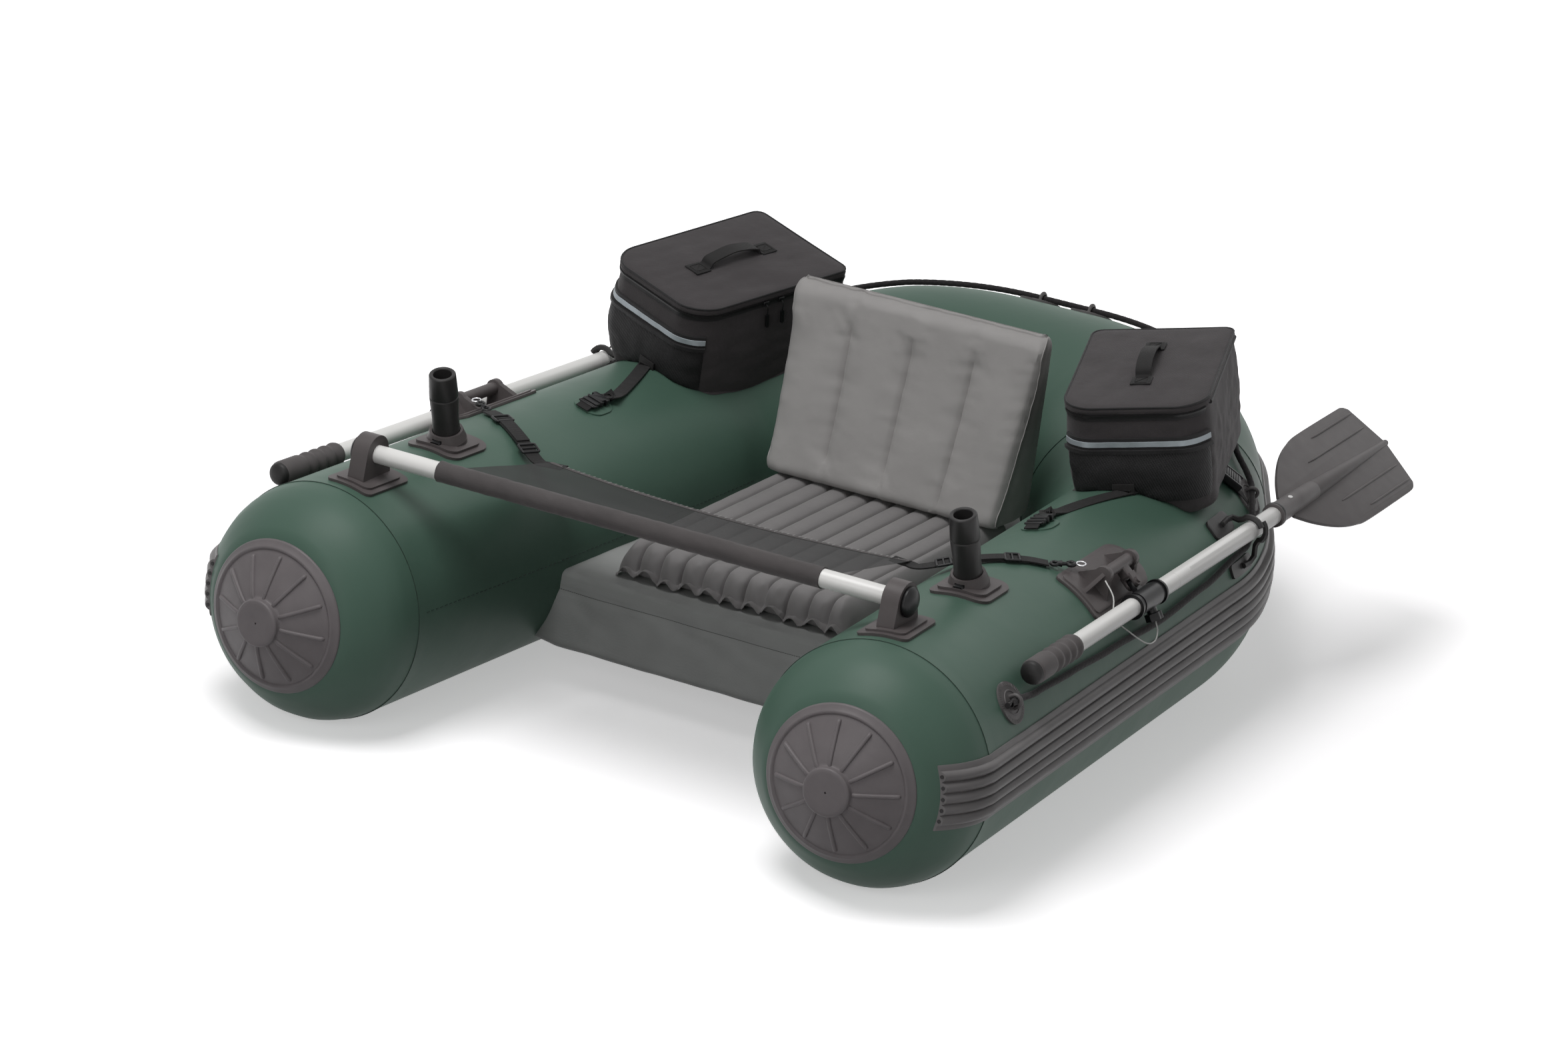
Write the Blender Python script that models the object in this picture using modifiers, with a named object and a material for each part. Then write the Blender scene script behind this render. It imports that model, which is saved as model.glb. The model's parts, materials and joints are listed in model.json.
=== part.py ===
"""Float tube: a U-shaped inflatable hull with a seat, a crossbar, rod holders, side bags and two oars.

Everything is laid out in the hull's frame: X to the right, Y towards the closed stern, Z up, with the
ground at zero and the seam between nose and tube at Y zero. One empty then moves the whole boat so that
its origin lies on the ground at the middle of its length.
"""
import math

import bpy
import bmesh
from mathutils import Matrix, Vector

# Clearances shared by every piece
SKIN_GAP = 0.0003
CUT_OVERRUN = 0.02
WELD_DISTANCE = 0.00001

# Hull tubes
TUBE_R = 0.1805
STERN_SWELL = 0.0265
HULL_SIDES = 28
PONTOON_X = 0.472
PONTOON_LENGTH = 0.991
BEND_X = 0.416
STERN_X = 0.188
STERN_DEPTH = 0.3475
STERN_RISE = 0.0515
FIRST_BEND_CUT = 0.10
STERN_BEND_CUT = 0.13
NOSE_LENGTH = 0.1055
NOSE_R = 0.119
NOSE_RISE = 0.003
FLAT_DEPTH = 0.0015
NOSE_SHARES = ((0.0, 0.0), (0.22, 0.42), (0.47, 0.74), (0.73, 0.93), (1.0, 1.0))

# Ribbed end caps
CAP_RIM_R = 0.1165
CAP_WEB_R = 0.105
CAP_HUB_R = 0.036
CAP_RIM_THICK = 0.008
CAP_RIM_BEAD = 0.0035
CAP_DEPTH = 0.052
CAP_RIB_COUNT = 12
CAP_RIB_THICK = 0.0055
CAP_RIB_HEIGHT = 0.009
CAP_RIB_DROP = 0.007
CAP_HUB_STEP = 0.006
CAP_HUB_DISH = 0.003

# Rub strake
STRAKE_TOP_DEG = 18.0
STRAKE_BOTTOM_DEG = -13.0
STRAKE_RIBS = 5
STRAKE_CREST = 0.0095
STRAKE_VALLEY = 0.0055
STRAKE_START_SHARE = 0.8

# Grab line and its ring patches
ROPE_R = 0.0042
ROPE_POINTS = 46
ROPE_FRONT_SHARES = ((0.0, 32.5), (0.069, 30.5), (0.1915, 29.1), (0.335, 27.5), (0.527, 25.5), (0.702, 27.0),
                     (0.872, 30.5))
ROPE_REAR_SHARES = ((0.0, 41.0), (0.175, 52.0), (0.34, 59.0), (0.536, 62.0), (1.0, 63.0))
PATCH_R = 0.0315
PATCH_THICK = 0.0025
LOOP_WIRE_R = 0.003
LOOP_CLEAR = 0.0014
FRONT_RING_RUN = 0.105
KEEPER_RING_BEHIND = 0.054
STERN_RING_BEHIND = 0.539

# Valves on the stern's inner side
VALVE_X = 0.055
VALVE_DEG = 163.0
VALVE_BASE_R = 0.03
VALVE_BASE_THICK = 0.004
VALVE_COLLAR_R = 0.019
VALVE_COLLAR_RISE = 0.007
VALVE_BORE_R = 0.0125
VALVE_BORE_DEPTH = 0.006
VALVE_CAP_R = 0.0215
VALVE_CAP_THICK = 0.009
VALVE_CAP_LIP = 0.003
VALVE_GRIP_LENGTH = 0.03
VALVE_GRIP_WIDTH = 0.005
VALVE_GRIP_RISE = 0.004

# Seat base, cushion and backrest
FLOOR_RISE = 0.006
FLOOR_THICK = 0.123
FLOOR_FRONT_Y = 0.347
FLOOR_FRONT_SLOPE = 0.0145
FLOOR_BEHIND = 0.109
FLOOR_HALF_WIDTH = 0.312
FLOOR_EDGE = 0.012
CUSHION_HALF_WIDTH = 0.204
CUSHION_FRONT_Y = 0.38
CUSHION_AHEAD = 0.060
CUSHION_HEIGHT = 0.0522
CUSHION_EDGE = 0.02
CUSHION_CHANNELS = 11
CUSHION_DIP = 0.007
CUSHION_SCALLOP = 0.012
BACKREST_AHEAD = 0.1645
BACKREST_LEAN = 0.0855
BACKREST_RISE = 0.2995
BACKREST_BASE_HALF = 0.204
BACKREST_TOP_HALF = 0.223
BACKREST_BASE_DEPTH = 0.1425
BACKREST_TOP_DEPTH = 0.038
BACKREST_CHANNELS = 4
BACKREST_DIP = 0.013
BACKREST_EDGE = 0.014

# Crossbar, its eyelets and plugs
BAR_Y = 0.0713
BAR_RISE = 0.040
BAR_R = 0.0138
SLEEVE_R = 0.0158
SLEEVE_HALF = 0.325
EYELET_X = 0.449
EYELET_THICK = 0.028
EYELET_ARCH_R = 0.0285
EYELET_FOOT_HALF = 0.035
EYELET_BASE_LENGTH = 0.105
EYELET_BASE_WIDTH = 0.080
EYELET_STEP_INSET = 0.009
EYELET_BASE_THICK = 0.003
EYELET_STEP_THICK = 0.003
EYELET_CORNER = 0.012
PLUG_R = 0.0225
PLUG_RIM = 0.005
PLUG_DOME = 0.008

# Apron between the tubes, with the straps that pull it over them
APRON_BACK_Y = 0.368
APRON_BACK_HALF = 0.3107
APRON_DROP = 0.0175
APRON_SAG = 0.012
APRON_THICK = 0.0026
STRAP_WIDTH = 0.022
STRAP_THICK = 0.0022
STRAP_ROUTE_SHARES = ((1.0, 112.0, 3), (2.2, 98.0, 1), (3.2, 86.0, 1), (4.0, 77.0, 1))
HOOK_WIRE_R = 0.0032
HOOK_HALF_WIDTH = 0.0085
HOOK_LENGTH = 0.046
HOOK_TILT_SHARE = 0.16

# Rod holders
ROD_X = 0.450
ROD_Y = 0.285
ROD_LEAN_DEG = 16.0
ROD_LEAN_IN_DEG = 2.0
ROD_BASE_LENGTH = 0.099
ROD_BASE_WIDTH = 0.095
ROD_BASE_THICK = 0.003
ROD_STEP_INSET = 0.010
ROD_STEP_THICK = 0.004
ROD_CORNER = 0.022
COLLAR_FOOT_R = 0.0305
COLLAR_TOP_R = 0.0255
COLLAR_RISE = 0.026
COLLAR_SOCKET_DEPTH = 0.008
ROD_TUBE_R = 0.021
ROD_NECK_R = 0.0203
ROD_UPPER_R = 0.0222
ROD_LIP_R = 0.0205
ROD_BORE_R = 0.014
ROD_TUBE_RISE = 0.0995
ROD_GROOVE_SHARE = 0.60
ROD_GROOVE_HALF = 0.0012
ROD_GROOVE_DEPTH = 0.0016
ROD_BORE_FLOOR = 0.006
ROD_RUNNING_GAP = 0.0004
BUTTON_LENGTH = 0.016
BUTTON_HEIGHT = 0.0075
BUTTON_PROUD = 0.003
BUTTON_STROKE = 0.002
BUTTON_TRAVEL_ROOM = 0.0005

# Oarlocks
LOCK_RUN = 0.535
LOCK_DEG = 55.5
LOCK_LENGTH = 0.2055
LOCK_WIDTH = 0.088
LOCK_BASE_THICK = 0.003
LOCK_RIM = 0.007
LOCK_RIM_RISE = 0.0018
LOCK_FRONT_CORNER = 0.008
LOCK_REAR_CORNER = 0.036
BARREL_AHEAD = 0.002
BARREL_RISE = 0.0285
BARREL_R = 0.0095
BARREL_HALF = 0.0415
AXLE_R = 0.0045
AXLE_GAP = 0.0004
EAR_THICK = 0.010
EAR_TOP_R = 0.0135
EAR_FOOT_HALF = 0.030
EAR_GUSSET_LENGTH = 0.040
EAR_GUSSET_THICK = 0.006
STUB_WIDTH = 0.020
STUB_DEPTH = 0.015
FORK_REACH = 0.033
FORK_GAP = 0.0098
FORK_TINE = 0.005
FORK_R = 0.0085
PIN_R = 0.003
PIN_HEAD_R = 0.0052
PIN_HEAD_RISE = 0.0032
CLAMP_BEHIND = 0.016
CLAMP_HALF = 0.0455
CLAMP_R = 0.0165
CLAMP_FLANGE_R = 0.0192
CLAMP_FLANGE = 0.0045
CLAMP_BAND = 0.010
CLAMP_BAND_RISE = 0.0012
CLAMP_TONGUE = 0.0088
CLAMP_SIDES = 12
KNOB_DEG = -62.0
KNOB_BACK = 0.0095
KNOB_BOSS_R = 0.008
KNOB_BOSS_RISE = 0.0235
KNOB_R = 0.0135
KNOB_LOBES = 6
KNOB_LOBE_DEPTH = 0.0028
KNOB_THICK = 0.0115
LEASH_R = 0.0011

# Oars
OAR_Y = 0.285
OAR_DEG = 38.765
OAR_LIFT = 0.0292
OAR_TOE_SHARE = -0.054
OAR_DROP_SHARE = -0.0093
SHAFT_R = 0.014
GRIP_END_Y = 0.152
GRIP_SHAFT_Y = 0.2955
JOINT_Y = 0.651
SNAP_Y = 0.689
SOCKET_BEHIND = 0.052
BLADE_TIP_BEHIND = 0.5195
OAR_SLIDE = 0.051
GRIP_R = 0.0192
GRIP_WAVES = 4
GRIP_WAVE_DEPTH = 0.0026
GRIP_END_R = 0.0172
GRIP_DOME = 0.006
GRIP_SIDES = 10
JOINT_GROOVE = 0.0007
SNAP_R = 0.0032
SNAP_RISE = 0.0016
SOCKET_R = 0.0172
SOCKET_LENGTH = 0.151
SOCKET_GRASP = 0.07
BLADE_ROLL_DEG = 37.0
BLADE_HALF_WIDTH = 0.088
BLADE_THICK = 0.0055
BLADE_LENGTH = 0.4166
BLADE_SHARES = ((0.0, 0.02), (0.045, 0.80), (0.055, 0.90), (0.09, 0.985), (0.16, 1.0), (0.54, 1.0),
                (0.64, 0.955), (0.72, 0.88), (0.79, 0.775), (0.86, 0.63), (0.93, 0.45), (1.0, 0.22))
SPINE_FOOT_R = 0.0155
SPINE_TIP_R = 0.0052
SPINE_NUB = 0.005
BLADE_RIB_WIDTH = 0.0042
BLADE_RIB_RISE = 0.0016
BLADE_RIB_SHARES = ((0.455, 0.055, 0.62), (0.80, 0.055, 0.46))

# Oar keepers
KEEPER_AHEAD = 0.079
KEEPER_UPPER_DEG = 46.0
KEEPER_LOWER_DEG = 24.0
KEEPER_PAD_LENGTH = 0.062
KEEPER_UPPER_WIDTH = 0.034
KEEPER_LOWER_WIDTH = 0.022
KEEPER_PAD_THICK = 0.0035
KEEPER_ARM_R = 0.0048
KEEPER_ARM_CLEAR = 0.0028
KEEPER_ROOT_SPREAD = 0.046

# Side bags
BAG_X = 0.374
BAG_AHEAD = 0.019
BAG_RISE = 0.1555
BAG_YAW_DEG = 18.5
BAG_PITCH_DEG = 6.0
BAG_LEAN_DEG = 10.0
BAG_WIDTH = 0.225
BAG_LENGTH = 0.312
BAG_CORNER = 0.046
BAG_BOW = 0.012
BAG_LID_THICK = 0.012
BAG_LID_DIP = 0.003
BAG_HEIGHT = 0.172
BAG_TAPER = 0.012
BAG_WALL = 0.006
BAG_FLOOR = 0.030
HANDLE_WIDTH = 0.024
HANDLE_THICK = 0.0025
HANDLE_LENGTH = 0.165
HANDLE_RISE = 0.017
HANDLE_FOOT = 0.028
TAB_RUN = 0.615
TAB_DEG = 104.0
TAB_PATCH_LENGTH = 0.062
TAB_PATCH_WIDTH = 0.052
TAB_PATCH_THICK = 0.002
TAB_BUCKLE_LENGTH = 0.046
TAB_BUCKLE_WIDTH = 0.030
TAB_BUCKLE_THICK = 0.011
TAB_BUCKLE_EDGE = 0.003

# Sizes that follow from the ones above
TUBE_Z = TUBE_R - FLAT_DEPTH
TUBE_TOP_Z = TUBE_Z + TUBE_R
STERN_R = TUBE_R + STERN_SWELL
STERN_Y = PONTOON_LENGTH + STERN_DEPTH
KEEPER_RUN = PONTOON_LENGTH - KEEPER_AHEAD
KEEPER_RING_RUN = PONTOON_LENGTH + KEEPER_RING_BEHIND
STERN_RING_RUN = PONTOON_LENGTH + STERN_RING_BEHIND
BAG_Y = PONTOON_LENGTH - BAG_AHEAD
FLOOR_BACK_Y = PONTOON_LENGTH + FLOOR_BEHIND
CUSHION_BACK_Y = PONTOON_LENGTH - CUSHION_AHEAD
BACKREST_FRONT_Y = PONTOON_LENGTH - BACKREST_AHEAD
SOCKET_Y = PONTOON_LENGTH + SOCKET_BEHIND
BLADE_TIP_Y = PONTOON_LENGTH + BLADE_TIP_BEHIND
TOE_IN = (PONTOON_X - BEND_X) / PONTOON_LENGTH
FACET = math.pi / HULL_SIDES
SKIN_BOW = TUBE_R * (1 - math.cos(FACET))
STRIP = TUBE_R * FACET * 2
STRAIGHT_RUN = TUBE_R * 0.4
HULL_FRONT = NOSE_LENGTH + CAP_DEPTH
HULL_BACK = STERN_Y + STERN_R + SKIN_GAP * 3 + STERN_R * (1 - math.cos(FACET)) + STRAKE_CREST
HULL_MIDDLE = (HULL_BACK - HULL_FRONT) / 2
BAR_Z = TUBE_TOP_Z + BAR_RISE
FLOOR_TOP_Z = TUBE_Z + FLOOR_RISE
FLOOR_BOTTOM_Z = FLOOR_TOP_Z - FLOOR_THICK
CUSHION_TOP_Z = FLOOR_TOP_Z + SKIN_GAP + CUSHION_HEIGHT
BACKREST_TOP_Z = CUSHION_TOP_Z + BACKREST_RISE
APRON_BACK_Z = TUBE_TOP_Z - APRON_DROP
BARREL_RUN = LOCK_RUN - BARREL_AHEAD
CLAMP_RUN = LOCK_RUN + CLAMP_BEHIND
OAR_REACH = TUBE_R + OAR_LIFT
OAR_X = PONTOON_X - TOE_IN * OAR_Y + OAR_REACH * math.cos(math.radians(OAR_DEG))
OAR_Z = TUBE_Z + OAR_REACH * math.sin(math.radians(OAR_DEG))
BAG_TOP_Z = TUBE_TOP_Z + BAG_RISE


SIDE_FLIP = Matrix.Scale(-1, 4, Vector((1, 0, 0)))


# Scene, collections and materials
for item in list(bpy.data.objects):
    bpy.data.objects.remove(item, do_unlink=True)

PARTS = bpy.data.collections.new("float_tube")
CUTTERS = bpy.data.collections.new("float_tube_cutters")
bpy.context.scene.collection.children.link(PARTS)
bpy.context.scene.collection.children.link(CUTTERS)


def material(name, colour, roughness, metallic=0.0):
    """A Principled material of one colour, given in sRGB shares."""
    linear = [(c / 12.92) if c <= 0.04045 else ((c + 0.055) / 1.055) ** 2.4 for c in colour]
    mat = bpy.data.materials.new(name)
    mat.use_nodes = True
    shader = mat.node_tree.nodes["Principled BSDF"]
    shader.inputs["Base Color"].default_value = (*linear, 1.0)
    shader.inputs["Roughness"].default_value = roughness
    shader.inputs["Metallic"].default_value = metallic
    return mat


COLOURS = {
    "hull_green": ((0.29, 0.39, 0.34), 0.45, 0.0),
    "strake_grey": ((0.44, 0.43, 0.43), 0.55, 0.0),
    "cap_grey": ((0.36, 0.34, 0.34), 0.45, 0.0),
    "floor_grey": ((0.48, 0.49, 0.48), 0.6, 0.0),
    "cushion_grey": ((0.20, 0.20, 0.20), 0.7, 0.0),
    "backrest_grey": ((0.58, 0.58, 0.57), 0.6, 0.0),
    "bag_fabric": ((0.24, 0.23, 0.235), 0.85, 0.0),
    "black_plastic": ((0.11, 0.11, 0.115), 0.4, 0.0),
    "base_plastic": ((0.39, 0.37, 0.37), 0.45, 0.0),
    "white_alloy": ((0.87, 0.865, 0.86), 0.35, 0.2),
    "blade_plastic": ((0.40, 0.385, 0.385), 0.5, 0.0),
    "grip_foam": ((0.40, 0.385, 0.385), 0.75, 0.0),
    "rope_black": ((0.15, 0.14, 0.15), 0.8, 0.0),
    "webbing_black": ((0.10, 0.10, 0.10), 0.8, 0.0),
    "apron_mesh": ((0.22, 0.22, 0.22), 0.8, 0.0),
    "leash_white": ((0.9, 0.9, 0.89), 0.5, 0.0),
    "patch_grey": ((0.40, 0.39, 0.39), 0.5, 0.0),
}


def new_object(name, data, group=None):
    obj = bpy.data.objects.new(name, data)
    (group or PARTS).objects.link(obj)
    return obj


def face_out(bm):
    """Turn every face of a closed body outwards."""
    bmesh.ops.recalc_face_normals(bm, faces=bm.faces)
    if bm.calc_volume(signed=True) < 0:
        bmesh.ops.reverse_faces(bm, faces=bm.faces)


def mesh_object(name, bm, group=None):
    """Turn a finished bmesh into an object with its faces pointing out."""
    face_out(bm)
    mesh = bpy.data.meshes.new(name)
    bm.to_mesh(mesh)
    bm.free()
    return new_object(name, mesh, group)


def bake(obj):
    """Replace an object by its evaluated mesh, welding the loose caps of a curve."""
    bpy.context.view_layer.update()
    graph = bpy.context.evaluated_depsgraph_get()
    mesh = bpy.data.meshes.new_from_object(obj.evaluated_get(graph))
    bm = bmesh.new()
    bm.from_mesh(mesh)
    bmesh.ops.remove_doubles(bm, verts=bm.verts, dist=WELD_DISTANCE)
    face_out(bm)
    bm.to_mesh(mesh)
    bm.free()
    name = obj.name
    group = obj.users_collection[0]
    matrix = obj.matrix_world.copy()
    bpy.data.objects.remove(obj, do_unlink=True)
    mesh.name = name
    fresh = new_object(name, mesh, group)
    fresh.name = name
    fresh.matrix_world = matrix
    return fresh


def boolean(target, tool, operation, keep=False):
    """Cut one mesh object by another, or join the two."""
    modifier = target.modifiers.new(operation.lower(), "BOOLEAN")
    modifier.operation = operation
    modifier.solver = "EXACT"
    modifier.object = tool
    result = bake(target)
    if not keep:
        bpy.data.objects.remove(tool, do_unlink=True)
    return result


def cut(target, *tools):
    for tool in tools:
        target = boolean(target, tool, "DIFFERENCE")
    return target


def join(target, *tools):
    for tool in tools:
        target = boolean(target, tool, "UNION")
    return target


def mark_cutter(obj):
    obj.hide_render = True
    obj.display_type = "WIRE"
    for group in list(obj.users_collection):
        group.objects.unlink(obj)
    CUTTERS.objects.link(obj)
    return obj


def apply_matrix(obj, matrix):
    """Move a mesh's points by a matrix, leaving the object's own transform alone."""
    obj.data.transform(matrix)
    if matrix.determinant() < 0:
        obj.data.flip_normals()
    return obj


# Building blocks
def block(name, size, edge=0.0, segments=2):
    """A box of a given size about its own origin, with rounded edges."""
    bm = bmesh.new()
    bmesh.ops.create_cube(bm, size=1.0)
    bmesh.ops.scale(bm, vec=size, verts=bm.verts)
    obj = mesh_object(name, bm)
    if edge > 0:
        bevel = obj.modifiers.new("edges", "BEVEL")
        bevel.width = edge
        bevel.segments = segments
        bevel.limit_method = "ANGLE"
        obj = bake(obj)
    return obj


def rod(name, radius, low, high, sides=24, top_radius=None):
    """A cylinder or cone along Z between two heights."""
    bm = bmesh.new()
    bmesh.ops.create_cone(bm, cap_ends=True, segments=sides, radius1=radius,
                          radius2=radius if top_radius is None else top_radius, depth=high - low)
    bmesh.ops.translate(bm, verts=bm.verts, vec=(0, 0, (low + high) / 2))
    return mesh_object(name, bm)


def bore_radius(radius, sides):
    """The radius of a faceted bore that clears a shaft all round."""
    return (radius + SKIN_GAP) / math.cos(math.pi / sides)


def turned(name, profile, sides=32):
    """A turned solid about Z from (radius, height) points that start and end on the axis."""
    bm = bmesh.new()
    points = [bm.verts.new((r, 0, z)) for r, z in profile]
    for a, b in zip(points, points[1:]):
        bm.edges.new((a, b))
    mesh = bpy.data.meshes.new(name)
    bm.to_mesh(mesh)
    bm.free()
    obj = new_object(name, mesh)
    screw = obj.modifiers.new("turn", "SCREW")
    screw.steps = sides
    screw.render_steps = sides
    screw.use_merge_vertices = True
    screw.merge_threshold = WELD_DISTANCE
    return bake(obj)


def tube(name, points, radius, resolution=2, radii=None, closed=False):
    """A round tube through points, as a curve with a bevel and filled caps."""
    curve = bpy.data.curves.new(name, "CURVE")
    curve.dimensions = "3D"
    curve.bevel_depth = radius
    curve.bevel_resolution = resolution
    curve.use_fill_caps = True
    spline = curve.splines.new("POLY")
    spline.points.add(len(points) - 1)
    for i, point in enumerate(points):
        spline.points[i].co = (*point, 1.0)
        spline.points[i].radius = radii[i] / radius if radii else 1.0
    spline.use_cyclic_u = closed
    return bake(new_object(name, curve))


def slab(name, outline, thickness):
    """A flat outline in XY, extruded about its own plane."""
    curve = bpy.data.curves.new(name, "CURVE")
    curve.dimensions = "2D"
    curve.fill_mode = "BOTH"
    curve.extrude = thickness / 2
    spline = curve.splines.new("POLY")
    spline.points.add(len(outline) - 1)
    for i, (x, y) in enumerate(outline):
        spline.points[i].co = (x, y, 0, 1.0)
    spline.use_cyclic_u = True
    return bake(new_object(name, curve))


def loft(name, rings):
    """A closed solid through rings with equal numbers of points."""
    bm = bmesh.new()
    rows = [[bm.verts.new(point) for point in ring] for ring in rings]
    for near, far in zip(rows, rows[1:]):
        count = len(near)
        for i in range(count):
            j = (i + 1) % count
            bm.faces.new((near[i], near[j], far[j], far[i]))
    bm.faces.new(rows[0])
    bm.faces.new(rows[-1])
    return mesh_object(name, bm)


def arc(centre_x, centre_y, radius, start, end, steps):
    """Points on an arc in a plane, with angles in degrees."""
    turns = [math.radians(start + (end - start) * i / steps) for i in range(steps + 1)]
    return [(centre_x + radius * math.cos(a), centre_y + radius * math.sin(a)) for a in turns]


def rounded(length, width, corners, steps=4):
    """A rectangle about zero with its own radius at each corner, counter-clockwise from back right."""
    x, y = length / 2, width / 2
    r1, r2, r3, r4 = corners
    return (arc(x - r1, y - r1, r1, 0, 90, steps) + arc(-x + r2, y - r2, r2, 90, 180, steps)
            + arc(-x + r3, -y + r3, r3, 180, 270, steps) + arc(x - r4, -y + r4, r4, 270, 360, steps))


def frame_matrix(origin, x_axis, y_axis):
    """The matrix that carries X and Y onto two given directions at an origin."""
    x_dir = Vector(x_axis).normalized()
    z_dir = x_dir.cross(Vector(y_axis)).normalized()
    y_dir = z_dir.cross(x_dir)
    return Matrix.Translation(origin) @ Matrix((x_dir, y_dir, z_dir)).transposed().to_4x4()


def along(origin, direction, side_hint=(0, 1, 0)):
    """The matrix that carries Z onto a direction, with X near a hint."""
    z_dir = Vector(direction).normalized()
    x_dir = (Vector(side_hint) - z_dir * z_dir.dot(Vector(side_hint))).normalized()
    y_dir = z_dir.cross(x_dir)
    return Matrix.Translation(origin) @ Matrix((x_dir, y_dir, z_dir)).transposed().to_4x4()


def smooth_path(points, count):
    """A Catmull-Rom curve through points, cut into even parameter steps."""
    knots = [Vector(p) for p in points]
    knots = [knots[0] * 2 - knots[1]] + knots + [knots[-1] * 2 - knots[-2]]
    spans = len(knots) - 3
    path = []
    for i in range(count):
        at = i / (count - 1) * spans
        k = min(int(at), spans - 1)
        t = at - k
        p0, p1, p2, p3 = knots[k:k + 4]
        path.append(0.5 * (2 * p1 + (p2 - p0) * t + (2 * p0 - 5 * p1 + 4 * p2 - p3) * t * t
                           + (3 * p1 - p0 - 3 * p2 + p3) * t ** 3))
    return path


# The hull's centre line on the right, from the nose to the middle of the stern
def corner_arc(before, corner, after, cut_length, steps):
    """A rounded corner between two straight runs."""
    start = corner + (before - corner).normalized() * cut_length
    end = corner + (after - corner).normalized() * cut_length
    return [start.lerp(corner, i / steps).lerp(corner.lerp(end, i / steps), i / steps)
            for i in range(steps + 1)]


SEAM = Vector((PONTOON_X, 0, TUBE_Z))
BEND = Vector((BEND_X, PONTOON_LENGTH, TUBE_Z))
CORNER = Vector((STERN_X, STERN_Y, TUBE_Z + STERN_RISE))
STERN_MIDDLE = Vector((0, STERN_Y, TUBE_Z + STERN_RISE))
FORWARD = (SEAM - BEND).normalized()
NOSE_TIP = SEAM + FORWARD * NOSE_LENGTH + Vector((0, 0, NOSE_RISE))

nose_stations = [(SEAM.lerp(NOSE_TIP, 1 - share), NOSE_R + (TUBE_R - NOSE_R) * grown)
                 for share, grown in NOSE_SHARES]
first_bend = corner_arc(SEAM, BEND, CORNER, FIRST_BEND_CUT, 4)
stern_bend = corner_arc(BEND, CORNER, STERN_MIDDLE, STERN_BEND_CUT, 5)
swell_start = first_bend[2]
swell_end = stern_bend[2]


def tube_radius(point):
    """The tube's radius, which grows between the two bends."""
    span = swell_end - swell_start
    share = (point - swell_start).dot(span) / span.length_squared
    return TUBE_R + (STERN_R - TUBE_R) * min(max(share, 0.0), 1.0)


second_seam = first_bend[-1].lerp(stern_bend[0], 0.5)
pontoon_stations = nose_stations + [(p, tube_radius(p)) for p in first_bend + [second_seam]]
stern_stations = [(p, tube_radius(p)) for p in [second_seam] + stern_bend + [STERN_MIDDLE]]
STATIONS = pontoon_stations + stern_stations[1:]
SEAM_INDEX = len(nose_stations) - 1

RUNS = [0.0]
for (near, _), (far, _) in zip(STATIONS, STATIONS[1:]):
    RUNS.append(RUNS[-1] + (far - near).length)
RUNS = [run - RUNS[SEAM_INDEX] for run in RUNS]


def station_direction(index):
    """The bisector direction of the centre line at a station."""
    steps = []
    for a, b in ((index - 1, index), (index, index + 1)):
        if a >= 0 and b < len(STATIONS):
            steps.append((STATIONS[b][0] - STATIONS[a][0]).normalized())
    if index == len(STATIONS) - 1:
        steps = [Vector((-1, 0, 0))]
    return sum(steps, Vector()).normalized()


def hull_section(run):
    """Centre, radius, direction, outward and upward directions at a run behind the front seam."""
    k = 0
    while k < len(RUNS) - 2 and run > RUNS[k + 1]:
        k += 1
    share = (run - RUNS[k]) / (RUNS[k + 1] - RUNS[k])
    centre = STATIONS[k][0].lerp(STATIONS[k + 1][0], share)
    radius = STATIONS[k][1] + (STATIONS[k + 1][1] - STATIONS[k][1]) * share
    span = STATIONS[k + 1][0] - STATIONS[k][0]
    if span.length > STRAIGHT_RUN:
        direction = span.normalized()
    else:
        direction = station_direction(k).lerp(station_direction(k + 1), share).normalized()
    outward = direction.cross(Vector((0, 0, 1))).normalized()
    upward = outward.cross(direction)
    return centre, radius, direction, outward, upward


def skin(run, degrees, lift=0.0):
    """A point on or above the hull's skin, with the angle measured up from the outer side."""
    centre, radius, _, outward, upward = hull_section(run)
    turn = math.radians(degrees)
    return centre + (radius + lift) * (math.cos(turn) * outward + math.sin(turn) * upward)


def skin_normal(run, degrees):
    _, _, _, outward, upward = hull_section(run)
    turn = math.radians(degrees)
    return math.cos(turn) * outward + math.sin(turn) * upward


def skin_matrix(run, degrees, lift=0.0):
    """X along the tube towards the stern, Y up round its girth, Z out of its skin."""
    _, _, direction, _, _ = hull_section(run)
    normal = skin_normal(run, degrees)
    return frame_matrix(skin(run, degrees, lift), direction, normal.cross(direction))


def run_at(y):
    """The run on the straight pontoon for a distance behind the front seam."""
    return y / math.cos(math.atan(TOE_IN))


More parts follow.
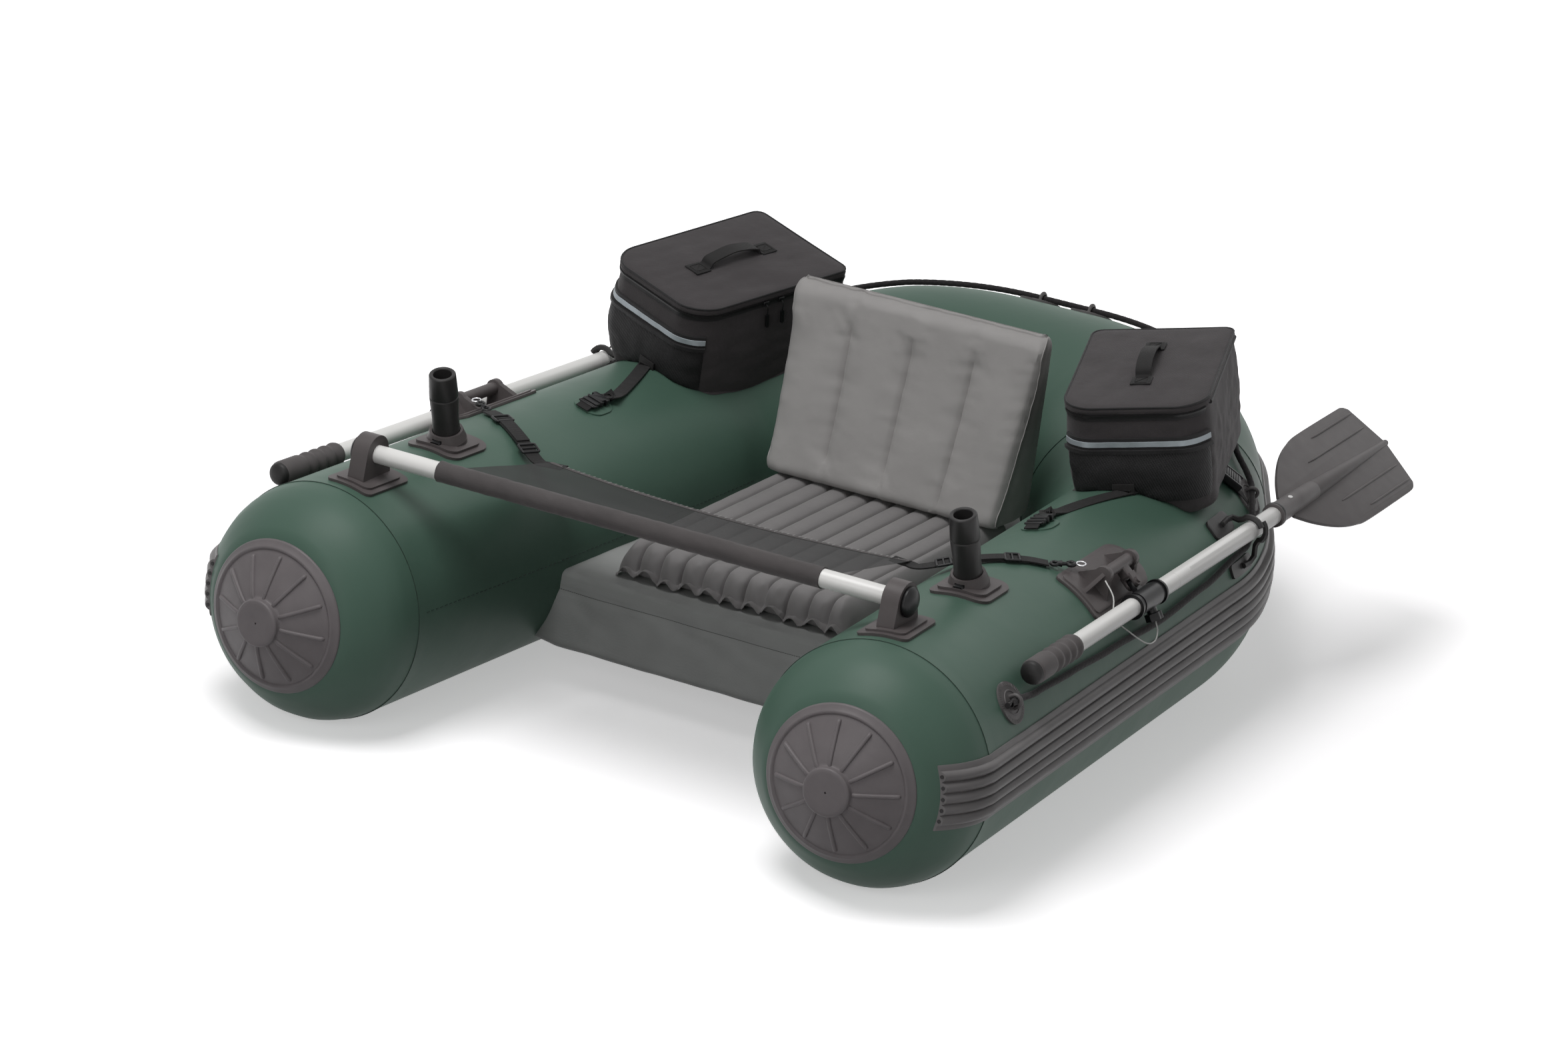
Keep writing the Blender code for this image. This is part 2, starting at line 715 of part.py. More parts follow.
def pad(name, run, degrees, outline, thickness, lift=0.0):
    """A flat outline bent onto the hull's skin: its X runs aft and its Y up round the girth."""
    bm = bmesh.new()
    face = bm.faces.new([bm.verts.new((u, v, 0)) for u, v in outline])
    raised = bmesh.ops.extrude_face_region(bm, geom=[face])["geom"]
    bmesh.ops.translate(bm, verts=[g for g in raised if isinstance(g, bmesh.types.BMVert)],
                        vec=(0, 0, thickness))
    reach = max(abs(v) for _, v in outline)
    for i in range(-int(reach / STRIP), int(reach / STRIP) + 1):
        bmesh.ops.bisect_plane(bm, geom=bm.verts[:] + bm.edges[:] + bm.faces[:],
                               plane_co=(0, i * STRIP, 0), plane_no=(0, 1, 0))
    for station in RUNS:
        if min(u for u, _ in outline) < station - run < max(u for u, _ in outline):
            bmesh.ops.bisect_plane(bm, geom=bm.verts[:] + bm.edges[:] + bm.faces[:],
                                   plane_co=(station - run, 0, 0), plane_no=(1, 0, 0))
    for vert in bm.verts:
        u, v, w = vert.co
        vert.co = skin(run + u, degrees + math.degrees(v / TUBE_R), SKIN_GAP + SKIN_BOW + lift + w)
    return mesh_object(name, bm)


def welded_pad(name, run, degrees, outline, thickness):
    """A pad whose foot is sunk below the skin, for welding to the tube itself."""
    sink = SKIN_BOW * 3
    return pad(name, run, degrees, outline, thickness + sink, -sink - SKIN_GAP)


def hull_tube(name, stations):
    return tube(name, [p for p, _ in stations], TUBE_R, (HULL_SIDES - 4) // 2, [r for _, r in stations])


def mirrored(stations):
    return [(Vector((-p.x, p.y, p.z)), r) for p, r in stations]


def hull_cutter(name, extra=0.0):
    """The whole hull with its clearance, for trimming what lies on it."""
    right = STATIONS
    whole = right + mirrored(right)[-2::-1]
    grown = [(p, (r + SKIN_GAP + extra) / math.cos(FACET)) for p, r in whole]
    return mark_cutter(hull_tube(name, grown))


HULL_CUTTER = hull_cutter("hull_clearance")


def trim_to_hull(obj):
    return boolean(obj, HULL_CUTTER, "DIFFERENCE", keep=True)


# Joint axes as empties, which the moving pieces hang from
def axis_empty(name, matrix, parent=None):
    empty = new_object(name, None)
    empty.empty_display_size = TUBE_R / 4
    empty.matrix_basis = matrix
    if parent:
        empty.parent = parent
        empty.matrix_parent_inverse = parent.matrix_basis.inverted()
    return empty


def hang(obj, parent):
    obj.parent = parent
    obj.matrix_parent_inverse = parent.matrix_basis.inverted()
    return obj


ORIGIN = axis_empty("float_tube_origin", Matrix.Translation((0, -HULL_MIDDLE, 0)))
READY = {}


def finish(obj, look, parent=None, pivot=None):
    """Give a piece its material, smooth shading, origin and parent."""
    if pivot is not None:
        obj.data.transform(Matrix.Translation(-Vector(pivot)))
        obj.location = Vector(obj.location) + Vector(pivot)
    colour, roughness, metallic = COLOURS[look]
    obj.data.materials.clear()
    obj.data.materials.append(material(obj.name, colour, roughness, metallic))
    obj.data.shade_smooth()
    obj.data.set_sharp_from_angle(angle=math.radians(32))
    if parent:
        hang(obj, parent)
    else:
        obj.parent = ORIGIN
    READY[obj.name] = look
    return obj


def mirror_copy(obj, name, parent=None, slide=(0, 0, 0)):
    """The left-hand copy of a right-hand piece."""
    mesh = obj.data.copy()
    place = Vector(obj.location)
    copy = new_object(name, mesh)
    mesh.transform(SIDE_FLIP)
    mesh.flip_normals()
    copy.location = SIDE_FLIP @ place + Vector(slide)
    return finish(copy, READY[obj.name], parent)


def flip_matrix(matrix):
    return SIDE_FLIP @ matrix @ SIDE_FLIP


# Hull: two pontoons with their bends and the stern, standing on flats under the pontoons
def build_hull():
    pontoon = hull_tube("right_pontoon", pontoon_stations)
    ground = block("ground_cut", (PONTOON_X, PONTOON_LENGTH * 2, TUBE_R))
    apply_matrix(ground, Matrix.Translation((PONTOON_X, PONTOON_LENGTH / 2, -TUBE_R / 2)))
    pontoon = cut(pontoon, ground)
    oval = rounded(TAB_PATCH_LENGTH, TAB_PATCH_WIDTH, (TAB_PATCH_WIDTH * 0.45,) * 4, 3)
    pontoon = join(pontoon, welded_pad("tab_patch", TAB_RUN, TAB_DEG, oval, TAB_PATCH_THICK))
    pontoon = finish(pontoon, "hull_green")
    mirror_copy(pontoon, "left_pontoon")
    half = [(p.copy(), r) for p, r in stern_stations]
    aft = (half[1][0] - half[0][0]).normalized()
    half[0] = (half[0][0] + aft * SKIN_GAP, half[0][1])
    stern = hull_tube("stern_tube", half + mirrored(half)[-2::-1])
    base = valve_base()
    copy = apply_matrix(new_object("valve_base_left", base.data.copy()), SIDE_FLIP)
    stern = join(stern, base, copy)
    stern = cut(stern, valve_bore(), apply_matrix(valve_bore(), SIDE_FLIP))
    finish(stern, "hull_green")


# End caps: a flanged cone with radial ribs that run from the hub out to the rim
def build_caps():
    low = 0.0
    rim_top = CAP_RIM_THICK
    face = CAP_DEPTH
    profile = [(0, face - CAP_HUB_DISH), (CAP_HUB_R * 0.75, face),
               (CAP_HUB_R, face - CAP_RIB_DROP / 3), (CAP_HUB_R, face - CAP_HUB_STEP - CAP_RIB_DROP),
               (CAP_WEB_R, rim_top - CAP_RIM_BEAD), (CAP_WEB_R + CAP_RIM_BEAD, rim_top),
               (CAP_RIM_R, rim_top - CAP_RIM_BEAD), (CAP_RIM_R, low), (0, low)]
    cap = turned("right_end_cap", profile, CAP_RIB_COUNT * 2)
    ribs = []
    inner = CAP_HUB_R * 0.9
    foot = face - CAP_HUB_STEP - CAP_RIB_DROP - CAP_RIB_HEIGHT
    top_in = face - CAP_RIB_DROP
    top_out = rim_top + CAP_RIB_HEIGHT * 0.25
    outer = CAP_WEB_R + CAP_RIM_BEAD
    for i in range(CAP_RIB_COUNT):
        outline = [(inner, foot), (outer, low + CAP_RIM_BEAD), (outer, top_out), (inner, top_in)]
        rib = slab("cap_rib", outline, CAP_RIB_THICK)
        turn = Matrix.Rotation(2 * math.pi * i / CAP_RIB_COUNT, 4, "Z") @ Matrix.Rotation(math.pi / 2, 4, "X")
        ribs.append(apply_matrix(rib, turn))
    cap = join(cap, *ribs)
    toward = (STATIONS[0][0] - STATIONS[1][0]).normalized()
    seat = STATIONS[0][0] + toward * SKIN_GAP
    apply_matrix(cap, along(seat, toward, (1, 0, 0)))
    cap = finish(cap, "cap_grey", pivot=seat)
    mirror_copy(cap, "left_end_cap")


# Rub strake: a band of rounded ribs lofted along the outside of the hull
def strake_ring(index):
    centre, radius = STATIONS[index]
    if index == 0:
        centre = STATIONS[0][0].lerp(STATIONS[1][0], 1 - STRAKE_START_SHARE)
        radius = STATIONS[0][1] + (STATIONS[1][1] - STATIONS[0][1]) * (1 - STRAKE_START_SHARE)
    direction = station_direction(index)
    outward = direction.cross(Vector((0, 0, 1))).normalized()
    upward = outward.cross(direction)
    width = math.radians(STRAKE_TOP_DEG - STRAKE_BOTTOM_DEG) * TUBE_R
    middle = math.radians(STRAKE_TOP_DEG + STRAKE_BOTTOM_DEG) / 2
    seat = (radius + SKIN_GAP * 3) / math.cos(FACET)
    points = []
    count = STRAKE_RIBS * 3
    for i in range(count + 1):
        share = i / count
        crest = abs(math.sin(math.pi * share * STRAKE_RIBS))
        rise = STRAKE_VALLEY + (STRAKE_CREST - STRAKE_VALLEY) * crest
        points.append((share - 0.5, seat + rise))
    inner = [(0.5 - i / 3, seat) for i in range(4)]
    ring = []
    for share, reach in points + inner:
        turn = middle + share * width / radius
        ring.append(centre + reach * (math.cos(turn) * outward + math.sin(turn) * upward))
    return ring


def build_strake():
    right = [strake_ring(i) for i in range(len(STATIONS))]
    left = [[Vector((-p.x, p.y, p.z)) for p in ring] for ring in right[-2::-1]]
    finish(loft("rub_strake", right + left), "strake_grey")


# Grab line: a rope along the upper outside of the hull, through the loops of round patches
def between(near, far, share):
    return near + (far - near) * share


ROPE_KNOTS = [(between(FRONT_RING_RUN, KEEPER_RING_RUN, share), degrees)
              for share, degrees in ROPE_FRONT_SHARES]
ROPE_KNOTS += [(between(KEEPER_RING_RUN, STERN_RING_RUN, share), degrees)
               for share, degrees in ROPE_REAR_SHARES]
ROPE_KNOTS.append((RUNS[-1], ROPE_REAR_SHARES[-1][1]))
ROPE_LIFT = SKIN_GAP + SKIN_BOW + PATCH_THICK + SKIN_GAP * 3 + ROPE_R


def rope_angle(run):
    for (near, low), (far, high) in zip(ROPE_KNOTS, ROPE_KNOTS[1:]):
        if run <= far:
            share = (run - near) / (far - near)
            ease = share * share * (3 - 2 * share)
            return low + (high - low) * ease
    return ROPE_KNOTS[-1][1]


def rope_point(run):
    return skin(run, rope_angle(max(run, FRONT_RING_RUN)), ROPE_LIFT)


def build_grab_line():
    start = FRONT_RING_RUN - PATCH_R / 2
    half = ROPE_POINTS // 2
    rings = (FRONT_RING_RUN, KEEPER_RING_RUN, STERN_RING_RUN)
    even = [start + (RUNS[-1] - start) * i / half for i in range(1, half + 1)]
    runs = [run for run in even if min(abs(run - ring) for ring in rings) > PATCH_R]
    runs = sorted(runs + [ring + way * PATCH_R / 2 for ring in rings for way in (-1, 1)])
    right = [rope_point(run) for run in runs]
    left = [Vector((-p.x, p.y, p.z)) for p in right[-2::-1]]
    finish(tube("grab_line", right + left, ROPE_R, 1), "rope_black")
    outline = arc(0, 0, PATCH_R, 0, 360, 14)[:-1]
    for label, run in (("front", FRONT_RING_RUN), ("quarter", KEEPER_RING_RUN), ("stern", STERN_RING_RUN)):
        degrees = rope_angle(run)
        sink = SKIN_BOW / 2 if label == "front" else 0.0
        patch = pad("right_" + label + "_ring", run, degrees, outline, PATCH_THICK, -sink)
        reach = ROPE_R + LOOP_CLEAR + LOOP_WIRE_R
        foot = SKIN_GAP + SKIN_BOW + PATCH_THICK / 2
        rows = [(reach, foot - ROPE_LIFT)] + arc(0, 0, reach, 0, 180, 4) + [(-reach, foot - ROPE_LIFT)]
        near, far = rope_point(run - PATCH_R / 2), rope_point(run + PATCH_R / 2)
        place = frame_matrix(near.lerp(far, 0.5), far - near, skin_normal(run, degrees).cross(far - near))
        loop = tube("loop", [place @ Vector((0, v, w)) for v, w in rows], LOOP_WIRE_R, 1)
        patch = finish(join(patch, loop), "patch_grey")
        mirror_copy(patch, "left_" + label + "_ring")


# Valves on the inner side of the stern: a welded base with a collar, and a screw cap
VALVE_RUN = RUNS[-1] - VALVE_X
VALVE_RISE = VALVE_BASE_THICK + VALVE_COLLAR_RISE


def valve_base():
    outline = arc(0, 0, VALVE_BASE_R, 0, 360, 14)[:-1]
    base = welded_pad("valve_base", VALVE_RUN, VALVE_DEG, outline, VALVE_BASE_THICK)
    place = skin_matrix(VALVE_RUN, VALVE_DEG)
    collar = rod("valve_collar", VALVE_COLLAR_R, VALVE_BASE_THICK / 2, VALVE_RISE, 16)
    return join(base, apply_matrix(collar, place))


def valve_bore():
    bore = rod("valve_bore", VALVE_BORE_R, VALVE_RISE - VALVE_BORE_DEPTH, VALVE_RISE + CUT_OVERRUN, 12)
    return apply_matrix(bore, skin_matrix(VALVE_RUN, VALVE_DEG))


def build_valve_caps():
    place = skin_matrix(VALVE_RUN, VALVE_DEG)
    seat = VALVE_RISE + SKIN_GAP
    top = seat + VALVE_CAP_THICK
    cap = turned("right_valve_cap", [(0, top), (VALVE_CAP_R - VALVE_CAP_LIP, top),
                                     (VALVE_CAP_R, top - VALVE_CAP_LIP), (VALVE_CAP_R, seat), (0, seat)], 16)
    grip = block("grip", (VALVE_GRIP_LENGTH, VALVE_GRIP_WIDTH, VALVE_GRIP_RISE * 2))
    apply_matrix(grip, Matrix.Translation((0, 0, top)))
    cap = join(cap, grip)
    apply_matrix(cap, place)
    pivot = place @ Vector((0, 0, seat))
    axis = axis_empty("right_valve_axis", along(pivot, skin_normal(VALVE_RUN, VALVE_DEG)), None)
    axis.parent = ORIGIN
    cap = finish(cap, "base_plastic", axis, pivot)
    left = axis_empty("left_valve_axis", flip_matrix(axis.matrix_basis), None)
    left.parent = ORIGIN
    mirror_copy(cap, "left_valve_cap", left)


# Seat base: a thick panel held between the pontoons
def build_seat():
    depth = FLOOR_BACK_Y - FLOOR_FRONT_Y
    height = FLOOR_TOP_Z - FLOOR_BOTTOM_Z
    base = block("seat_base", (FLOOR_HALF_WIDTH * 2, depth, height), FLOOR_EDGE, 2)
    for vert in base.data.vertices:
        if vert.co.y < 0:
            vert.co.y -= FLOOR_FRONT_SLOPE * (0.5 - vert.co.z / height)
    apply_matrix(base, Matrix.Translation((0, FLOOR_FRONT_Y + depth / 2, FLOOR_BOTTOM_Z + height / 2)))
    finish(trim_to_hull(base), "floor_grey")
    finish(cushion_shape(), "cushion_grey")
    axis = axis_empty("backrest_axis", Matrix.Translation((0, BACKREST_FRONT_Y, CUSHION_TOP_Z + SKIN_GAP)))
    axis.parent = ORIGIN
    finish(backrest_shape(), "backrest_grey", axis, (0, BACKREST_FRONT_Y, CUSHION_TOP_Z + SKIN_GAP))


def channel(share, count):
    """Height share of a row of rounded channels, one at each crown and zero in each seam."""
    return math.sqrt(abs(math.sin(math.pi * share * count)))


def cushion_shape():
    """Eleven channels side by side, drawn in at both ends, under a flat rear where the backrest stands."""
    rows = ((0.0, 0.30), (0.016, 0.72), (0.045, 0.93), (0.10, 1.0), (0.94, 1.0), (0.975, 0.9), (1.0, 0.4))
    length = CUSHION_BACK_Y - CUSHION_FRONT_Y
    count = CUSHION_CHANNELS * 3
    bottom = FLOOR_TOP_Z + SKIN_GAP
    rings = []
    for share, full in rows:
        ring = []
        for i in range(count + 1):
            across = i / count
            crown = channel(across, CUSHION_CHANNELS)
            side = min(across, 1 - across) * 2
            edge = math.sqrt(min(1.0, side * CUSHION_HALF_WIDTH / CUSHION_EDGE))
            body = CUSHION_HEIGHT - CUSHION_DIP * (1 - crown)
            z = bottom + CUSHION_HEIGHT * 0.35 * full + (body - CUSHION_HEIGHT * 0.35) * full * edge
            ends = {0.0: 1, 0.016: 0.5, 0.045: 0.5, 0.94: -0.5, 0.975: -0.5, 1.0: -1}
            pull = CUSHION_SCALLOP * (1 - crown) * ends.get(share, 0)
            y = CUSHION_FRONT_Y + length * share + pull
            ring.append(Vector(((across - 0.5) * 2 * CUSHION_HALF_WIDTH, y, z)))
        low = [Vector((CUSHION_HALF_WIDTH * (1 - 2 * k / 4), CUSHION_FRONT_Y + length * share, bottom))
               for k in range(5)]
        rings.append(ring + low)
    return loft("seat_cushion", rings)


def backrest_shape():
    """A wedge with four upright channels on its front, thick at the foot and thin at the top."""
    rows = ((0.0, 0.55), (0.03, 0.85), (0.08, 1.0), (0.30, 1.0), (0.65, 1.0), (0.92, 1.0), (0.975, 0.8),
            (1.0, 0.35))
    foot = CUSHION_TOP_Z + SKIN_GAP
    height = BACKREST_TOP_Z - foot
    count = BACKREST_CHANNELS * 4
    rings = []
    for share, full in rows:
        half = BACKREST_BASE_HALF + (BACKREST_TOP_HALF - BACKREST_BASE_HALF) * share
        depth = BACKREST_BASE_DEPTH + (BACKREST_TOP_DEPTH - BACKREST_BASE_DEPTH) * share
        front = BACKREST_FRONT_Y + BACKREST_LEAN * share
        z = foot + height * share
        dip = BACKREST_DIP * math.sqrt(depth / BACKREST_BASE_DEPTH)
        ring = []
        for i in range(count + 1):
            across = i / count
            crown = channel(across, BACKREST_CHANNELS)
            y = front + dip * (1 - crown) + BACKREST_EDGE * (1 - full)
            ring.append(Vector(((across - 0.5) * 2 * half, y, z)))
        back = front + depth - BACKREST_EDGE * (1 - full)
        low = [Vector((half * (1 - 2 * k / 6), back - BACKREST_EDGE * (0.4 if k in (0, 6) else 0), z))
               for k in range(7)]
        rings.append(ring + low)
    return loft("backrest", rings)


# Crossbar in two eyelets, with the hem of the apron round it as a sleeve
def build_crossbar():
    across = Matrix.Translation((0, BAR_Y, BAR_Z)) @ Matrix.Rotation(math.pi / 2, 4, "Y")
    half = EYELET_X + EYELET_THICK / 2
    bar = apply_matrix(rod("crossbar", BAR_R, -half, half, 18), across)
    finish(bar, "white_alloy")
    run = run_at(BAR_Y)
    lean = math.degrees(math.acos((EYELET_X - PONTOON_X + TOE_IN * BAR_Y) / TUBE_R))
    outline = rounded(EYELET_BASE_LENGTH, EYELET_BASE_WIDTH, (EYELET_CORNER,) * 4, 2)
    base = pad("right_bar_eyelet", run, lean, outline, EYELET_BASE_THICK)
    inset = EYELET_STEP_INSET * 2
    step = rounded(EYELET_BASE_LENGTH - inset, EYELET_BASE_WIDTH - inset, (EYELET_CORNER,) * 4, 2)
    base = join(base, pad("step", run, lean, step, EYELET_BASE_THICK + EYELET_STEP_THICK, SKIN_GAP))
    foot = -BAR_RISE - CUT_OVERRUN
    arch = [(EYELET_FOOT_HALF, foot), (EYELET_FOOT_HALF, -BAR_RISE + EYELET_BASE_THICK * 3)]
    arch += arc(0, 0, EYELET_ARCH_R, 0, 180, 8)
    arch += [(-EYELET_FOOT_HALF, -BAR_RISE + EYELET_BASE_THICK * 3), (-EYELET_FOOT_HALF, foot)]
    stand = slab("arch", arch, EYELET_THICK)
    upright = frame_matrix((EYELET_X, BAR_Y, BAR_Z), (0, 1, 0), (0, 0, 1))
    stand = trim_to_hull(apply_matrix(stand, upright))
    eyelet = join(base, stand)
    bore = rod("bore", bore_radius(BAR_R, 18), -EYELET_THICK, EYELET_THICK, 18)
    bore_place = Matrix.Translation((EYELET_X, BAR_Y, BAR_Z)) @ Matrix.Rotation(math.pi / 2, 4, "Y")
    eyelet = finish(cut(eyelet, apply_matrix(bore, bore_place)), "base_plastic")
    mirror_copy(eyelet, "left_bar_eyelet")
    dome = [(0, PLUG_RIM + PLUG_DOME), (PLUG_R * 0.45, PLUG_RIM + PLUG_DOME * 0.86),
            (PLUG_R * 0.8, PLUG_RIM + PLUG_DOME * 0.5), (PLUG_R, PLUG_RIM), (PLUG_R, 0), (0, 0)]
    plug = turned("right_bar_plug", dome, 16)
    bar_end = Matrix.Translation((half + SKIN_GAP, BAR_Y, BAR_Z))
    apply_matrix(plug, bar_end @ Matrix.Rotation(math.pi / 2, 4, "Y"))
    plug = finish(plug, "black_plastic")
    mirror_copy(plug, "left_bar_plug")


# Apron: a panel that hangs a little between the tubes, pulled over them by straps at its rear corners
def build_apron():
    across_bar = Matrix.Translation((0, BAR_Y, BAR_Z)) @ Matrix.Rotation(math.pi / 2, 4, "Y")
    sleeve = apply_matrix(rod("apron", SLEEVE_R, -SLEEVE_HALF, SLEEVE_HALF, 18), across_bar)
    bore = rod("bore", bore_radius(BAR_R, 18), -SLEEVE_HALF * 2, SLEEVE_HALF * 2, 18)
    apply_matrix(bore, across_bar)
    front = BAR_Y + (SLEEVE_R + BAR_R) / 2
    rings = []
    rows = 5
    columns = 8
    for i in range(rows + 1):
        share = i / rows
        y = front + (APRON_BACK_Y - front) * share
        half = SLEEVE_HALF + (APRON_BACK_HALF - SLEEVE_HALF) * share
        level = BAR_Z + (APRON_BACK_Z - BAR_Z) * share
        top = []
        for k in range(columns + 1):
            across = k / columns * 2 - 1
            sag = APRON_SAG * (1 - across * across) * math.sin(math.pi * (0.12 + 0.6 * share))
            top.append(Vector((across * half, y, level - sag)))
        low = [p - Vector((0, 0, APRON_THICK)) for p in reversed(top)]
        rings.append(top + low)
    finish(cut(join(sleeve, loft("panel", rings)), bore), "apron_mesh")
    lift = SKIN_GAP + SKIN_BOW + STRAP_THICK / 2
    flare = (SLEEVE_HALF - APRON_BACK_HALF) * STRAP_WIDTH / (APRON_BACK_Y - BAR_Y)
    near_edge = APRON_BACK_HALF + flare + SKIN_GAP
    sewn_y = APRON_BACK_Y - STRAP_WIDTH * 0.5
    route = [Vector((near_edge, sewn_y, APRON_BACK_Z - APRON_THICK / 2)),
             Vector((APRON_BACK_HALF + STRAP_WIDTH, sewn_y, APRON_BACK_Z))]
    for widths, degrees, layers in STRAP_ROUTE_SHARES:
        route.append(skin(run_at(APRON_BACK_Y + STRAP_WIDTH * widths), degrees, lift + STRAP_THICK * layers))
    hook_at, hook_deg, _ = STRAP_ROUTE_SHARES[-1]
    strap = ribbon("right_apron_strap", smooth_path(route, 14), STRAP_WIDTH, STRAP_THICK)
    strap = finish(strap, "webbing_black")
    mirror_copy(strap, "left_apron_strap")
    tip, near = route[-1], route[-2]
    reach = (tip - near).normalized()
    up = skin_normal(run_at(APRON_BACK_Y + STRAP_WIDTH * hook_at), hook_deg)
    reach = (reach + up * HOOK_TILT_SHARE).normalized()
    lie = frame_matrix(tip + reach * (SKIN_GAP + HOOK_LENGTH / 2 + HOOK_WIRE_R), reach, up.cross(reach))
    long = HOOK_LENGTH / 2 - HOOK_HALF_WIDTH
    loop = ([(long + x, y) for x, y in arc(0, 0, HOOK_HALF_WIDTH, -90, 90, 4)]
            + [(-long + x, y) for x, y in arc(0, 0, HOOK_HALF_WIDTH, 90, 270, 4)])
    hook = tube("right_snap_hook", [lie @ Vector((x, y, 0)) for x, y in loop], HOOK_WIRE_R, 1, closed=True)
    hook = finish(hook, "black_plastic")
    mirror_copy(hook, "left_snap_hook")


def ribbon(name, path, width, thickness, side=None):
    """A flat strap along a path, lying flat towards a side direction or across the path."""
    rings = []
    for i, point in enumerate(path):
        ahead = (path[min(i + 1, len(path) - 1)] - path[max(i - 1, 0)]).normalized()
        across = Vector(side) if side else ahead.cross(Vector((0, 0, 1)))
        across = (across - ahead * across.dot(ahead)).normalized()
        over = across.cross(ahead)
        rings.append([point + across * (width / 2) * a + over * (thickness / 2) * b
                      for a, b in ((-1, -1), (1, -1), (1, 1), (-1, 1))])
    return loft(name, rings)


# Rod holders: a flange, a collar with a socket and a release button, and the holder that turns in it
def build_rod_holders():
    run = run_at(ROD_Y)
    lean = math.degrees(math.acos((ROD_X - PONTOON_X + TOE_IN * ROD_Y) / TUBE_R))
    outline = rounded(ROD_BASE_LENGTH, ROD_BASE_WIDTH, (ROD_CORNER,) * 4, 2)
    flange = pad("right_rod_flange", run, lean, outline, ROD_BASE_THICK)
    inset = ROD_STEP_INSET * 2
    step = rounded(ROD_BASE_LENGTH - inset, ROD_BASE_WIDTH - inset, (ROD_CORNER - ROD_STEP_INSET / 2,) * 4, 2)
    flange = join(flange, pad("step", run, lean, step, ROD_BASE_THICK + ROD_STEP_THICK, SKIN_GAP))
    tilt = math.radians(ROD_LEAN_DEG)
    tilt_in = math.radians(ROD_LEAN_IN_DEG)
    axis = Vector((-math.sin(tilt_in), -math.sin(tilt), math.cos(tilt))).normalized()
    place = along(skin(run, lean), axis, (1, 0, 0))
    collar = rod("collar", COLLAR_FOOT_R, -COLLAR_RISE, COLLAR_RISE * 0.45, 16)
    collar = join(collar, rod("collar_top", COLLAR_FOOT_R, COLLAR_RISE * 0.4, COLLAR_RISE, 16, COLLAR_TOP_R))
    collar = trim_to_hull(apply_matrix(collar, place))
    flange = join(flange, collar)
    socket_floor = COLLAR_RISE - COLLAR_SOCKET_DEPTH
    socket = rod("socket", (ROD_TUBE_R + ROD_RUNNING_GAP) / math.cos(math.pi / 16), socket_floor,
                 COLLAR_RISE + CUT_OVERRUN, 16)
    flange = cut(flange, apply_matrix(socket, place))
    button_seat = COLLAR_FOOT_R * 0.95
    button_z = COLLAR_RISE * 0.66
    recess = block("recess", (BUTTON_LENGTH + SKIN_GAP * 2, BUTTON_PROUD * 2 + BUTTON_STROKE * 2,
                              BUTTON_HEIGHT + SKIN_GAP * 2))
    apply_matrix(recess, Matrix.Translation((0, -button_seat, button_z)))
    flange = cut(flange, apply_matrix(recess, place))
    flange = finish(flange, "base_plastic")
    mirror_copy(flange, "left_rod_flange")
    foot = socket_floor + SKIN_GAP
    top = COLLAR_RISE + ROD_TUBE_RISE
    groove = COLLAR_RISE + ROD_TUBE_RISE * ROD_GROOVE_SHARE
    bore = foot + ROD_BORE_FLOOR
    profile = [(0, bore), (ROD_BORE_R, bore),
               (ROD_BORE_R, top - ROD_GROOVE_DEPTH), (ROD_BORE_R + ROD_GROOVE_DEPTH, top),
               (ROD_LIP_R - ROD_GROOVE_DEPTH, top), (ROD_LIP_R, top - ROD_GROOVE_DEPTH),
               (ROD_UPPER_R, groove + ROD_GROOVE_HALF), (ROD_UPPER_R - ROD_GROOVE_DEPTH, groove),
               (ROD_UPPER_R, groove - ROD_GROOVE_HALF), (ROD_NECK_R, COLLAR_RISE + ROD_TUBE_R),
               (ROD_TUBE_R, COLLAR_RISE + ROD_GROOVE_HALF), (ROD_TUBE_R, foot), (0, foot)]
    holder = apply_matrix(turned("right_rod_holder", profile, 14), place)
    pivot = place @ Vector((0, 0, foot))
    empty = axis_empty("right_rod_axis", place @ Matrix.Translation((0, 0, foot)))
    empty.parent = ORIGIN
    holder = finish(holder, "base_plastic", empty, pivot)
    left = axis_empty("left_rod_axis", flip_matrix(empty.matrix_basis))
    left.parent = ORIGIN
    mirror_copy(holder, "left_rod_holder", left)
    depth = BUTTON_PROUD * 2 + BUTTON_STROKE - BUTTON_TRAVEL_ROOM
    oval = rounded(BUTTON_LENGTH, BUTTON_HEIGHT, (BUTTON_HEIGHT / 2,) * 4, 4)
    button = slab("right_release_button", oval, depth)
    set_in = Matrix.Translation((0, -button_seat - BUTTON_STROKE / 2 + BUTTON_TRAVEL_ROOM, button_z))
    apply_matrix(button, place @ set_in @ Matrix.Rotation(math.pi / 2, 4, "X"))
    spot = place @ Vector((0, -button_seat, button_z))
    button = finish(button, "black_plastic", pivot=spot)
    mirror_copy(button, "left_release_button")


# The oar's line on the right
OAR_DIR = Vector((OAR_TOE_SHARE, 1, OAR_DROP_SHARE)).normalized()


def oar_point(y):
    return Vector((OAR_X + OAR_TOE_SHARE * (y - OAR_Y), y, OAR_Z + OAR_DROP_SHARE * (y - OAR_Y)))


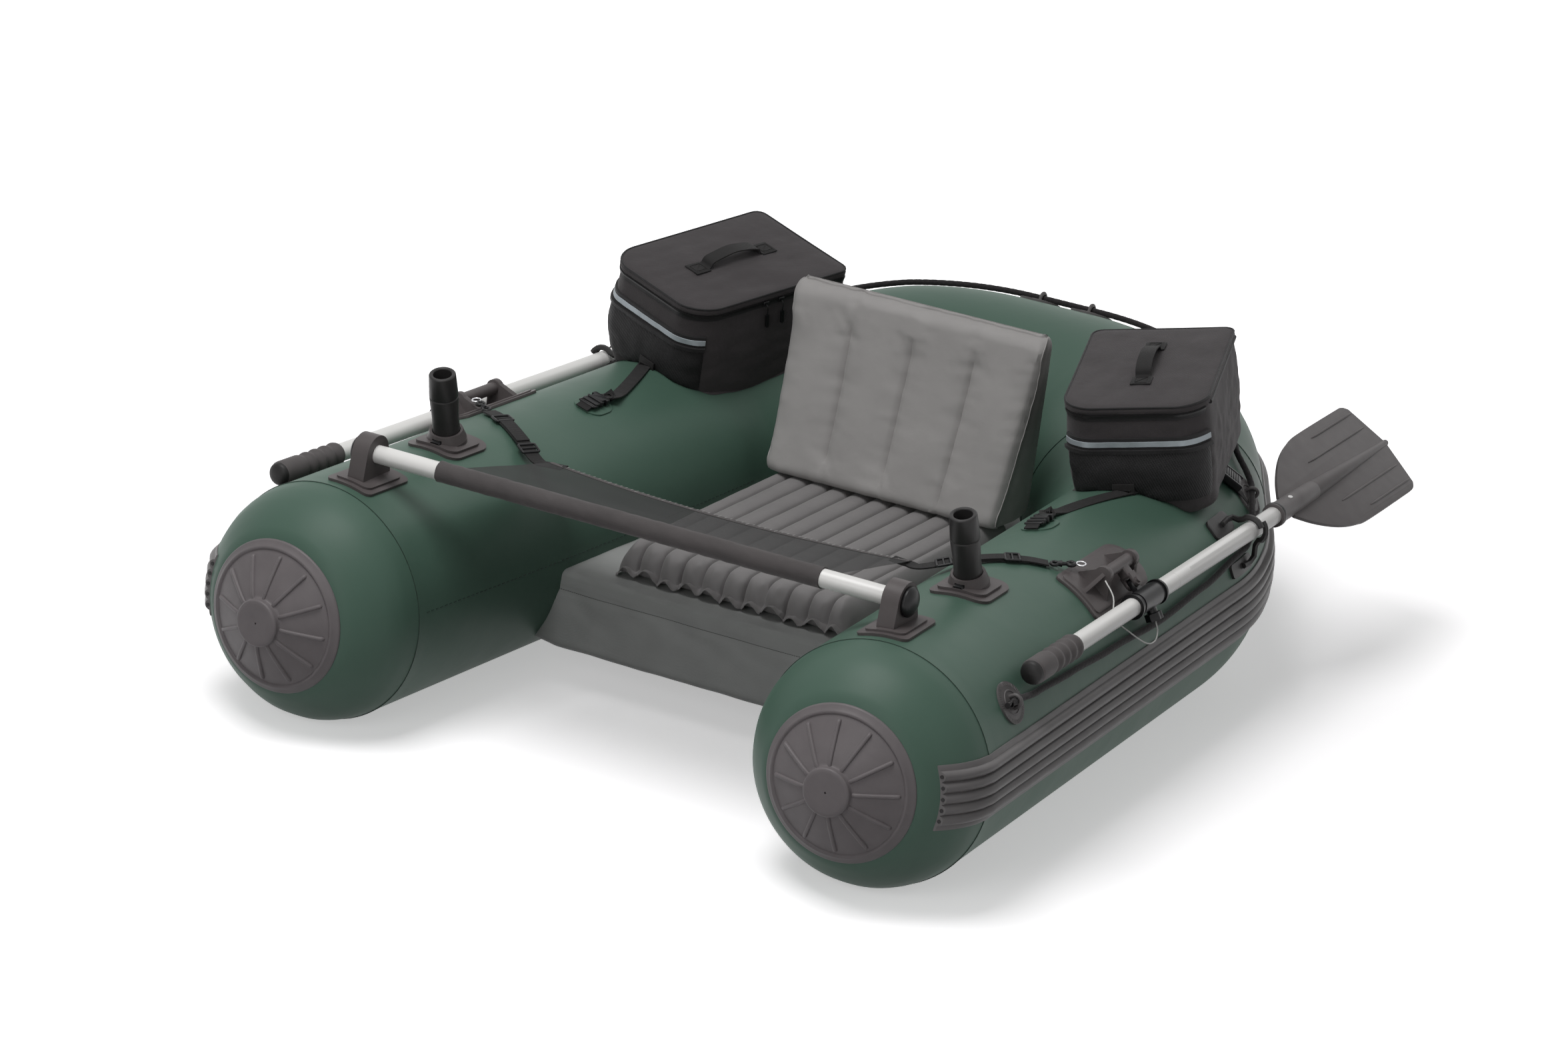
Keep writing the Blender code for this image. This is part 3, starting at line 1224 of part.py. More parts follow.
# Oarlocks: a base with two ears and an axle, a barrel with a fork, a clamp with a tongue, and a knob
def build_oarlocks():
    outline = rounded(LOCK_LENGTH, LOCK_WIDTH,
                      (LOCK_REAR_CORNER, LOCK_FRONT_CORNER, LOCK_FRONT_CORNER, LOCK_REAR_CORNER), 2)
    base = pad("right_oarlock_base", LOCK_RUN, LOCK_DEG, outline, LOCK_BASE_THICK)
    inset = LOCK_RIM * 2
    inner = rounded(LOCK_LENGTH - inset, LOCK_WIDTH - inset,
                    (LOCK_REAR_CORNER - LOCK_RIM, LOCK_FRONT_CORNER, LOCK_FRONT_CORNER,
                     LOCK_REAR_CORNER - LOCK_RIM), 2)
    base = join(base, pad("step", LOCK_RUN, LOCK_DEG, inner, LOCK_BASE_THICK + LOCK_RIM_RISE, SKIN_GAP))
    ground = skin_matrix(BARREL_RUN, LOCK_DEG)
    ear_at = BARREL_HALF + SKIN_GAP + EAR_THICK / 2
    sunk = -CUT_OVERRUN
    ear_outline = ([(EAR_FOOT_HALF, sunk), (EAR_FOOT_HALF, LOCK_BASE_THICK + LOCK_RIM_RISE)]
                   + arc(0, BARREL_RISE, EAR_TOP_R, 0, 180, 6)
                   + [(-EAR_FOOT_HALF, LOCK_BASE_THICK + LOCK_RIM_RISE), (-EAR_FOOT_HALF, sunk)])
    stand = ground @ frame_matrix((0, 0, 0), (0, 1, 0), (0, 0, 1))
    ears = []
    for way in (-1, 1):
        ear = slab("ear", ear_outline, EAR_THICK)
        ears.append(apply_matrix(ear, stand @ Matrix.Translation((0, 0, way * ear_at))))
        gusset = slab("gusset", [(0, sunk), (EAR_GUSSET_LENGTH, sunk),
                                 (EAR_GUSSET_LENGTH, LOCK_BASE_THICK + LOCK_RIM_RISE / 2),
                                 (0, BARREL_RISE + EAR_TOP_R * 0.4)], EAR_GUSSET_THICK)
        upright = frame_matrix((way * (ear_at + EAR_THICK / 4), 0, 0), (way, 0, 0), (0, 0, 1))
        ears.append(apply_matrix(gusset, ground @ upright))
    support = trim_to_hull(join(ears[0], *ears[1:]))
    base = join(base, support)
    axle = rod("axle", AXLE_R, -ear_at, ear_at, 10)
    barrel_line = ground @ Matrix.Translation((0, 0, BARREL_RISE)) @ Matrix.Rotation(math.pi / 2, 4, "Y")
    base = finish(join(base, apply_matrix(axle, barrel_line)), "base_plastic")
    mirror_copy(base, "left_oarlock_base")

    centre = barrel_line @ Vector((0, 0, 0))
    _, _, barrel_dir, _, _ = hull_section(BARREL_RUN)
    clamp = oar_point(CLAMP_RUN)
    arm = clamp - centre
    arm = arm - barrel_dir * arm.dot(barrel_dir)
    arm_length = arm.length
    arm_dir = arm.normalized()
    pin_dir = barrel_dir.cross(arm_dir).normalized()
    stub_root = centre + barrel_dir * (clamp - centre).dot(barrel_dir)

    barrel = rod("right_oarlock_pivot", BARREL_R, -BARREL_HALF, BARREL_HALF, 14)
    barrel = apply_matrix(barrel, barrel_line)
    fork_frame = frame_matrix(stub_root, arm_dir, barrel_dir)
    stub_start = BARREL_R * 0.4
    stub_end = FORK_REACH - FORK_R * 1.2
    stub = block("stub", (stub_end - stub_start, STUB_WIDTH, STUB_DEPTH), STUB_DEPTH / 8, 1)
    apply_matrix(stub, fork_frame @ Matrix.Translation(((stub_end + stub_start) / 2, 0, 0)))
    head_half = FORK_GAP / 2 + FORK_TINE
    heel = -FORK_R * 1.75
    head = slab("head", [(heel, -FORK_R)] + arc(0, 0, FORK_R, -90, 90, 5) + [(heel, FORK_R)], head_half * 2)
    apply_matrix(head, fork_frame @ Matrix.Translation((FORK_REACH, 0, 0)))
    pivot_body = join(barrel, stub, head)
    slot = block("slot", ((FORK_R + SKIN_GAP) * 2 + CUT_OVERRUN, FORK_R * 4, FORK_GAP))
    apply_matrix(slot, fork_frame @ Matrix.Translation((FORK_REACH + CUT_OVERRUN / 2, 0, 0)))
    pin_line = fork_frame @ Matrix.Translation((FORK_REACH, 0, 0))
    pivot_body = cut(pivot_body, slot)
    axle_bore = rod("axle_bore", AXLE_R + AXLE_GAP, -ear_at, ear_at, 10)
    pivot_body = cut(pivot_body, apply_matrix(axle_bore, barrel_line))
    lift = axis_empty("right_lift_axis", along(centre, barrel_dir, arm_dir))
    lift.parent = ORIGIN
    left_lift = axis_empty("left_lift_axis", flip_matrix(lift.matrix_basis))
    left_lift.parent = ORIGIN
    pin = turned("pin", [(0, head_half + PIN_HEAD_RISE), (PIN_HEAD_R, head_half + PIN_HEAD_RISE),
                         (PIN_HEAD_R, head_half - PIN_HEAD_RISE / 2), (PIN_R, head_half - PIN_HEAD_RISE / 2),
                         (PIN_R, -head_half - PIN_HEAD_RISE / 2), (0, -head_half - PIN_HEAD_RISE / 2)], 10)
    pivot_body = join(pivot_body, apply_matrix(pin, pin_line))
    pivot_body = finish(pivot_body, "base_plastic", lift, centre)
    mirror_copy(pivot_body, "left_oarlock_pivot", left_lift)

    sweep = axis_empty("right_sweep_axis", along(pin_line.translation, pin_dir, arm_dir), lift)
    left_sweep = axis_empty("left_sweep_axis", flip_matrix(sweep.matrix_basis), left_lift)
    ring_place = along(clamp, OAR_DIR, arm_dir)
    low, high = -CLAMP_HALF, CLAMP_HALF
    band = CLAMP_R + CLAMP_BAND_RISE
    grasp_r = bore_radius(SHAFT_R, CLAMP_SIDES)
    profile = [(grasp_r, low), (grasp_r, high), (CLAMP_FLANGE_R, high),
               (CLAMP_FLANGE_R, high - CLAMP_FLANGE), (CLAMP_R, high - CLAMP_FLANGE),
               (CLAMP_R, high - CLAMP_FLANGE - CLAMP_BAND), (band, high - CLAMP_FLANGE - CLAMP_BAND),
               (band, low + CLAMP_FLANGE + CLAMP_BAND), (CLAMP_R, low + CLAMP_FLANGE + CLAMP_BAND),
               (CLAMP_R, low + CLAMP_FLANGE), (CLAMP_FLANGE_R, low + CLAMP_FLANGE), (CLAMP_FLANGE_R, low),
               (grasp_r, low)]
    ring = apply_matrix(turned("right_oar_clamp", profile, CLAMP_SIDES), ring_place)
    to_ring = arm_length - FORK_REACH
    tongue_reach = to_ring - (SHAFT_R + CLAMP_R) / 2
    tongue = slab("tongue", [(tongue_reach, -FORK_R)] + [(tongue_reach, FORK_R)]
                  + arc(0, 0, FORK_R - SKIN_GAP * 2, 90, 270, 5), CLAMP_TONGUE)
    ring = join(ring, apply_matrix(tongue, pin_line))
    knob_turn = math.radians(KNOB_DEG)
    knob_dir = Vector((math.cos(knob_turn), 0, math.sin(knob_turn)))
    knob_dir = (knob_dir - OAR_DIR * knob_dir.dot(OAR_DIR)).normalized()
    knob_place = along(clamp + OAR_DIR * KNOB_BACK, knob_dir, OAR_DIR)
    boss = apply_matrix(rod("boss", KNOB_BOSS_R, (SHAFT_R + CLAMP_R) / 2, KNOB_BOSS_RISE, 12), knob_place)
    ring = join(ring, boss)
    pin_bore = rod("pin_bore", bore_radius(PIN_R, 10), -head_half * 2, head_half * 2, 10)
    ring = cut(ring, apply_matrix(pin_bore, pin_line))
    ring = finish(ring, "black_plastic", sweep, pin_line.translation)
    mirror_copy(ring, "left_oar_clamp", left_sweep)
    seat = KNOB_BOSS_RISE + SKIN_GAP
    turns = KNOB_LOBES * 5
    lobes = []
    for i in range(turns):
        reach = KNOB_R - KNOB_LOBE_DEPTH * (0.5 - 0.5 * math.cos(2 * math.pi * i * KNOB_LOBES / turns))
        lobes.append((reach * math.cos(2 * math.pi * i / turns), reach * math.sin(2 * math.pi * i / turns)))
    knob = slab("right_clamp_knob", lobes, KNOB_THICK)
    apply_matrix(knob, knob_place @ Matrix.Translation((0, 0, seat + KNOB_THICK / 2)))
    knob_pivot = knob_place @ Vector((0, 0, seat))
    knob_axis = axis_empty("right_knob_axis", along(knob_pivot, knob_dir, OAR_DIR), sweep)
    left_knob_axis = axis_empty("left_knob_axis", flip_matrix(knob_axis.matrix_basis), left_sweep)
    knob = finish(knob, "black_plastic", knob_axis, knob_pivot)
    mirror_copy(knob, "left_clamp_knob", left_knob_axis)
    build_leash(ground, ear_at, knob_place, seat + KNOB_THICK)
    build_oars(sweep, left_sweep)


def build_leash(ground, ear_at, knob_place, knob_top):
    """A thin cord from the front ear, behind the shaft and up to the middle of the knob."""
    before_ear = -ear_at - EAR_THICK / 2 - LEASH_R - SKIN_GAP
    start = ground @ Vector((before_ear, -EAR_TOP_R * 0.6, BARREL_RISE * 0.95))
    shaft = oar_point(CLAMP_RUN - CLAMP_HALF * 1.7)
    hull_side = hull_section(run_at(shaft.y))[0]
    away = (Vector((shaft.x, 0, shaft.z)) - Vector((hull_side.x, 0, hull_side.z))).normalized()
    behind = shaft - away * (SHAFT_R + LEASH_R * 3)
    under = shaft + Vector((SHAFT_R * 0.6, SHAFT_R, -SHAFT_R * 2.3))
    end = knob_place @ Vector((0, 0, knob_top + SKIN_GAP + LEASH_R))
    low = end + Vector((SHAFT_R * 0.5, -SHAFT_R * 1.6, -SHAFT_R * 1.5))
    turn = end + Vector((SHAFT_R * 0.4, -SHAFT_R * 0.1, -SHAFT_R * 0.9))
    route = [start, start.lerp(behind, 0.5) + away * SHAFT_R * 0.5, behind, under,
             under.lerp(low, 0.6) + Vector((0, 0, -SHAFT_R * 0.6)), low, turn, end]
    leash = tube("right_knob_leash", smooth_path(route, 18), LEASH_R, 0)
    leash = finish(leash, "leash_white")
    mirror_copy(leash, "left_knob_leash")


# Oars: a shaft in two lengths with a joint line, a waved grip and a ribbed blade on a socket
def build_oars(sweep, left_sweep):
    slide = Vector((-OAR_DIR.x, OAR_DIR.y, OAR_DIR.z)) * -OAR_SLIDE

    def station(y):
        return (oar_point(y) - oar_point(GRIP_END_Y)).length

    grip_end = station(GRIP_SHAFT_Y)
    socket = station(SOCKET_Y)
    joint = station(JOINT_Y)
    tip = station(BLADE_TIP_Y)
    place = along(oar_point(GRIP_END_Y), OAR_DIR, (1, 0, 0))
    shaft_end = socket + SOCKET_GRASP
    neck = SHAFT_R - JOINT_GROOVE
    shaft = turned("right_oar_shaft", [(0, shaft_end), (SHAFT_R, shaft_end), (SHAFT_R, joint + JOINT_GROOVE),
                                       (neck, joint + JOINT_GROOVE), (neck, joint), (SHAFT_R, joint),
                                       (SHAFT_R, grip_end * 0.5), (0, grip_end * 0.5)], 16)
    snap = apply_matrix(rod("snap", SNAP_R, 0, SHAFT_R + SNAP_RISE, 8),
                        along((0, 0, station(SNAP_Y)), (0.8, 0, 0.6), (0, 0, 1)))
    turn = Matrix.Rotation(math.radians(-50), 4, "Z")
    apply_matrix(snap, turn)
    shaft = join(shaft, snap)
    pivot = sweep.matrix_basis.translation
    shaft = finish(apply_matrix(shaft, place), "white_alloy", sweep, pivot)
    mirror_copy(shaft, "left_oar_shaft", left_sweep, slide)

    grasp_r = bore_radius(SHAFT_R, GRIP_SIDES)
    profile = [(grasp_r, grip_end * 0.5 - SKIN_GAP), (grasp_r, grip_end), (GRIP_R * 0.93, grip_end)]
    steps = GRIP_WAVES * 3
    wave_span = grip_end * 0.62
    for i in range(steps + 1):
        at = grip_end - grip_end * 0.04 - wave_span * i / steps
        dip = GRIP_WAVE_DEPTH * (0.5 - 0.5 * math.cos(2 * math.pi * GRIP_WAVES * i / steps))
        profile.append((GRIP_R - dip, at))
    profile += [(GRIP_R, grip_end * 0.2), (GRIP_R, grip_end * 0.06), (GRIP_END_R, grip_end * 0.02),
                (GRIP_END_R * 0.6, -GRIP_DOME * 0.6), (0, -GRIP_DOME), (0, grip_end * 0.5 - SKIN_GAP),
                (grasp_r, grip_end * 0.5 - SKIN_GAP)]
    grip = apply_matrix(turned("right_oar_grip", profile, GRIP_SIDES), place)
    grip = finish(grip, "grip_foam", sweep, pivot)
    mirror_copy(grip, "left_oar_grip", left_sweep, slide)

    roll = math.radians(BLADE_ROLL_DEG)
    across = Vector((math.cos(roll), 0, -math.sin(roll)))
    blade_frame = frame_matrix(oar_point(BLADE_TIP_Y), -OAR_DIR, across)
    upper = [(BLADE_LENGTH * s, BLADE_HALF_WIDTH * w) for s, w in BLADE_SHARES]
    outline = upper + [(x, -y) for x, y in reversed(upper)]
    blade = slab("right_oar_blade", outline, BLADE_THICK)
    for side in (-1, 1):
        for offset, start, end in BLADE_RIB_SHARES:
            length = BLADE_LENGTH * (end - start)
            rib = block("rib", (length, BLADE_RIB_WIDTH, BLADE_THICK + BLADE_RIB_RISE * 2))
            middle = Vector((BLADE_LENGTH * (end + start) / 2, side * BLADE_HALF_WIDTH * offset, 0))
            apply_matrix(rib, Matrix.Translation(middle))
            blade = join(blade, rib)
    spine_length = tip - socket - SOCKET_LENGTH
    spine = rod("spine", SPINE_FOOT_R, 0, spine_length + SPINE_NUB, 8, SPINE_TIP_R)
    to_tip = Matrix.Rotation(-math.pi / 2, 4, "Y")
    apply_matrix(spine, Matrix.Translation((spine_length, 0, 0)) @ to_tip)
    blade = join(blade, spine)
    barrel = rod("barrel", SOCKET_R, 0, SOCKET_LENGTH, 16)
    foot = Matrix.Translation((spine_length - SKIN_GAP, 0, 0))
    apply_matrix(barrel, foot @ Matrix.Rotation(math.pi / 2, 4, "Y"))
    blade = join(blade, barrel)
    grasp = rod("grasp", bore_radius(SHAFT_R, 16), 0, SOCKET_GRASP + SKIN_GAP + CUT_OVERRUN, 16)
    apply_matrix(grasp, Matrix.Translation((tip - socket + CUT_OVERRUN, 0, 0)) @ to_tip)
    blade = cut(blade, grasp)
    blade = finish(apply_matrix(blade, blade_frame), "blade_plastic", sweep, pivot)
    mirror_copy(blade, "left_oar_blade", left_sweep, slide)


# Oar keepers: two rubber arms on pads that hook round the shaft
def build_keepers():
    hook_y = hull_section(KEEPER_RUN)[0].y + KEEPER_ROOT_SPREAD
    shaft = oar_point(hook_y)
    reach = SHAFT_R + KEEPER_ARM_CLEAR + KEEPER_ARM_R
    hull_centre = hull_section(KEEPER_RUN + KEEPER_ROOT_SPREAD)[0]
    away = math.degrees(math.atan2(shaft.z - hull_centre.z, shaft.x - hull_centre.x))
    for label, degrees, width, way in (("upper", KEEPER_UPPER_DEG, KEEPER_UPPER_WIDTH, 1),
                                       ("lower", KEEPER_LOWER_DEG, KEEPER_LOWER_WIDTH, -1)):
        outline = rounded(KEEPER_PAD_LENGTH, width, (width * 0.3,) * 4, 2)
        name = "right_" + label + "_keeper"
        base = pad(name, KEEPER_RUN, degrees, outline, KEEPER_PAD_THICK, -SKIN_BOW / 2)
        root = skin(KEEPER_RUN, degrees, KEEPER_PAD_THICK + KEEPER_ARM_R * 0.6)
        mid = skin(KEEPER_RUN + KEEPER_ROOT_SPREAD * 0.5, degrees, KEEPER_PAD_THICK + KEEPER_ARM_R * 1.6)
        hook = []
        for turn in (105, 75, 45, 15, -10):
            a = math.radians(away + way * turn)
            hook.append(shaft + Vector((reach * math.cos(a), -way * KEEPER_ARM_R * 1.3, reach * math.sin(a))))
        arm = tube("arm", smooth_path([root, mid] + hook, 11), KEEPER_ARM_R, 1)
        keeper = finish(join(base, arm), "base_plastic")
        mirror_copy(keeper, "left_" + label + "_keeper")


# Side bags: a body that saddles the tube, a lid hinged along the outer edge and a webbing handle
def bag_outline(grow, bow=1.0):
    """The bag's plan outline: rounded front corners and a bowed front edge."""
    points = rounded(BAG_LENGTH + grow * 2, BAG_WIDTH + grow * 2,
                     (BAG_CORNER * 0.35, BAG_CORNER + grow, BAG_CORNER + grow, BAG_CORNER * 0.35), 3)
    half = BAG_WIDTH / 2 + grow
    shaped = []
    for u, v in points:
        push = BAG_BOW * bow * (1 - (v / half) ** 2) if u < 0 else 0.0
        shaped.append((v, u - push))
    return shaped[::-1]


def build_bags():
    yaw, pitch, lean = (math.radians(a) for a in (BAG_YAW_DEG, BAG_PITCH_DEG, -BAG_LEAN_DEG))
    turn = Matrix.Rotation(yaw, 4, "Z") @ Matrix.Rotation(pitch, 4, "X") @ Matrix.Rotation(lean, 4, "Y")
    place = Matrix.Translation((BAG_X, BAG_Y, BAG_TOP_Z)) @ turn
    top = -BAG_LID_THICK - SKIN_GAP
    bottom = top - BAG_HEIGHT
    rings = []
    for z, taper in ((bottom, BAG_TAPER), (bottom + BAG_TAPER, BAG_TAPER * 0.4), (top, BAG_WALL / 3)):
        rings.append([Vector((x, y, z)) for x, y in bag_outline(-taper)])
    body = apply_matrix(loft("right_bag_body", rings), place)
    body = trim_to_hull(body)
    crown_room = []
    floor_z = bottom + BAG_FLOOR + TUBE_R * 0.12
    for z in (floor_z, top + CUT_OVERRUN):
        crown_room.append([Vector((x, y, z)) for x, y in bag_outline(-BAG_TAPER - BAG_WALL)])
    room = apply_matrix(loft("room", crown_room), place)
    body = finish(cut(body, room), "bag_fabric")
    mirror_copy(body, "left_bag_body")
    lid_rings = []
    for z, shrink in ((-BAG_LID_THICK, 0.0), (-BAG_LID_DIP, 0.0), (0, BAG_LID_DIP * 3)):
        lid_rings.append([Vector((x, y, z)) for x, y in bag_outline(-shrink)])
    lid = apply_matrix(loft("right_bag_lid", lid_rings), place)
    hinge = place @ Vector((BAG_WIDTH / 2, 0, -BAG_LID_THICK))
    lid_axis = axis_empty("right_lid_axis", along(hinge, place.to_3x3() @ Vector((0, 1, 0)), (1, 0, 0)))
    lid_axis.parent = ORIGIN
    left_axis = axis_empty("left_lid_axis", flip_matrix(lid_axis.matrix_basis))
    left_axis.parent = ORIGIN
    half = HANDLE_LENGTH / 2
    lift = HANDLE_THICK * 0.3
    shoulder = half - HANDLE_FOOT * 1.4
    raised = lift + HANDLE_RISE * 0.6
    route = [(-half, lift), (-half + HANDLE_FOOT, lift), (-shoulder, raised), (0, lift + HANDLE_RISE),
             (shoulder, raised), (half - HANDLE_FOOT, lift), (half, lift)]
    path = [Vector((0, y, max(z, lift))) for _, y, z in smooth_path([(0, y, z) for y, z in route], 19)]
    handle = apply_matrix(ribbon("handle", path, HANDLE_WIDTH, HANDLE_THICK, (1, 0, 0)), place)
    lid = finish(join(lid, handle), "bag_fabric", lid_axis, hinge)
    mirror_copy(lid, "left_bag_lid", left_axis)


# Side-release buckles on the patches in front of the bags
def build_bag_buckles():
    lift = SKIN_BOW + TAB_PATCH_THICK + SKIN_GAP
    size = (TAB_BUCKLE_LENGTH, TAB_BUCKLE_WIDTH, TAB_BUCKLE_THICK)
    buckle = block("right_bag_buckle", size, TAB_BUCKLE_EDGE)
    apply_matrix(buckle, skin_matrix(TAB_RUN, TAB_DEG, lift + TAB_BUCKLE_THICK / 2))
    buckle = finish(buckle, "black_plastic")
    mirror_copy(buckle, "left_bag_buckle")


build_hull()
build_caps()
build_strake()
build_grab_line()
build_valve_caps()
build_seat()
build_crossbar()
build_apron()
build_rod_holders()
build_oarlocks()
build_keepers()
build_bags()
build_bag_buckles()
bpy.data.objects.remove(HULL_CUTTER, do_unlink=True)
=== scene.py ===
"""Looks of the float tube: finishes, coated fabric, soft goods, cords, light and camera.

Sizes repeat the driving dimensions of the solids. Everything is laid out in the hull's frame, with Y zero at
the seam between nose and tube, and SHIFT then moves each piece into the row frame.
"""
import json
import math

import bmesh
import bpy
from mathutils import Matrix, Vector, noise

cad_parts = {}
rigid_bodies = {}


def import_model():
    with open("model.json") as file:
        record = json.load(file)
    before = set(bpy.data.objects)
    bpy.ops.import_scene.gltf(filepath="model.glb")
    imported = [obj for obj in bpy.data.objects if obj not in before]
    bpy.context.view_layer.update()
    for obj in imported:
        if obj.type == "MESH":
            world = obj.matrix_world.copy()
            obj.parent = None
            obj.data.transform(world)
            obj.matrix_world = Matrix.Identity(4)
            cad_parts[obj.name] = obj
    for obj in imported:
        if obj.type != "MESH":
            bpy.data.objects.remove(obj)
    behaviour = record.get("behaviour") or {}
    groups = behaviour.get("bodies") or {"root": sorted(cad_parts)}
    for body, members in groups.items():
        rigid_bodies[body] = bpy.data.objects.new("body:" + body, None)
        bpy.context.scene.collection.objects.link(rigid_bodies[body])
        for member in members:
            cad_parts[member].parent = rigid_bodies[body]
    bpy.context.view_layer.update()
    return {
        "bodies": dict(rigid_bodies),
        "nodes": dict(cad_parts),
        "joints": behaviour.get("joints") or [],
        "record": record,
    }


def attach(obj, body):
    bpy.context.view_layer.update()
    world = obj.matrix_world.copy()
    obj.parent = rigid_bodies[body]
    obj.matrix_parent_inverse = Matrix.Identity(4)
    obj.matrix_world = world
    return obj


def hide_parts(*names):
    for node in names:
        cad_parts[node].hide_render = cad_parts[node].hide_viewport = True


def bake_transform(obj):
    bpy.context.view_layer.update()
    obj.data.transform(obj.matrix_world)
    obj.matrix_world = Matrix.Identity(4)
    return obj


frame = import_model()
BODY = {node: body for body, nodes in frame["record"]["behaviour"]["bodies"].items() for node in nodes}


# Clearances shared by every piece
SKIN_GAP = 0.0003
CUT_OVERRUN = 0.02
WELD_DISTANCE = 0.00001

# Hull tubes
TUBE_R = 0.1805
STERN_R = 0.207
HULL_SIDES = 28
PONTOON_X = 0.472
PONTOON_LENGTH = 0.991
BEND_X = 0.416
STERN_X = 0.188
STERN_Y = 1.3385
STERN_RISE = 0.0515
FIRST_BEND_CUT = 0.10
STERN_BEND_CUT = 0.13
NOSE_LENGTH = 0.1055
NOSE_R = 0.119
NOSE_RISE = 0.003
FLAT_DEPTH = 0.0015
NOSE_SHARES = ((0.0, 0.0), (0.22, 0.42), (0.47, 0.74), (0.73, 0.93), (1.0, 1.0))

# Ribbed end caps
CAP_RIM_R = 0.1165
CAP_WEB_R = 0.105
CAP_HUB_R = 0.036
CAP_RIM_THICK = 0.008
CAP_RIM_BEAD = 0.0035
CAP_DEPTH = 0.052
CAP_RIB_COUNT = 12
CAP_RIB_THICK = 0.0055
CAP_RIB_DROP = 0.007
CAP_HUB_STEP = 0.006
CAP_HUB_DISH = 0.003

# Rub strake
STRAKE_TOP_DEG = 18.0
STRAKE_BOTTOM_DEG = -13.0
STRAKE_RIBS = 5
STRAKE_CREST = 0.0095
STRAKE_VALLEY = 0.0055
STRAKE_START_SHARE = 0.8

# Grab line and its ring patches
ROPE_R = 0.0042
PATCH_R = 0.0315
PATCH_THICK = 0.0025
LOOP_WIRE_R = 0.003
LOOP_CLEAR = 0.0014
FRONT_RING_RUN = 0.105
KEEPER_RING_RUN = 1.045
STERN_RING_RUN = 1.53

# Valves on the stern's inner side
VALVE_X = 0.055
VALVE_DEG = 163.0
VALVE_BASE_R = 0.03
VALVE_BASE_THICK = 0.004
VALVE_COLLAR_R = 0.019
VALVE_COLLAR_RISE = 0.007
VALVE_CAP_R = 0.0215
VALVE_CAP_THICK = 0.009
VALVE_CAP_LIP = 0.003
VALVE_GRIP_LENGTH = 0.03
VALVE_GRIP_WIDTH = 0.005
VALVE_GRIP_RISE = 0.004

# Seat base, cushion and backrest
FLOOR_TOP_Z = 0.185
FLOOR_BOTTOM_Z = 0.062
FLOOR_FRONT_Y = 0.347
FLOOR_FRONT_SLOPE = 0.0145
FLOOR_BACK_Y = 1.10
FLOOR_HALF_WIDTH = 0.312
FLOOR_EDGE = 0.012
CUSHION_HALF_WIDTH = 0.204
CUSHION_FRONT_Y = 0.38
CUSHION_BACK_Y = 0.931
CUSHION_HEIGHT = 0.0522
CUSHION_EDGE = 0.02
CUSHION_CHANNELS = 11
CUSHION_DIP = 0.007
CUSHION_SCALLOP = 0.012
BACKREST_FRONT_Y = 0.8265
BACKREST_LEAN = 0.0855
BACKREST_TOP_Z = 0.537
BACKREST_BASE_HALF = 0.204
BACKREST_TOP_HALF = 0.223
BACKREST_BASE_DEPTH = 0.1425
BACKREST_TOP_DEPTH = 0.038
BACKREST_CHANNELS = 4
BACKREST_DIP = 0.013
BACKREST_EDGE = 0.014

# Crossbar, its eyelets and plugs
BAR_Y = 0.0713
BAR_RISE = 0.040
BAR_R = 0.0138
SLEEVE_R = 0.0158
SLEEVE_HALF = 0.325
EYELET_X = 0.449
EYELET_THICK = 0.028
EYELET_ARCH_R = 0.0285
EYELET_FOOT_HALF = 0.035
EYELET_BASE_LENGTH = 0.105
EYELET_BASE_WIDTH = 0.080
EYELET_STEP_INSET = 0.009
EYELET_BASE_THICK = 0.003
EYELET_STEP_THICK = 0.003
EYELET_CORNER = 0.012
PLUG_R = 0.0225
PLUG_RIM = 0.005
PLUG_DOME = 0.008

# Apron between the tubes, with the straps that pull it over them
APRON_BACK_Y = 0.368
APRON_BACK_HALF = 0.3107
APRON_BACK_Z = 0.342
APRON_SAG = 0.012
APRON_THICK = 0.0026
STRAP_WIDTH = 0.022
STRAP_THICK = 0.0022
HOOK_WIRE_R = 0.0032
HOOK_HALF_WIDTH = 0.0085
HOOK_LENGTH = 0.046
HOOK_TILT_SHARE = 0.16

# Rod holders
ROD_X = 0.450
ROD_Y = 0.285
ROD_LEAN_DEG = 16.0
ROD_LEAN_IN_DEG = 2.0
ROD_BASE_LENGTH = 0.099
ROD_BASE_WIDTH = 0.095
ROD_BASE_THICK = 0.003
ROD_STEP_INSET = 0.010
ROD_STEP_THICK = 0.004
ROD_CORNER = 0.022
COLLAR_FOOT_R = 0.0305
COLLAR_TOP_R = 0.0255
COLLAR_RISE = 0.026
COLLAR_SOCKET_DEPTH = 0.008
ROD_TUBE_R = 0.021
ROD_NECK_R = 0.0203
ROD_UPPER_R = 0.0222
ROD_LIP_R = 0.0205
ROD_BORE_R = 0.014
ROD_TUBE_RISE = 0.0995
ROD_GROOVE_SHARE = 0.60
ROD_GROOVE_HALF = 0.0012
ROD_GROOVE_DEPTH = 0.0016
ROD_BORE_FLOOR = 0.006
ROD_RUNNING_GAP = 0.0004
BUTTON_LENGTH = 0.016
BUTTON_HEIGHT = 0.0075
BUTTON_PROUD = 0.003
BUTTON_STROKE = 0.002
BUTTON_TRAVEL_ROOM = 0.0005

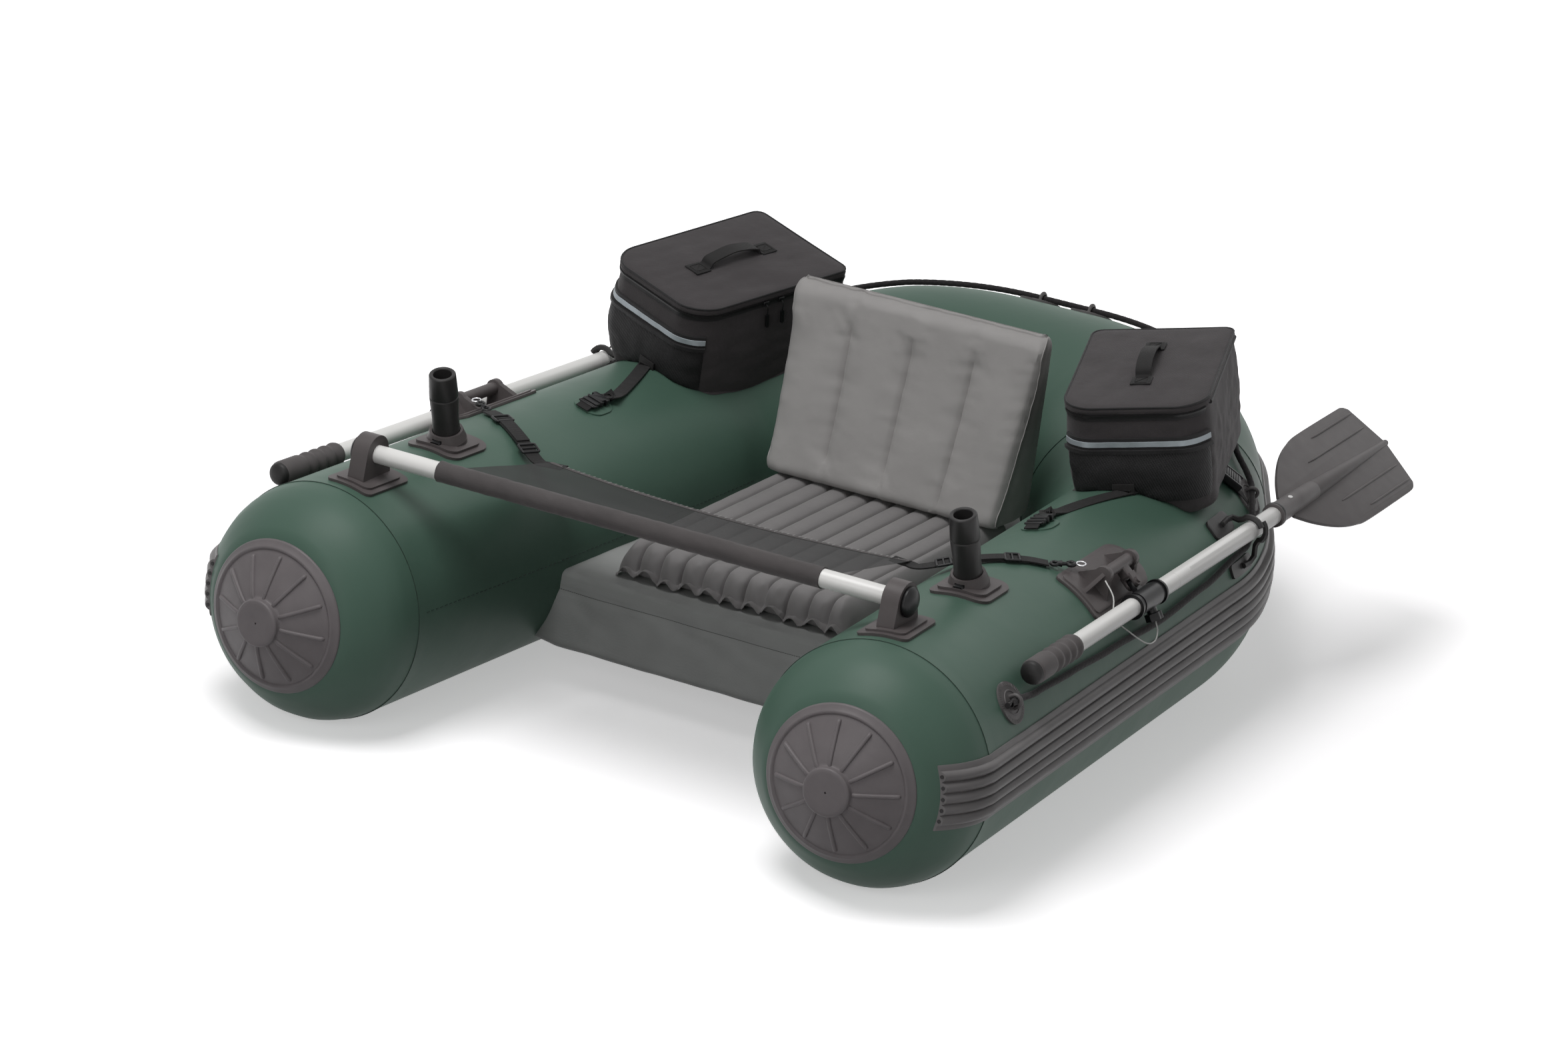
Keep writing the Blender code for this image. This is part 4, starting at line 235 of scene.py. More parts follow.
# Oarlocks
LOCK_RUN = 0.535
LOCK_DEG = 55.5
LOCK_LENGTH = 0.2055
LOCK_WIDTH = 0.088
LOCK_BASE_THICK = 0.003
LOCK_RIM = 0.007
LOCK_RIM_RISE = 0.0018
LOCK_FRONT_CORNER = 0.008
LOCK_REAR_CORNER = 0.036
BARREL_RUN = 0.533
BARREL_RISE = 0.0285
BARREL_R = 0.0095
BARREL_HALF = 0.0415
AXLE_R = 0.0045
AXLE_GAP = 0.0004
EAR_THICK = 0.010
EAR_TOP_R = 0.0135
EAR_FOOT_HALF = 0.030
EAR_GUSSET_LENGTH = 0.040
EAR_GUSSET_THICK = 0.006
STUB_WIDTH = 0.020
STUB_DEPTH = 0.015
FORK_REACH = 0.033
FORK_GAP = 0.0098
FORK_TINE = 0.005
FORK_R = 0.0085
PIN_R = 0.003
PIN_HEAD_R = 0.0052
PIN_HEAD_RISE = 0.0032
CLAMP_RUN = 0.551
CLAMP_HALF = 0.0455
CLAMP_R = 0.0165
CLAMP_FLANGE_R = 0.0192
CLAMP_FLANGE = 0.0045
CLAMP_BAND = 0.010
CLAMP_BAND_RISE = 0.0012
CLAMP_TONGUE = 0.0088
CLAMP_SIDES = 12
KNOB_DEG = -62.0
KNOB_BACK = 0.0095
KNOB_BOSS_R = 0.008
KNOB_BOSS_RISE = 0.0235
KNOB_R = 0.0135
KNOB_LOBES = 6
KNOB_LOBE_DEPTH = 0.0028
KNOB_THICK = 0.0115
LEASH_R = 0.0011

# Oars
OAR_X = 0.6194
OAR_Y = 0.285
OAR_Z = 0.3103
OAR_SLOPE_X = -0.054
OAR_SLOPE_Z = -0.0093
SHAFT_R = 0.014
GRIP_END_Y = 0.152
GRIP_SHAFT_Y = 0.2955
JOINT_Y = 0.651
SNAP_Y = 0.689
SOCKET_Y = 1.043
BLADE_TIP_Y = 1.5105
OAR_SLIDE = 0.051
GRIP_R = 0.0192
GRIP_WAVES = 4
GRIP_WAVE_DEPTH = 0.0026
GRIP_END_R = 0.0172
GRIP_DOME = 0.006
GRIP_SIDES = 10
JOINT_GROOVE = 0.0007
SNAP_R = 0.0032
SNAP_RISE = 0.0016
SOCKET_R = 0.0172
SOCKET_LENGTH = 0.151
SOCKET_GRASP = 0.07
BLADE_ROLL_DEG = 37.0
BLADE_HALF = 0.088
BLADE_THICK = 0.0055
BLADE_ROOT = 0.4166
BLADE_SHARES = ((0.0, 0.02), (0.045, 0.80), (0.055, 0.90), (0.09, 0.985), (0.16, 1.0), (0.54, 1.0),
                (0.64, 0.955), (0.72, 0.88), (0.79, 0.775), (0.86, 0.63), (0.93, 0.45), (1.0, 0.22))
SPINE_FOOT_R = 0.0155
SPINE_TIP_R = 0.0052
SPINE_NUB = 0.005
BLADE_RIB_WIDTH = 0.0042
BLADE_RIB_SHARES = ((0.455, 0.055, 0.62), (0.80, 0.055, 0.46))

# Oar keepers
KEEPER_RUN = 0.912
KEEPER_UPPER_DEG = 46.0
KEEPER_LOWER_DEG = 24.0
KEEPER_PAD_LENGTH = 0.062
KEEPER_UPPER_WIDTH = 0.034
KEEPER_LOWER_WIDTH = 0.022
KEEPER_PAD_THICK = 0.0035
KEEPER_ARM_R = 0.0048
KEEPER_ARM_CLEAR = 0.0028
KEEPER_ROOT_SPREAD = 0.046

# Side bags
BAG_X = 0.374
BAG_Y = 0.972
BAG_TOP_Z = 0.515
BAG_YAW_DEG = 18.5
BAG_PITCH_DEG = 6.0
BAG_LEAN_DEG = 10.0
BAG_WIDTH = 0.225
BAG_LENGTH = 0.312
BAG_CORNER = 0.046
BAG_BOW = 0.012
BAG_LID_THICK = 0.012
BAG_HEIGHT = 0.172
BAG_TAPER = 0.012
BAG_WALL = 0.006
BAG_FLOOR = 0.030
HANDLE_WIDTH = 0.024
HANDLE_THICK = 0.0025
HANDLE_LENGTH = 0.165
HANDLE_RISE = 0.017
HANDLE_FOOT = 0.028
TAB_RUN = 0.615
TAB_DEG = 104.0
TAB_PATCH_LENGTH = 0.062
TAB_PATCH_WIDTH = 0.052
TAB_PATCH_THICK = 0.002
TAB_BUCKLE_LENGTH = 0.046
TAB_BUCKLE_WIDTH = 0.030
TAB_BUCKLE_THICK = 0.011
TAB_WEB_WIDTH = 0.022
TAB_WEB_THICK = 0.0022
REAR_STRAP_RUN = 1.03
CAM_BUCKLE_LENGTH = 0.040
CAM_BUCKLE_WIDTH = 0.034
CAM_BUCKLE_THICK = 0.010

# Sizes that follow from the ones above
TUBE_Z = TUBE_R - FLAT_DEPTH
TOE_IN = (PONTOON_X - BEND_X) / PONTOON_LENGTH
FACET = math.pi / HULL_SIDES
SKIN_BOW = TUBE_R * (1 - math.cos(FACET))
STRAIGHT_RUN = TUBE_R * 0.4
HULL_FRONT = NOSE_LENGTH + CAP_DEPTH
HULL_BACK = STERN_Y + STERN_R + SKIN_GAP * 3 + STERN_R * (1 - math.cos(FACET)) + STRAKE_CREST
HULL_MIDDLE = (HULL_BACK - HULL_FRONT) / 2
BAR_Z = TUBE_Z + TUBE_R + BAR_RISE
CUSHION_TOP_Z = FLOOR_TOP_Z + SKIN_GAP + CUSHION_HEIGHT


# How much finer the pieces here are than the solids
SMOOTHER = 3
PAD_STRIP = 0.008
SHIFT = Matrix.Translation((0, -HULL_MIDDLE, 0))

# Camera at the photo's place, fitted for the photo's frame of 2352 by 1568
CAMERA_PLACE = Vector((3.9936, -7.5072, 3.2072))
CAMERA_AZIMUTH = math.radians(28.53)
CAMERA_ELEVATION = math.radians(19.30)
CAMERA_ROLL = math.radians(5.16)
CAMERA_LENS = 134.3
CAMERA_SENSOR = 36


def build_camera():
    data = bpy.data.cameras.new("camera")
    data.lens = CAMERA_LENS
    data.sensor_width = CAMERA_SENSOR
    camera = new_object("camera", data)
    level = math.cos(CAMERA_ELEVATION)
    back = Vector((math.sin(CAMERA_AZIMUTH) * level, -math.cos(CAMERA_AZIMUTH) * level,
                   math.sin(CAMERA_ELEVATION)))
    side = (-back).cross(Vector((0, 0, 1))).normalized()
    over = side.cross(-back)
    right = math.cos(CAMERA_ROLL) * side + math.sin(CAMERA_ROLL) * over
    up = -math.sin(CAMERA_ROLL) * side + math.cos(CAMERA_ROLL) * over
    camera.matrix_world = Matrix.Translation(CAMERA_PLACE) @ Matrix((right, up, back)).transposed().to_4x4()
    bpy.context.scene.camera = camera


# Meshes and modifiers
def new_object(name, data):
    obj = bpy.data.objects.new(name, data)
    bpy.context.scene.collection.objects.link(obj)
    return obj


def face_out(bm):
    """Turn every face of a closed body outwards."""
    bmesh.ops.recalc_face_normals(bm, faces=bm.faces)
    if bm.calc_volume(signed=True) < 0:
        bmesh.ops.reverse_faces(bm, faces=bm.faces)


def mesh_object(name, bm):
    face_out(bm)
    mesh = bpy.data.meshes.new(name)
    bm.to_mesh(mesh)
    bm.free()
    return new_object(name, mesh)


def bake(obj):
    """Replace an object by its evaluated mesh, welding the loose caps of a curve."""
    bpy.context.view_layer.update()
    graph = bpy.context.evaluated_depsgraph_get()
    mesh = bpy.data.meshes.new_from_object(obj.evaluated_get(graph))
    bm = bmesh.new()
    bm.from_mesh(mesh)
    bmesh.ops.remove_doubles(bm, verts=bm.verts, dist=WELD_DISTANCE)
    face_out(bm)
    bm.to_mesh(mesh)
    bm.free()
    name = obj.name
    matrix = obj.matrix_world.copy()
    bpy.data.objects.remove(obj, do_unlink=True)
    fresh = new_object(name, mesh)
    fresh.name = name
    fresh.matrix_world = matrix
    return fresh


def boolean(target, tool, operation, keep=False):
    """Cut one mesh object by another, or join the two."""
    modifier = target.modifiers.new(operation.lower(), "BOOLEAN")
    modifier.operation = operation
    modifier.solver = "EXACT"
    modifier.object = tool
    result = bake(target)
    if not keep:
        bpy.data.objects.remove(tool, do_unlink=True)
    return result


def cut(target, *tools):
    for tool in tools:
        target = boolean(target, tool, "DIFFERENCE")
    return target


def join(target, *tools):
    for tool in tools:
        target = boolean(target, tool, "UNION")
    return target


def apply_matrix(obj, matrix):
    """Move a mesh's points by a matrix, leaving the object's own transform alone."""
    obj.data.transform(matrix)
    if matrix.determinant() < 0:
        obj.data.flip_normals()
    return obj


# Building blocks
def block(name, size, edge=0.0, segments=2):
    """A box of a given size about its own origin, with rounded edges."""
    bm = bmesh.new()
    bmesh.ops.create_cube(bm, size=1.0)
    bmesh.ops.scale(bm, vec=size, verts=bm.verts)
    obj = mesh_object(name, bm)
    if edge > 0:
        bevel = obj.modifiers.new("edges", "BEVEL")
        bevel.width = edge
        bevel.segments = segments
        bevel.limit_method = "ANGLE"
        obj = bake(obj)
    return obj


def rod(name, radius, low, high, sides=24, top_radius=None):
    """A cylinder or cone along Z between two heights."""
    sides = sides * SMOOTHER
    bm = bmesh.new()
    bmesh.ops.create_cone(bm, cap_ends=True, segments=sides, radius1=radius,
                          radius2=radius if top_radius is None else top_radius, depth=high - low)
    bmesh.ops.translate(bm, verts=bm.verts, vec=(0, 0, (low + high) / 2))
    return mesh_object(name, bm)


def bore_radius(radius, sides):
    """The radius of a faceted bore that clears a shaft all round."""
    return (radius + SKIN_GAP) / math.cos(math.pi / sides)


def turned(name, profile, sides=32):
    """A turned solid about Z from (radius, height) points that start and end on the axis."""
    sides = sides * SMOOTHER
    bm = bmesh.new()
    points = [bm.verts.new((r, 0, z)) for r, z in profile]
    for a, b in zip(points, points[1:]):
        bm.edges.new((a, b))
    mesh = bpy.data.meshes.new(name)
    bm.to_mesh(mesh)
    bm.free()
    obj = new_object(name, mesh)
    screw = obj.modifiers.new("turn", "SCREW")
    screw.steps = sides
    screw.render_steps = sides
    screw.use_merge_vertices = True
    screw.merge_threshold = WELD_DISTANCE
    return bake(obj)


def tube(name, points, radius, resolution=2, radii=None, closed=False):
    """A round tube through points, as a curve with a bevel and filled caps."""
    curve = bpy.data.curves.new(name, "CURVE")
    curve.dimensions = "3D"
    curve.bevel_depth = radius
    curve.bevel_resolution = resolution
    curve.use_fill_caps = True
    spline = curve.splines.new("POLY")
    spline.points.add(len(points) - 1)
    for i, point in enumerate(points):
        spline.points[i].co = (*point, 1.0)
        spline.points[i].radius = radii[i] / radius if radii else 1.0
    spline.use_cyclic_u = closed
    return bake(new_object(name, curve))


def slab(name, outline, thickness):
    """A flat outline in XY, extruded about its own plane."""
    curve = bpy.data.curves.new(name, "CURVE")
    curve.dimensions = "2D"
    curve.fill_mode = "BOTH"
    curve.extrude = thickness / 2
    spline = curve.splines.new("POLY")
    spline.points.add(len(outline) - 1)
    for i, (x, y) in enumerate(outline):
        spline.points[i].co = (x, y, 0, 1.0)
    spline.use_cyclic_u = True
    return bake(new_object(name, curve))


def loft(name, rings):
    """A closed solid through rings with equal numbers of points."""
    bm = bmesh.new()
    rows = [[bm.verts.new(point) for point in ring] for ring in rings]
    for near, far in zip(rows, rows[1:]):
        count = len(near)
        for i in range(count):
            j = (i + 1) % count
            bm.faces.new((near[i], near[j], far[j], far[i]))
    bm.faces.new(rows[0])
    bm.faces.new(rows[-1])
    return mesh_object(name, bm)


def arc(centre_x, centre_y, radius, start, end, steps):
    """Points on an arc in a plane, with angles in degrees."""
    steps = steps * SMOOTHER
    turns = [math.radians(start + (end - start) * i / steps) for i in range(steps + 1)]
    return [(centre_x + radius * math.cos(a), centre_y + radius * math.sin(a)) for a in turns]


def rounded(length, width, corners, steps=4):
    """A rectangle about zero with its own radius at each corner, counter-clockwise from back right."""
    x, y = length / 2, width / 2
    r1, r2, r3, r4 = corners
    return (arc(x - r1, y - r1, r1, 0, 90, steps) + arc(-x + r2, y - r2, r2, 90, 180, steps)
            + arc(-x + r3, -y + r3, r3, 180, 270, steps) + arc(x - r4, -y + r4, r4, 270, 360, steps))


def frame_matrix(origin, x_axis, y_axis):
    """The matrix that carries X and Y onto two given directions at an origin."""
    x_dir = Vector(x_axis).normalized()
    z_dir = x_dir.cross(Vector(y_axis)).normalized()
    y_dir = z_dir.cross(x_dir)
    return Matrix.Translation(origin) @ Matrix((x_dir, y_dir, z_dir)).transposed().to_4x4()


def along(origin, direction, side_hint=(0, 1, 0)):
    """The matrix that carries Z onto a direction, with X near a hint."""
    z_dir = Vector(direction).normalized()
    x_dir = (Vector(side_hint) - z_dir * z_dir.dot(Vector(side_hint))).normalized()
    y_dir = z_dir.cross(x_dir)
    return Matrix.Translation(origin) @ Matrix((x_dir, y_dir, z_dir)).transposed().to_4x4()


def smooth_path(points, count):
    """A Catmull-Rom curve through points, cut into even parameter steps."""
    knots = [Vector(p) for p in points]
    knots = [knots[0] * 2 - knots[1]] + knots + [knots[-1] * 2 - knots[-2]]
    spans = len(knots) - 3
    path = []
    for i in range(count):
        at = i / (count - 1) * spans
        k = min(int(at), spans - 1)
        t = at - k
        p0, p1, p2, p3 = knots[k:k + 4]
        path.append(0.5 * (2 * p1 + (p2 - p0) * t + (2 * p0 - 5 * p1 + 4 * p2 - p3) * t * t
                           + (3 * p1 - p0 - 3 * p2 + p3) * t ** 3))
    return path


# The hull's centre line on the right, from the nose to the middle of the stern
def corner_arc(before, corner, after, cut_length, steps):
    """A rounded corner between two straight runs."""
    start = corner + (before - corner).normalized() * cut_length
    end = corner + (after - corner).normalized() * cut_length
    return [start.lerp(corner, i / steps).lerp(corner.lerp(end, i / steps), i / steps)
            for i in range(steps + 1)]


SEAM = Vector((PONTOON_X, 0, TUBE_Z))
BEND = Vector((BEND_X, PONTOON_LENGTH, TUBE_Z))
CORNER = Vector((STERN_X, STERN_Y, TUBE_Z + STERN_RISE))
STERN_MIDDLE = Vector((0, STERN_Y, TUBE_Z + STERN_RISE))
FORWARD = (SEAM - BEND).normalized()
NOSE_TIP = SEAM + FORWARD * NOSE_LENGTH + Vector((0, 0, NOSE_RISE))

nose_stations = [(SEAM.lerp(NOSE_TIP, 1 - share), NOSE_R + (TUBE_R - NOSE_R) * grown)
                 for share, grown in NOSE_SHARES]
first_bend = corner_arc(SEAM, BEND, CORNER, FIRST_BEND_CUT, 16)
stern_bend = corner_arc(BEND, CORNER, STERN_MIDDLE, STERN_BEND_CUT, 20)
swell_start = first_bend[8]
swell_end = stern_bend[8]


def tube_radius(point):
    """The tube's radius, which grows between the two bends."""
    span = swell_end - swell_start
    share = (point - swell_start).dot(span) / span.length_squared
    return TUBE_R + (STERN_R - TUBE_R) * min(max(share, 0.0), 1.0)


second_seam = first_bend[-1].lerp(stern_bend[0], 0.5)
pontoon_stations = nose_stations + [(p, tube_radius(p)) for p in first_bend + [second_seam]]
stern_stations = [(p, tube_radius(p)) for p in [second_seam] + stern_bend + [STERN_MIDDLE]]
STATIONS = pontoon_stations + stern_stations[1:]
SEAM_INDEX = len(nose_stations) - 1

RUNS = [0.0]
for (near, _), (far, _) in zip(STATIONS, STATIONS[1:]):
    RUNS.append(RUNS[-1] + (far - near).length)
RUNS = [run - RUNS[SEAM_INDEX] for run in RUNS]


def station_direction(index):
    """The bisector direction of the centre line at a station."""
    steps = []
    for a, b in ((index - 1, index), (index, index + 1)):
        if a >= 0 and b < len(STATIONS):
            steps.append((STATIONS[b][0] - STATIONS[a][0]).normalized())
    if index == len(STATIONS) - 1:
        steps = [Vector((-1, 0, 0))]
    return sum(steps, Vector()).normalized()


def hull_section(run):
    """Centre, radius, direction, outward and upward directions at a run behind the front seam."""
    k = 0
    while k < len(RUNS) - 2 and run > RUNS[k + 1]:
        k += 1
    share = (run - RUNS[k]) / (RUNS[k + 1] - RUNS[k])
    centre = STATIONS[k][0].lerp(STATIONS[k + 1][0], share)
    radius = STATIONS[k][1] + (STATIONS[k + 1][1] - STATIONS[k][1]) * share
    span = STATIONS[k + 1][0] - STATIONS[k][0]
    if span.length > STRAIGHT_RUN:
        direction = span.normalized()
    else:
        direction = station_direction(k).lerp(station_direction(k + 1), share).normalized()
    outward = direction.cross(Vector((0, 0, 1))).normalized()
    upward = outward.cross(direction)
    return centre, radius, direction, outward, upward


def skin(run, degrees, lift=0.0):
    """A point on or above the hull's skin, with the angle measured up from the outer side."""
    centre, radius, _, outward, upward = hull_section(run)
    turn = math.radians(degrees)
    return centre + (radius + lift) * (math.cos(turn) * outward + math.sin(turn) * upward)


def skin_normal(run, degrees):
    _, _, _, outward, upward = hull_section(run)
    turn = math.radians(degrees)
    return math.cos(turn) * outward + math.sin(turn) * upward


def skin_matrix(run, degrees, lift=0.0):
    """X along the tube towards the stern, Y up round its girth, Z out of its skin."""
    _, _, direction, _, _ = hull_section(run)
    normal = skin_normal(run, degrees)
    return frame_matrix(skin(run, degrees, lift), direction, normal.cross(direction))


def run_at(y):
    """The run on the straight pontoon for a distance behind the front seam."""
    return y / math.cos(math.atan(TOE_IN))


def pad(name, run, degrees, outline, thickness, lift=0.0):
    """A flat outline laid on the hull's skin: its X runs aft and its Y up round the girth."""
    bm = bmesh.new()
    face = bm.faces.new([bm.verts.new((u, v, 0)) for u, v in outline])
    raised = bmesh.ops.extrude_face_region(bm, geom=[face])["geom"]
    bmesh.ops.translate(bm, verts=[g for g in raised if isinstance(g, bmesh.types.BMVert)],
                        vec=(0, 0, thickness))
    for axis in (0, 1):
        reach = max(abs(point[axis]) for point in outline)
        for i in range(-int(reach / PAD_STRIP), int(reach / PAD_STRIP) + 1):
            spot, normal = [0, 0, 0], [0, 0, 0]
            spot[axis] = i * PAD_STRIP
            normal[axis] = 1
            bmesh.ops.bisect_plane(bm, geom=bm.verts[:] + bm.edges[:] + bm.faces[:], plane_co=spot,
                                   plane_no=normal)
    for vert in bm.verts:
        u, v, w = vert.co
        rise = SKIN_GAP + SKIN_BOW + lift + w if w > 0 else min(lift, 0.0)
        vert.co = skin(run + u, degrees + math.degrees(v / TUBE_R), rise)
    return mesh_object(name, bm)


def welded_pad(name, run, degrees, outline, thickness):
    """A pad whose foot is sunk below the skin, for welding to the tube itself."""
    sink = SKIN_BOW * 3
    return pad(name, run, degrees, outline, thickness + sink, -sink - SKIN_GAP)


def hull_tube(name, stations):
    return tube(name, [p for p, _ in stations], TUBE_R, 46, [r for _, r in stations])


def mirrored(stations):
    return [(Vector((-p.x, p.y, p.z)), r) for p, r in stations]


HULL_CUTTER = hull_tube("hull_clearance", STATIONS + mirrored(STATIONS)[-2::-1])


def trim_to_hull(obj):
    return boolean(obj, HULL_CUTTER, "DIFFERENCE", keep=True)


# Rounding of edges, and the angle from which an edge counts as sharp
FINISH_EDGE = 0.0007
EDGE_ANGLE = math.radians(38)
FITTING_SHARP = math.radians(42)
FORM_SHARP = math.radians(50)
MIRROR = Matrix.Scale(-1, 4, Vector((1, 0, 0)))


def round_edges(obj, width):
    rounding = obj.modifiers.new("edges", "BEVEL")
    rounding.width = width
    rounding.segments = 2
    rounding.limit_method = "ANGLE"
    rounding.angle_limit = EDGE_ANGLE
    return bake(obj)


def finish(obj, look, edge=FINISH_EDGE):
    """Round a piece's edges, give it its material, and let it stand for its node and ride on its body."""
    node = obj.name.split(".")[0]
    if edge:
        obj = round_edges(obj, edge)
    obj.name = node + "_form"
    obj.data.materials.clear()
    obj.data.materials.append(LOOKS[look])
    obj.data.shade_smooth()
    obj.data.set_sharp_from_angle(angle=FITTING_SHARP)
    obj.location.y -= HULL_MIDDLE
    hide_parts(node)
    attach(obj, BODY[node])
    return obj


def mirror_copy(obj, name, slide=(0, 0, 0)):
    """The left-hand copy of a right-hand piece."""
    mesh = obj.data.copy()
    mesh.transform(obj.matrix_world)
    mesh.transform(Matrix.Translation(slide) @ MIRROR)
    mesh.flip_normals()
    copy = new_object(name + "_form", mesh)
    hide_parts(name)
    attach(copy, BODY[name])
    return copy


def ribbon(name, path, width, thickness, side=None):
    """A flat strap along a path, lying flat towards a side direction or across the path."""
    rings = []
    for i, point in enumerate(path):
        ahead = (path[min(i + 1, len(path) - 1)] - path[max(i - 1, 0)]).normalized()
        across = Vector(side) if side else ahead.cross(Vector((0, 0, 1)))
        across = (across - ahead * across.dot(ahead)).normalized()
        over = across.cross(ahead)
        rings.append([point + across * (width / 2) * a + over * (thickness / 2) * b
                      for a, b in ((-1, -1), (1, -1), (1, 1), (-1, 1))])
    return loft(name, rings)


# Finishes: each one is a Principled shader with its own colour drift, grain and roughness drift
def to_linear(colour):
    return [(c / 12.92) if c <= 0.04045 else ((c + 0.055) / 1.055) ** 2.4 for c in colour]


MATT_LEVEL = 0.24


class Finish:
    """A material under construction, with short ways to add its textures."""
    def __init__(self, name, colour, roughness, metallic=0.0):
        self.mat = bpy.data.materials.new(name)
        self.mat.use_nodes = True
        self.tree = self.mat.node_tree
        self.shader = self.tree.nodes["Principled BSDF"]
        self.colour = (*to_linear(colour), 1.0)
        self.shader.inputs["Base Color"].default_value = self.colour
        self.shader.inputs["Roughness"].default_value = roughness
        self.shader.inputs["Metallic"].default_value = metallic
        self.shader.inputs["Specular IOR Level"].default_value = MATT_LEVEL
        self.roughness = roughness
        self.place = self.node("ShaderNodeTexCoord").outputs["Object"]
        self.normal = None

    def node(self, kind, **values):
        node = self.tree.nodes.new(kind)
        for key, value in values.items():
            setattr(node, key, value)
        return node

    def link(self, source, target):
        self.tree.links.new(source, target)

    def noise(self, size, detail=3.0, stretch=None):
        texture = self.node("ShaderNodeTexNoise")
        texture.inputs["Scale"].default_value = 1 / size
        texture.inputs["Detail"].default_value = detail
        source = self.place
        if stretch:
            mapping = self.node("ShaderNodeMapping")
            mapping.inputs["Scale"].default_value = stretch
            self.link(source, mapping.inputs["Vector"])
            source = mapping.outputs["Vector"]
        self.link(source, texture.inputs["Vector"])
        return texture.outputs["Fac"]

    def wave(self, size, direction):
        texture = self.node("ShaderNodeTexWave", bands_direction=direction)
        texture.inputs["Scale"].default_value = 1 / size / 2
        texture.inputs["Distortion"].default_value = 0.3
        self.link(self.place, texture.inputs["Vector"])
        return texture.outputs["Fac"]

    def math(self, operation, a, b):
        node = self.node("ShaderNodeMath", operation=operation)
        self.link(a, node.inputs[0])
        if isinstance(b, float):
            node.inputs[1].default_value = b
        else:
            self.link(b, node.inputs[1])
        return node.outputs[0]

    def drift(self, size, spread, detail=4.0):
        """Let the colour wander a little lighter and darker."""
        ramp = self.node("ShaderNodeValToRGB")
        dark = [c * (1 - spread) for c in self.colour[:3]]
        light = [min(c * (1 + spread), 1.0) for c in self.colour[:3]]
        ramp.color_ramp.elements[0].position = 0.3
        ramp.color_ramp.elements[1].position = 0.7
        ramp.color_ramp.elements[0].color = (*dark, 1)
        ramp.color_ramp.elements[1].color = (*light, 1)
        self.link(self.noise(size, detail), ramp.inputs["Fac"])
        self.link(ramp.outputs["Color"], self.shader.inputs["Base Color"])
        return self

    def rough_drift(self, size, spread):
        reach = self.node("ShaderNodeMapRange")
        reach.inputs["To Min"].default_value = self.roughness - spread
        reach.inputs["To Max"].default_value = self.roughness + spread
        self.link(self.noise(size, 2.0), reach.inputs["Value"])
        self.link(reach.outputs["Result"], self.shader.inputs["Roughness"])
        return self

    def bump(self, height, depth):
        """Raise the surface by a texture, in metres."""
        node = self.node("ShaderNodeBump")
        node.inputs["Strength"].default_value = 1.0
        node.inputs["Distance"].default_value = depth
        self.link(height, node.inputs["Height"])
        if self.normal:
            self.link(self.normal, node.inputs["Normal"])
        self.normal = node.outputs["Normal"]
        self.link(self.normal, self.shader.inputs["Normal"])
        return self

    def grain(self, size, depth, detail=2.0):
        return self.bump(self.noise(size, detail), depth)

    def weave(self, size, depth):
        crossed = self.math("MAXIMUM", self.wave(size, "X"),
                            self.math("MAXIMUM", self.wave(size, "Y"), self.wave(size, "Z")))
        return self.bump(crossed, depth)

    def sheen(self, weight, roughness=0.5):
        self.shader.inputs["Sheen Weight"].default_value = weight
        self.shader.inputs["Sheen Roughness"].default_value = roughness
        return self

    def gloss(self, level):
        self.shader.inputs["Specular IOR Level"].default_value = level
        return self


def hull_coat():
    look = Finish("hull_coat", (0.265, 0.365, 0.315), 0.50).gloss(0.3)
    return look.drift(0.22, 0.05).rough_drift(0.09, 0.05).grain(0.0028, 0.00006).grain(0.05, 0.0006).mat


def seam_line():
    return Finish("seam_line", (0.13, 0.19, 0.16), 0.6).drift(0.02, 0.25).mat


def moulded(name, colour, roughness, drift=0.07, depth=0.00004):
    look = Finish(name, colour, roughness)
    return look.drift(0.03, drift).rough_drift(0.02, 0.06).grain(0.0012, depth).mat


def rubber_strip():
    look = Finish("strake_rubber", (0.43, 0.42, 0.42), 0.42)
    return look.drift(0.12, 0.10).rough_drift(0.05, 0.08).grain(0.0016, 0.00004).grain(0.03, 0.0004).mat


def coated_cloth(name, colour, roughness):
    look = Finish(name, colour, roughness).drift(0.09, 0.06).rough_drift(0.05, 0.05)
    return look.weave(0.0009, 0.00006).grain(0.02, 0.0005).sheen(0.12).mat


def nylon(name, colour, roughness=0.72):
    look = Finish(name, colour, roughness).drift(0.06, 0.10).rough_drift(0.04, 0.05)
    return look.weave(0.0011, 0.00012).grain(0.014, 0.0005).sheen(0.1).mat


def webbing(name, colour):
    return Finish(name, colour, 0.75).drift(0.01, 0.12).weave(0.0016, 0.0002).sheen(0.06).mat


def braided(name, colour):
    return Finish(name, colour, 0.8).drift(0.004, 0.35, 1.0).grain(0.0012, 0.0002).sheen(0.15).mat


def enamel():
    look = Finish("white_enamel", (0.94, 0.935, 0.925), 0.33, 0.0).gloss(0.5)
    return look.drift(0.25, 0.02).rough_drift(0.12, 0.05).grain(0.004, 0.00002).mat


def bright_metal():
    look = Finish("bright_metal", (0.80, 0.80, 0.81), 0.18, 1.0)
    return look.drift(0.01, 0.05).rough_drift(0.01, 0.06).mat


def net():
    """A fine black net that lets what lies behind it show through its holes."""
    look = Finish("apron_net", (0.06, 0.06, 0.06), 0.8)
    look.drift(0.03, 0.12).sheen(0.1)
    holes = look.math("MULTIPLY", look.wave(0.0022, "X"), look.wave(0.0022, "Y"))
    solid = look.math("LESS_THAN", holes, 0.60)
    look.link(solid, look.shader.inputs["Alpha"])
    return look.mat


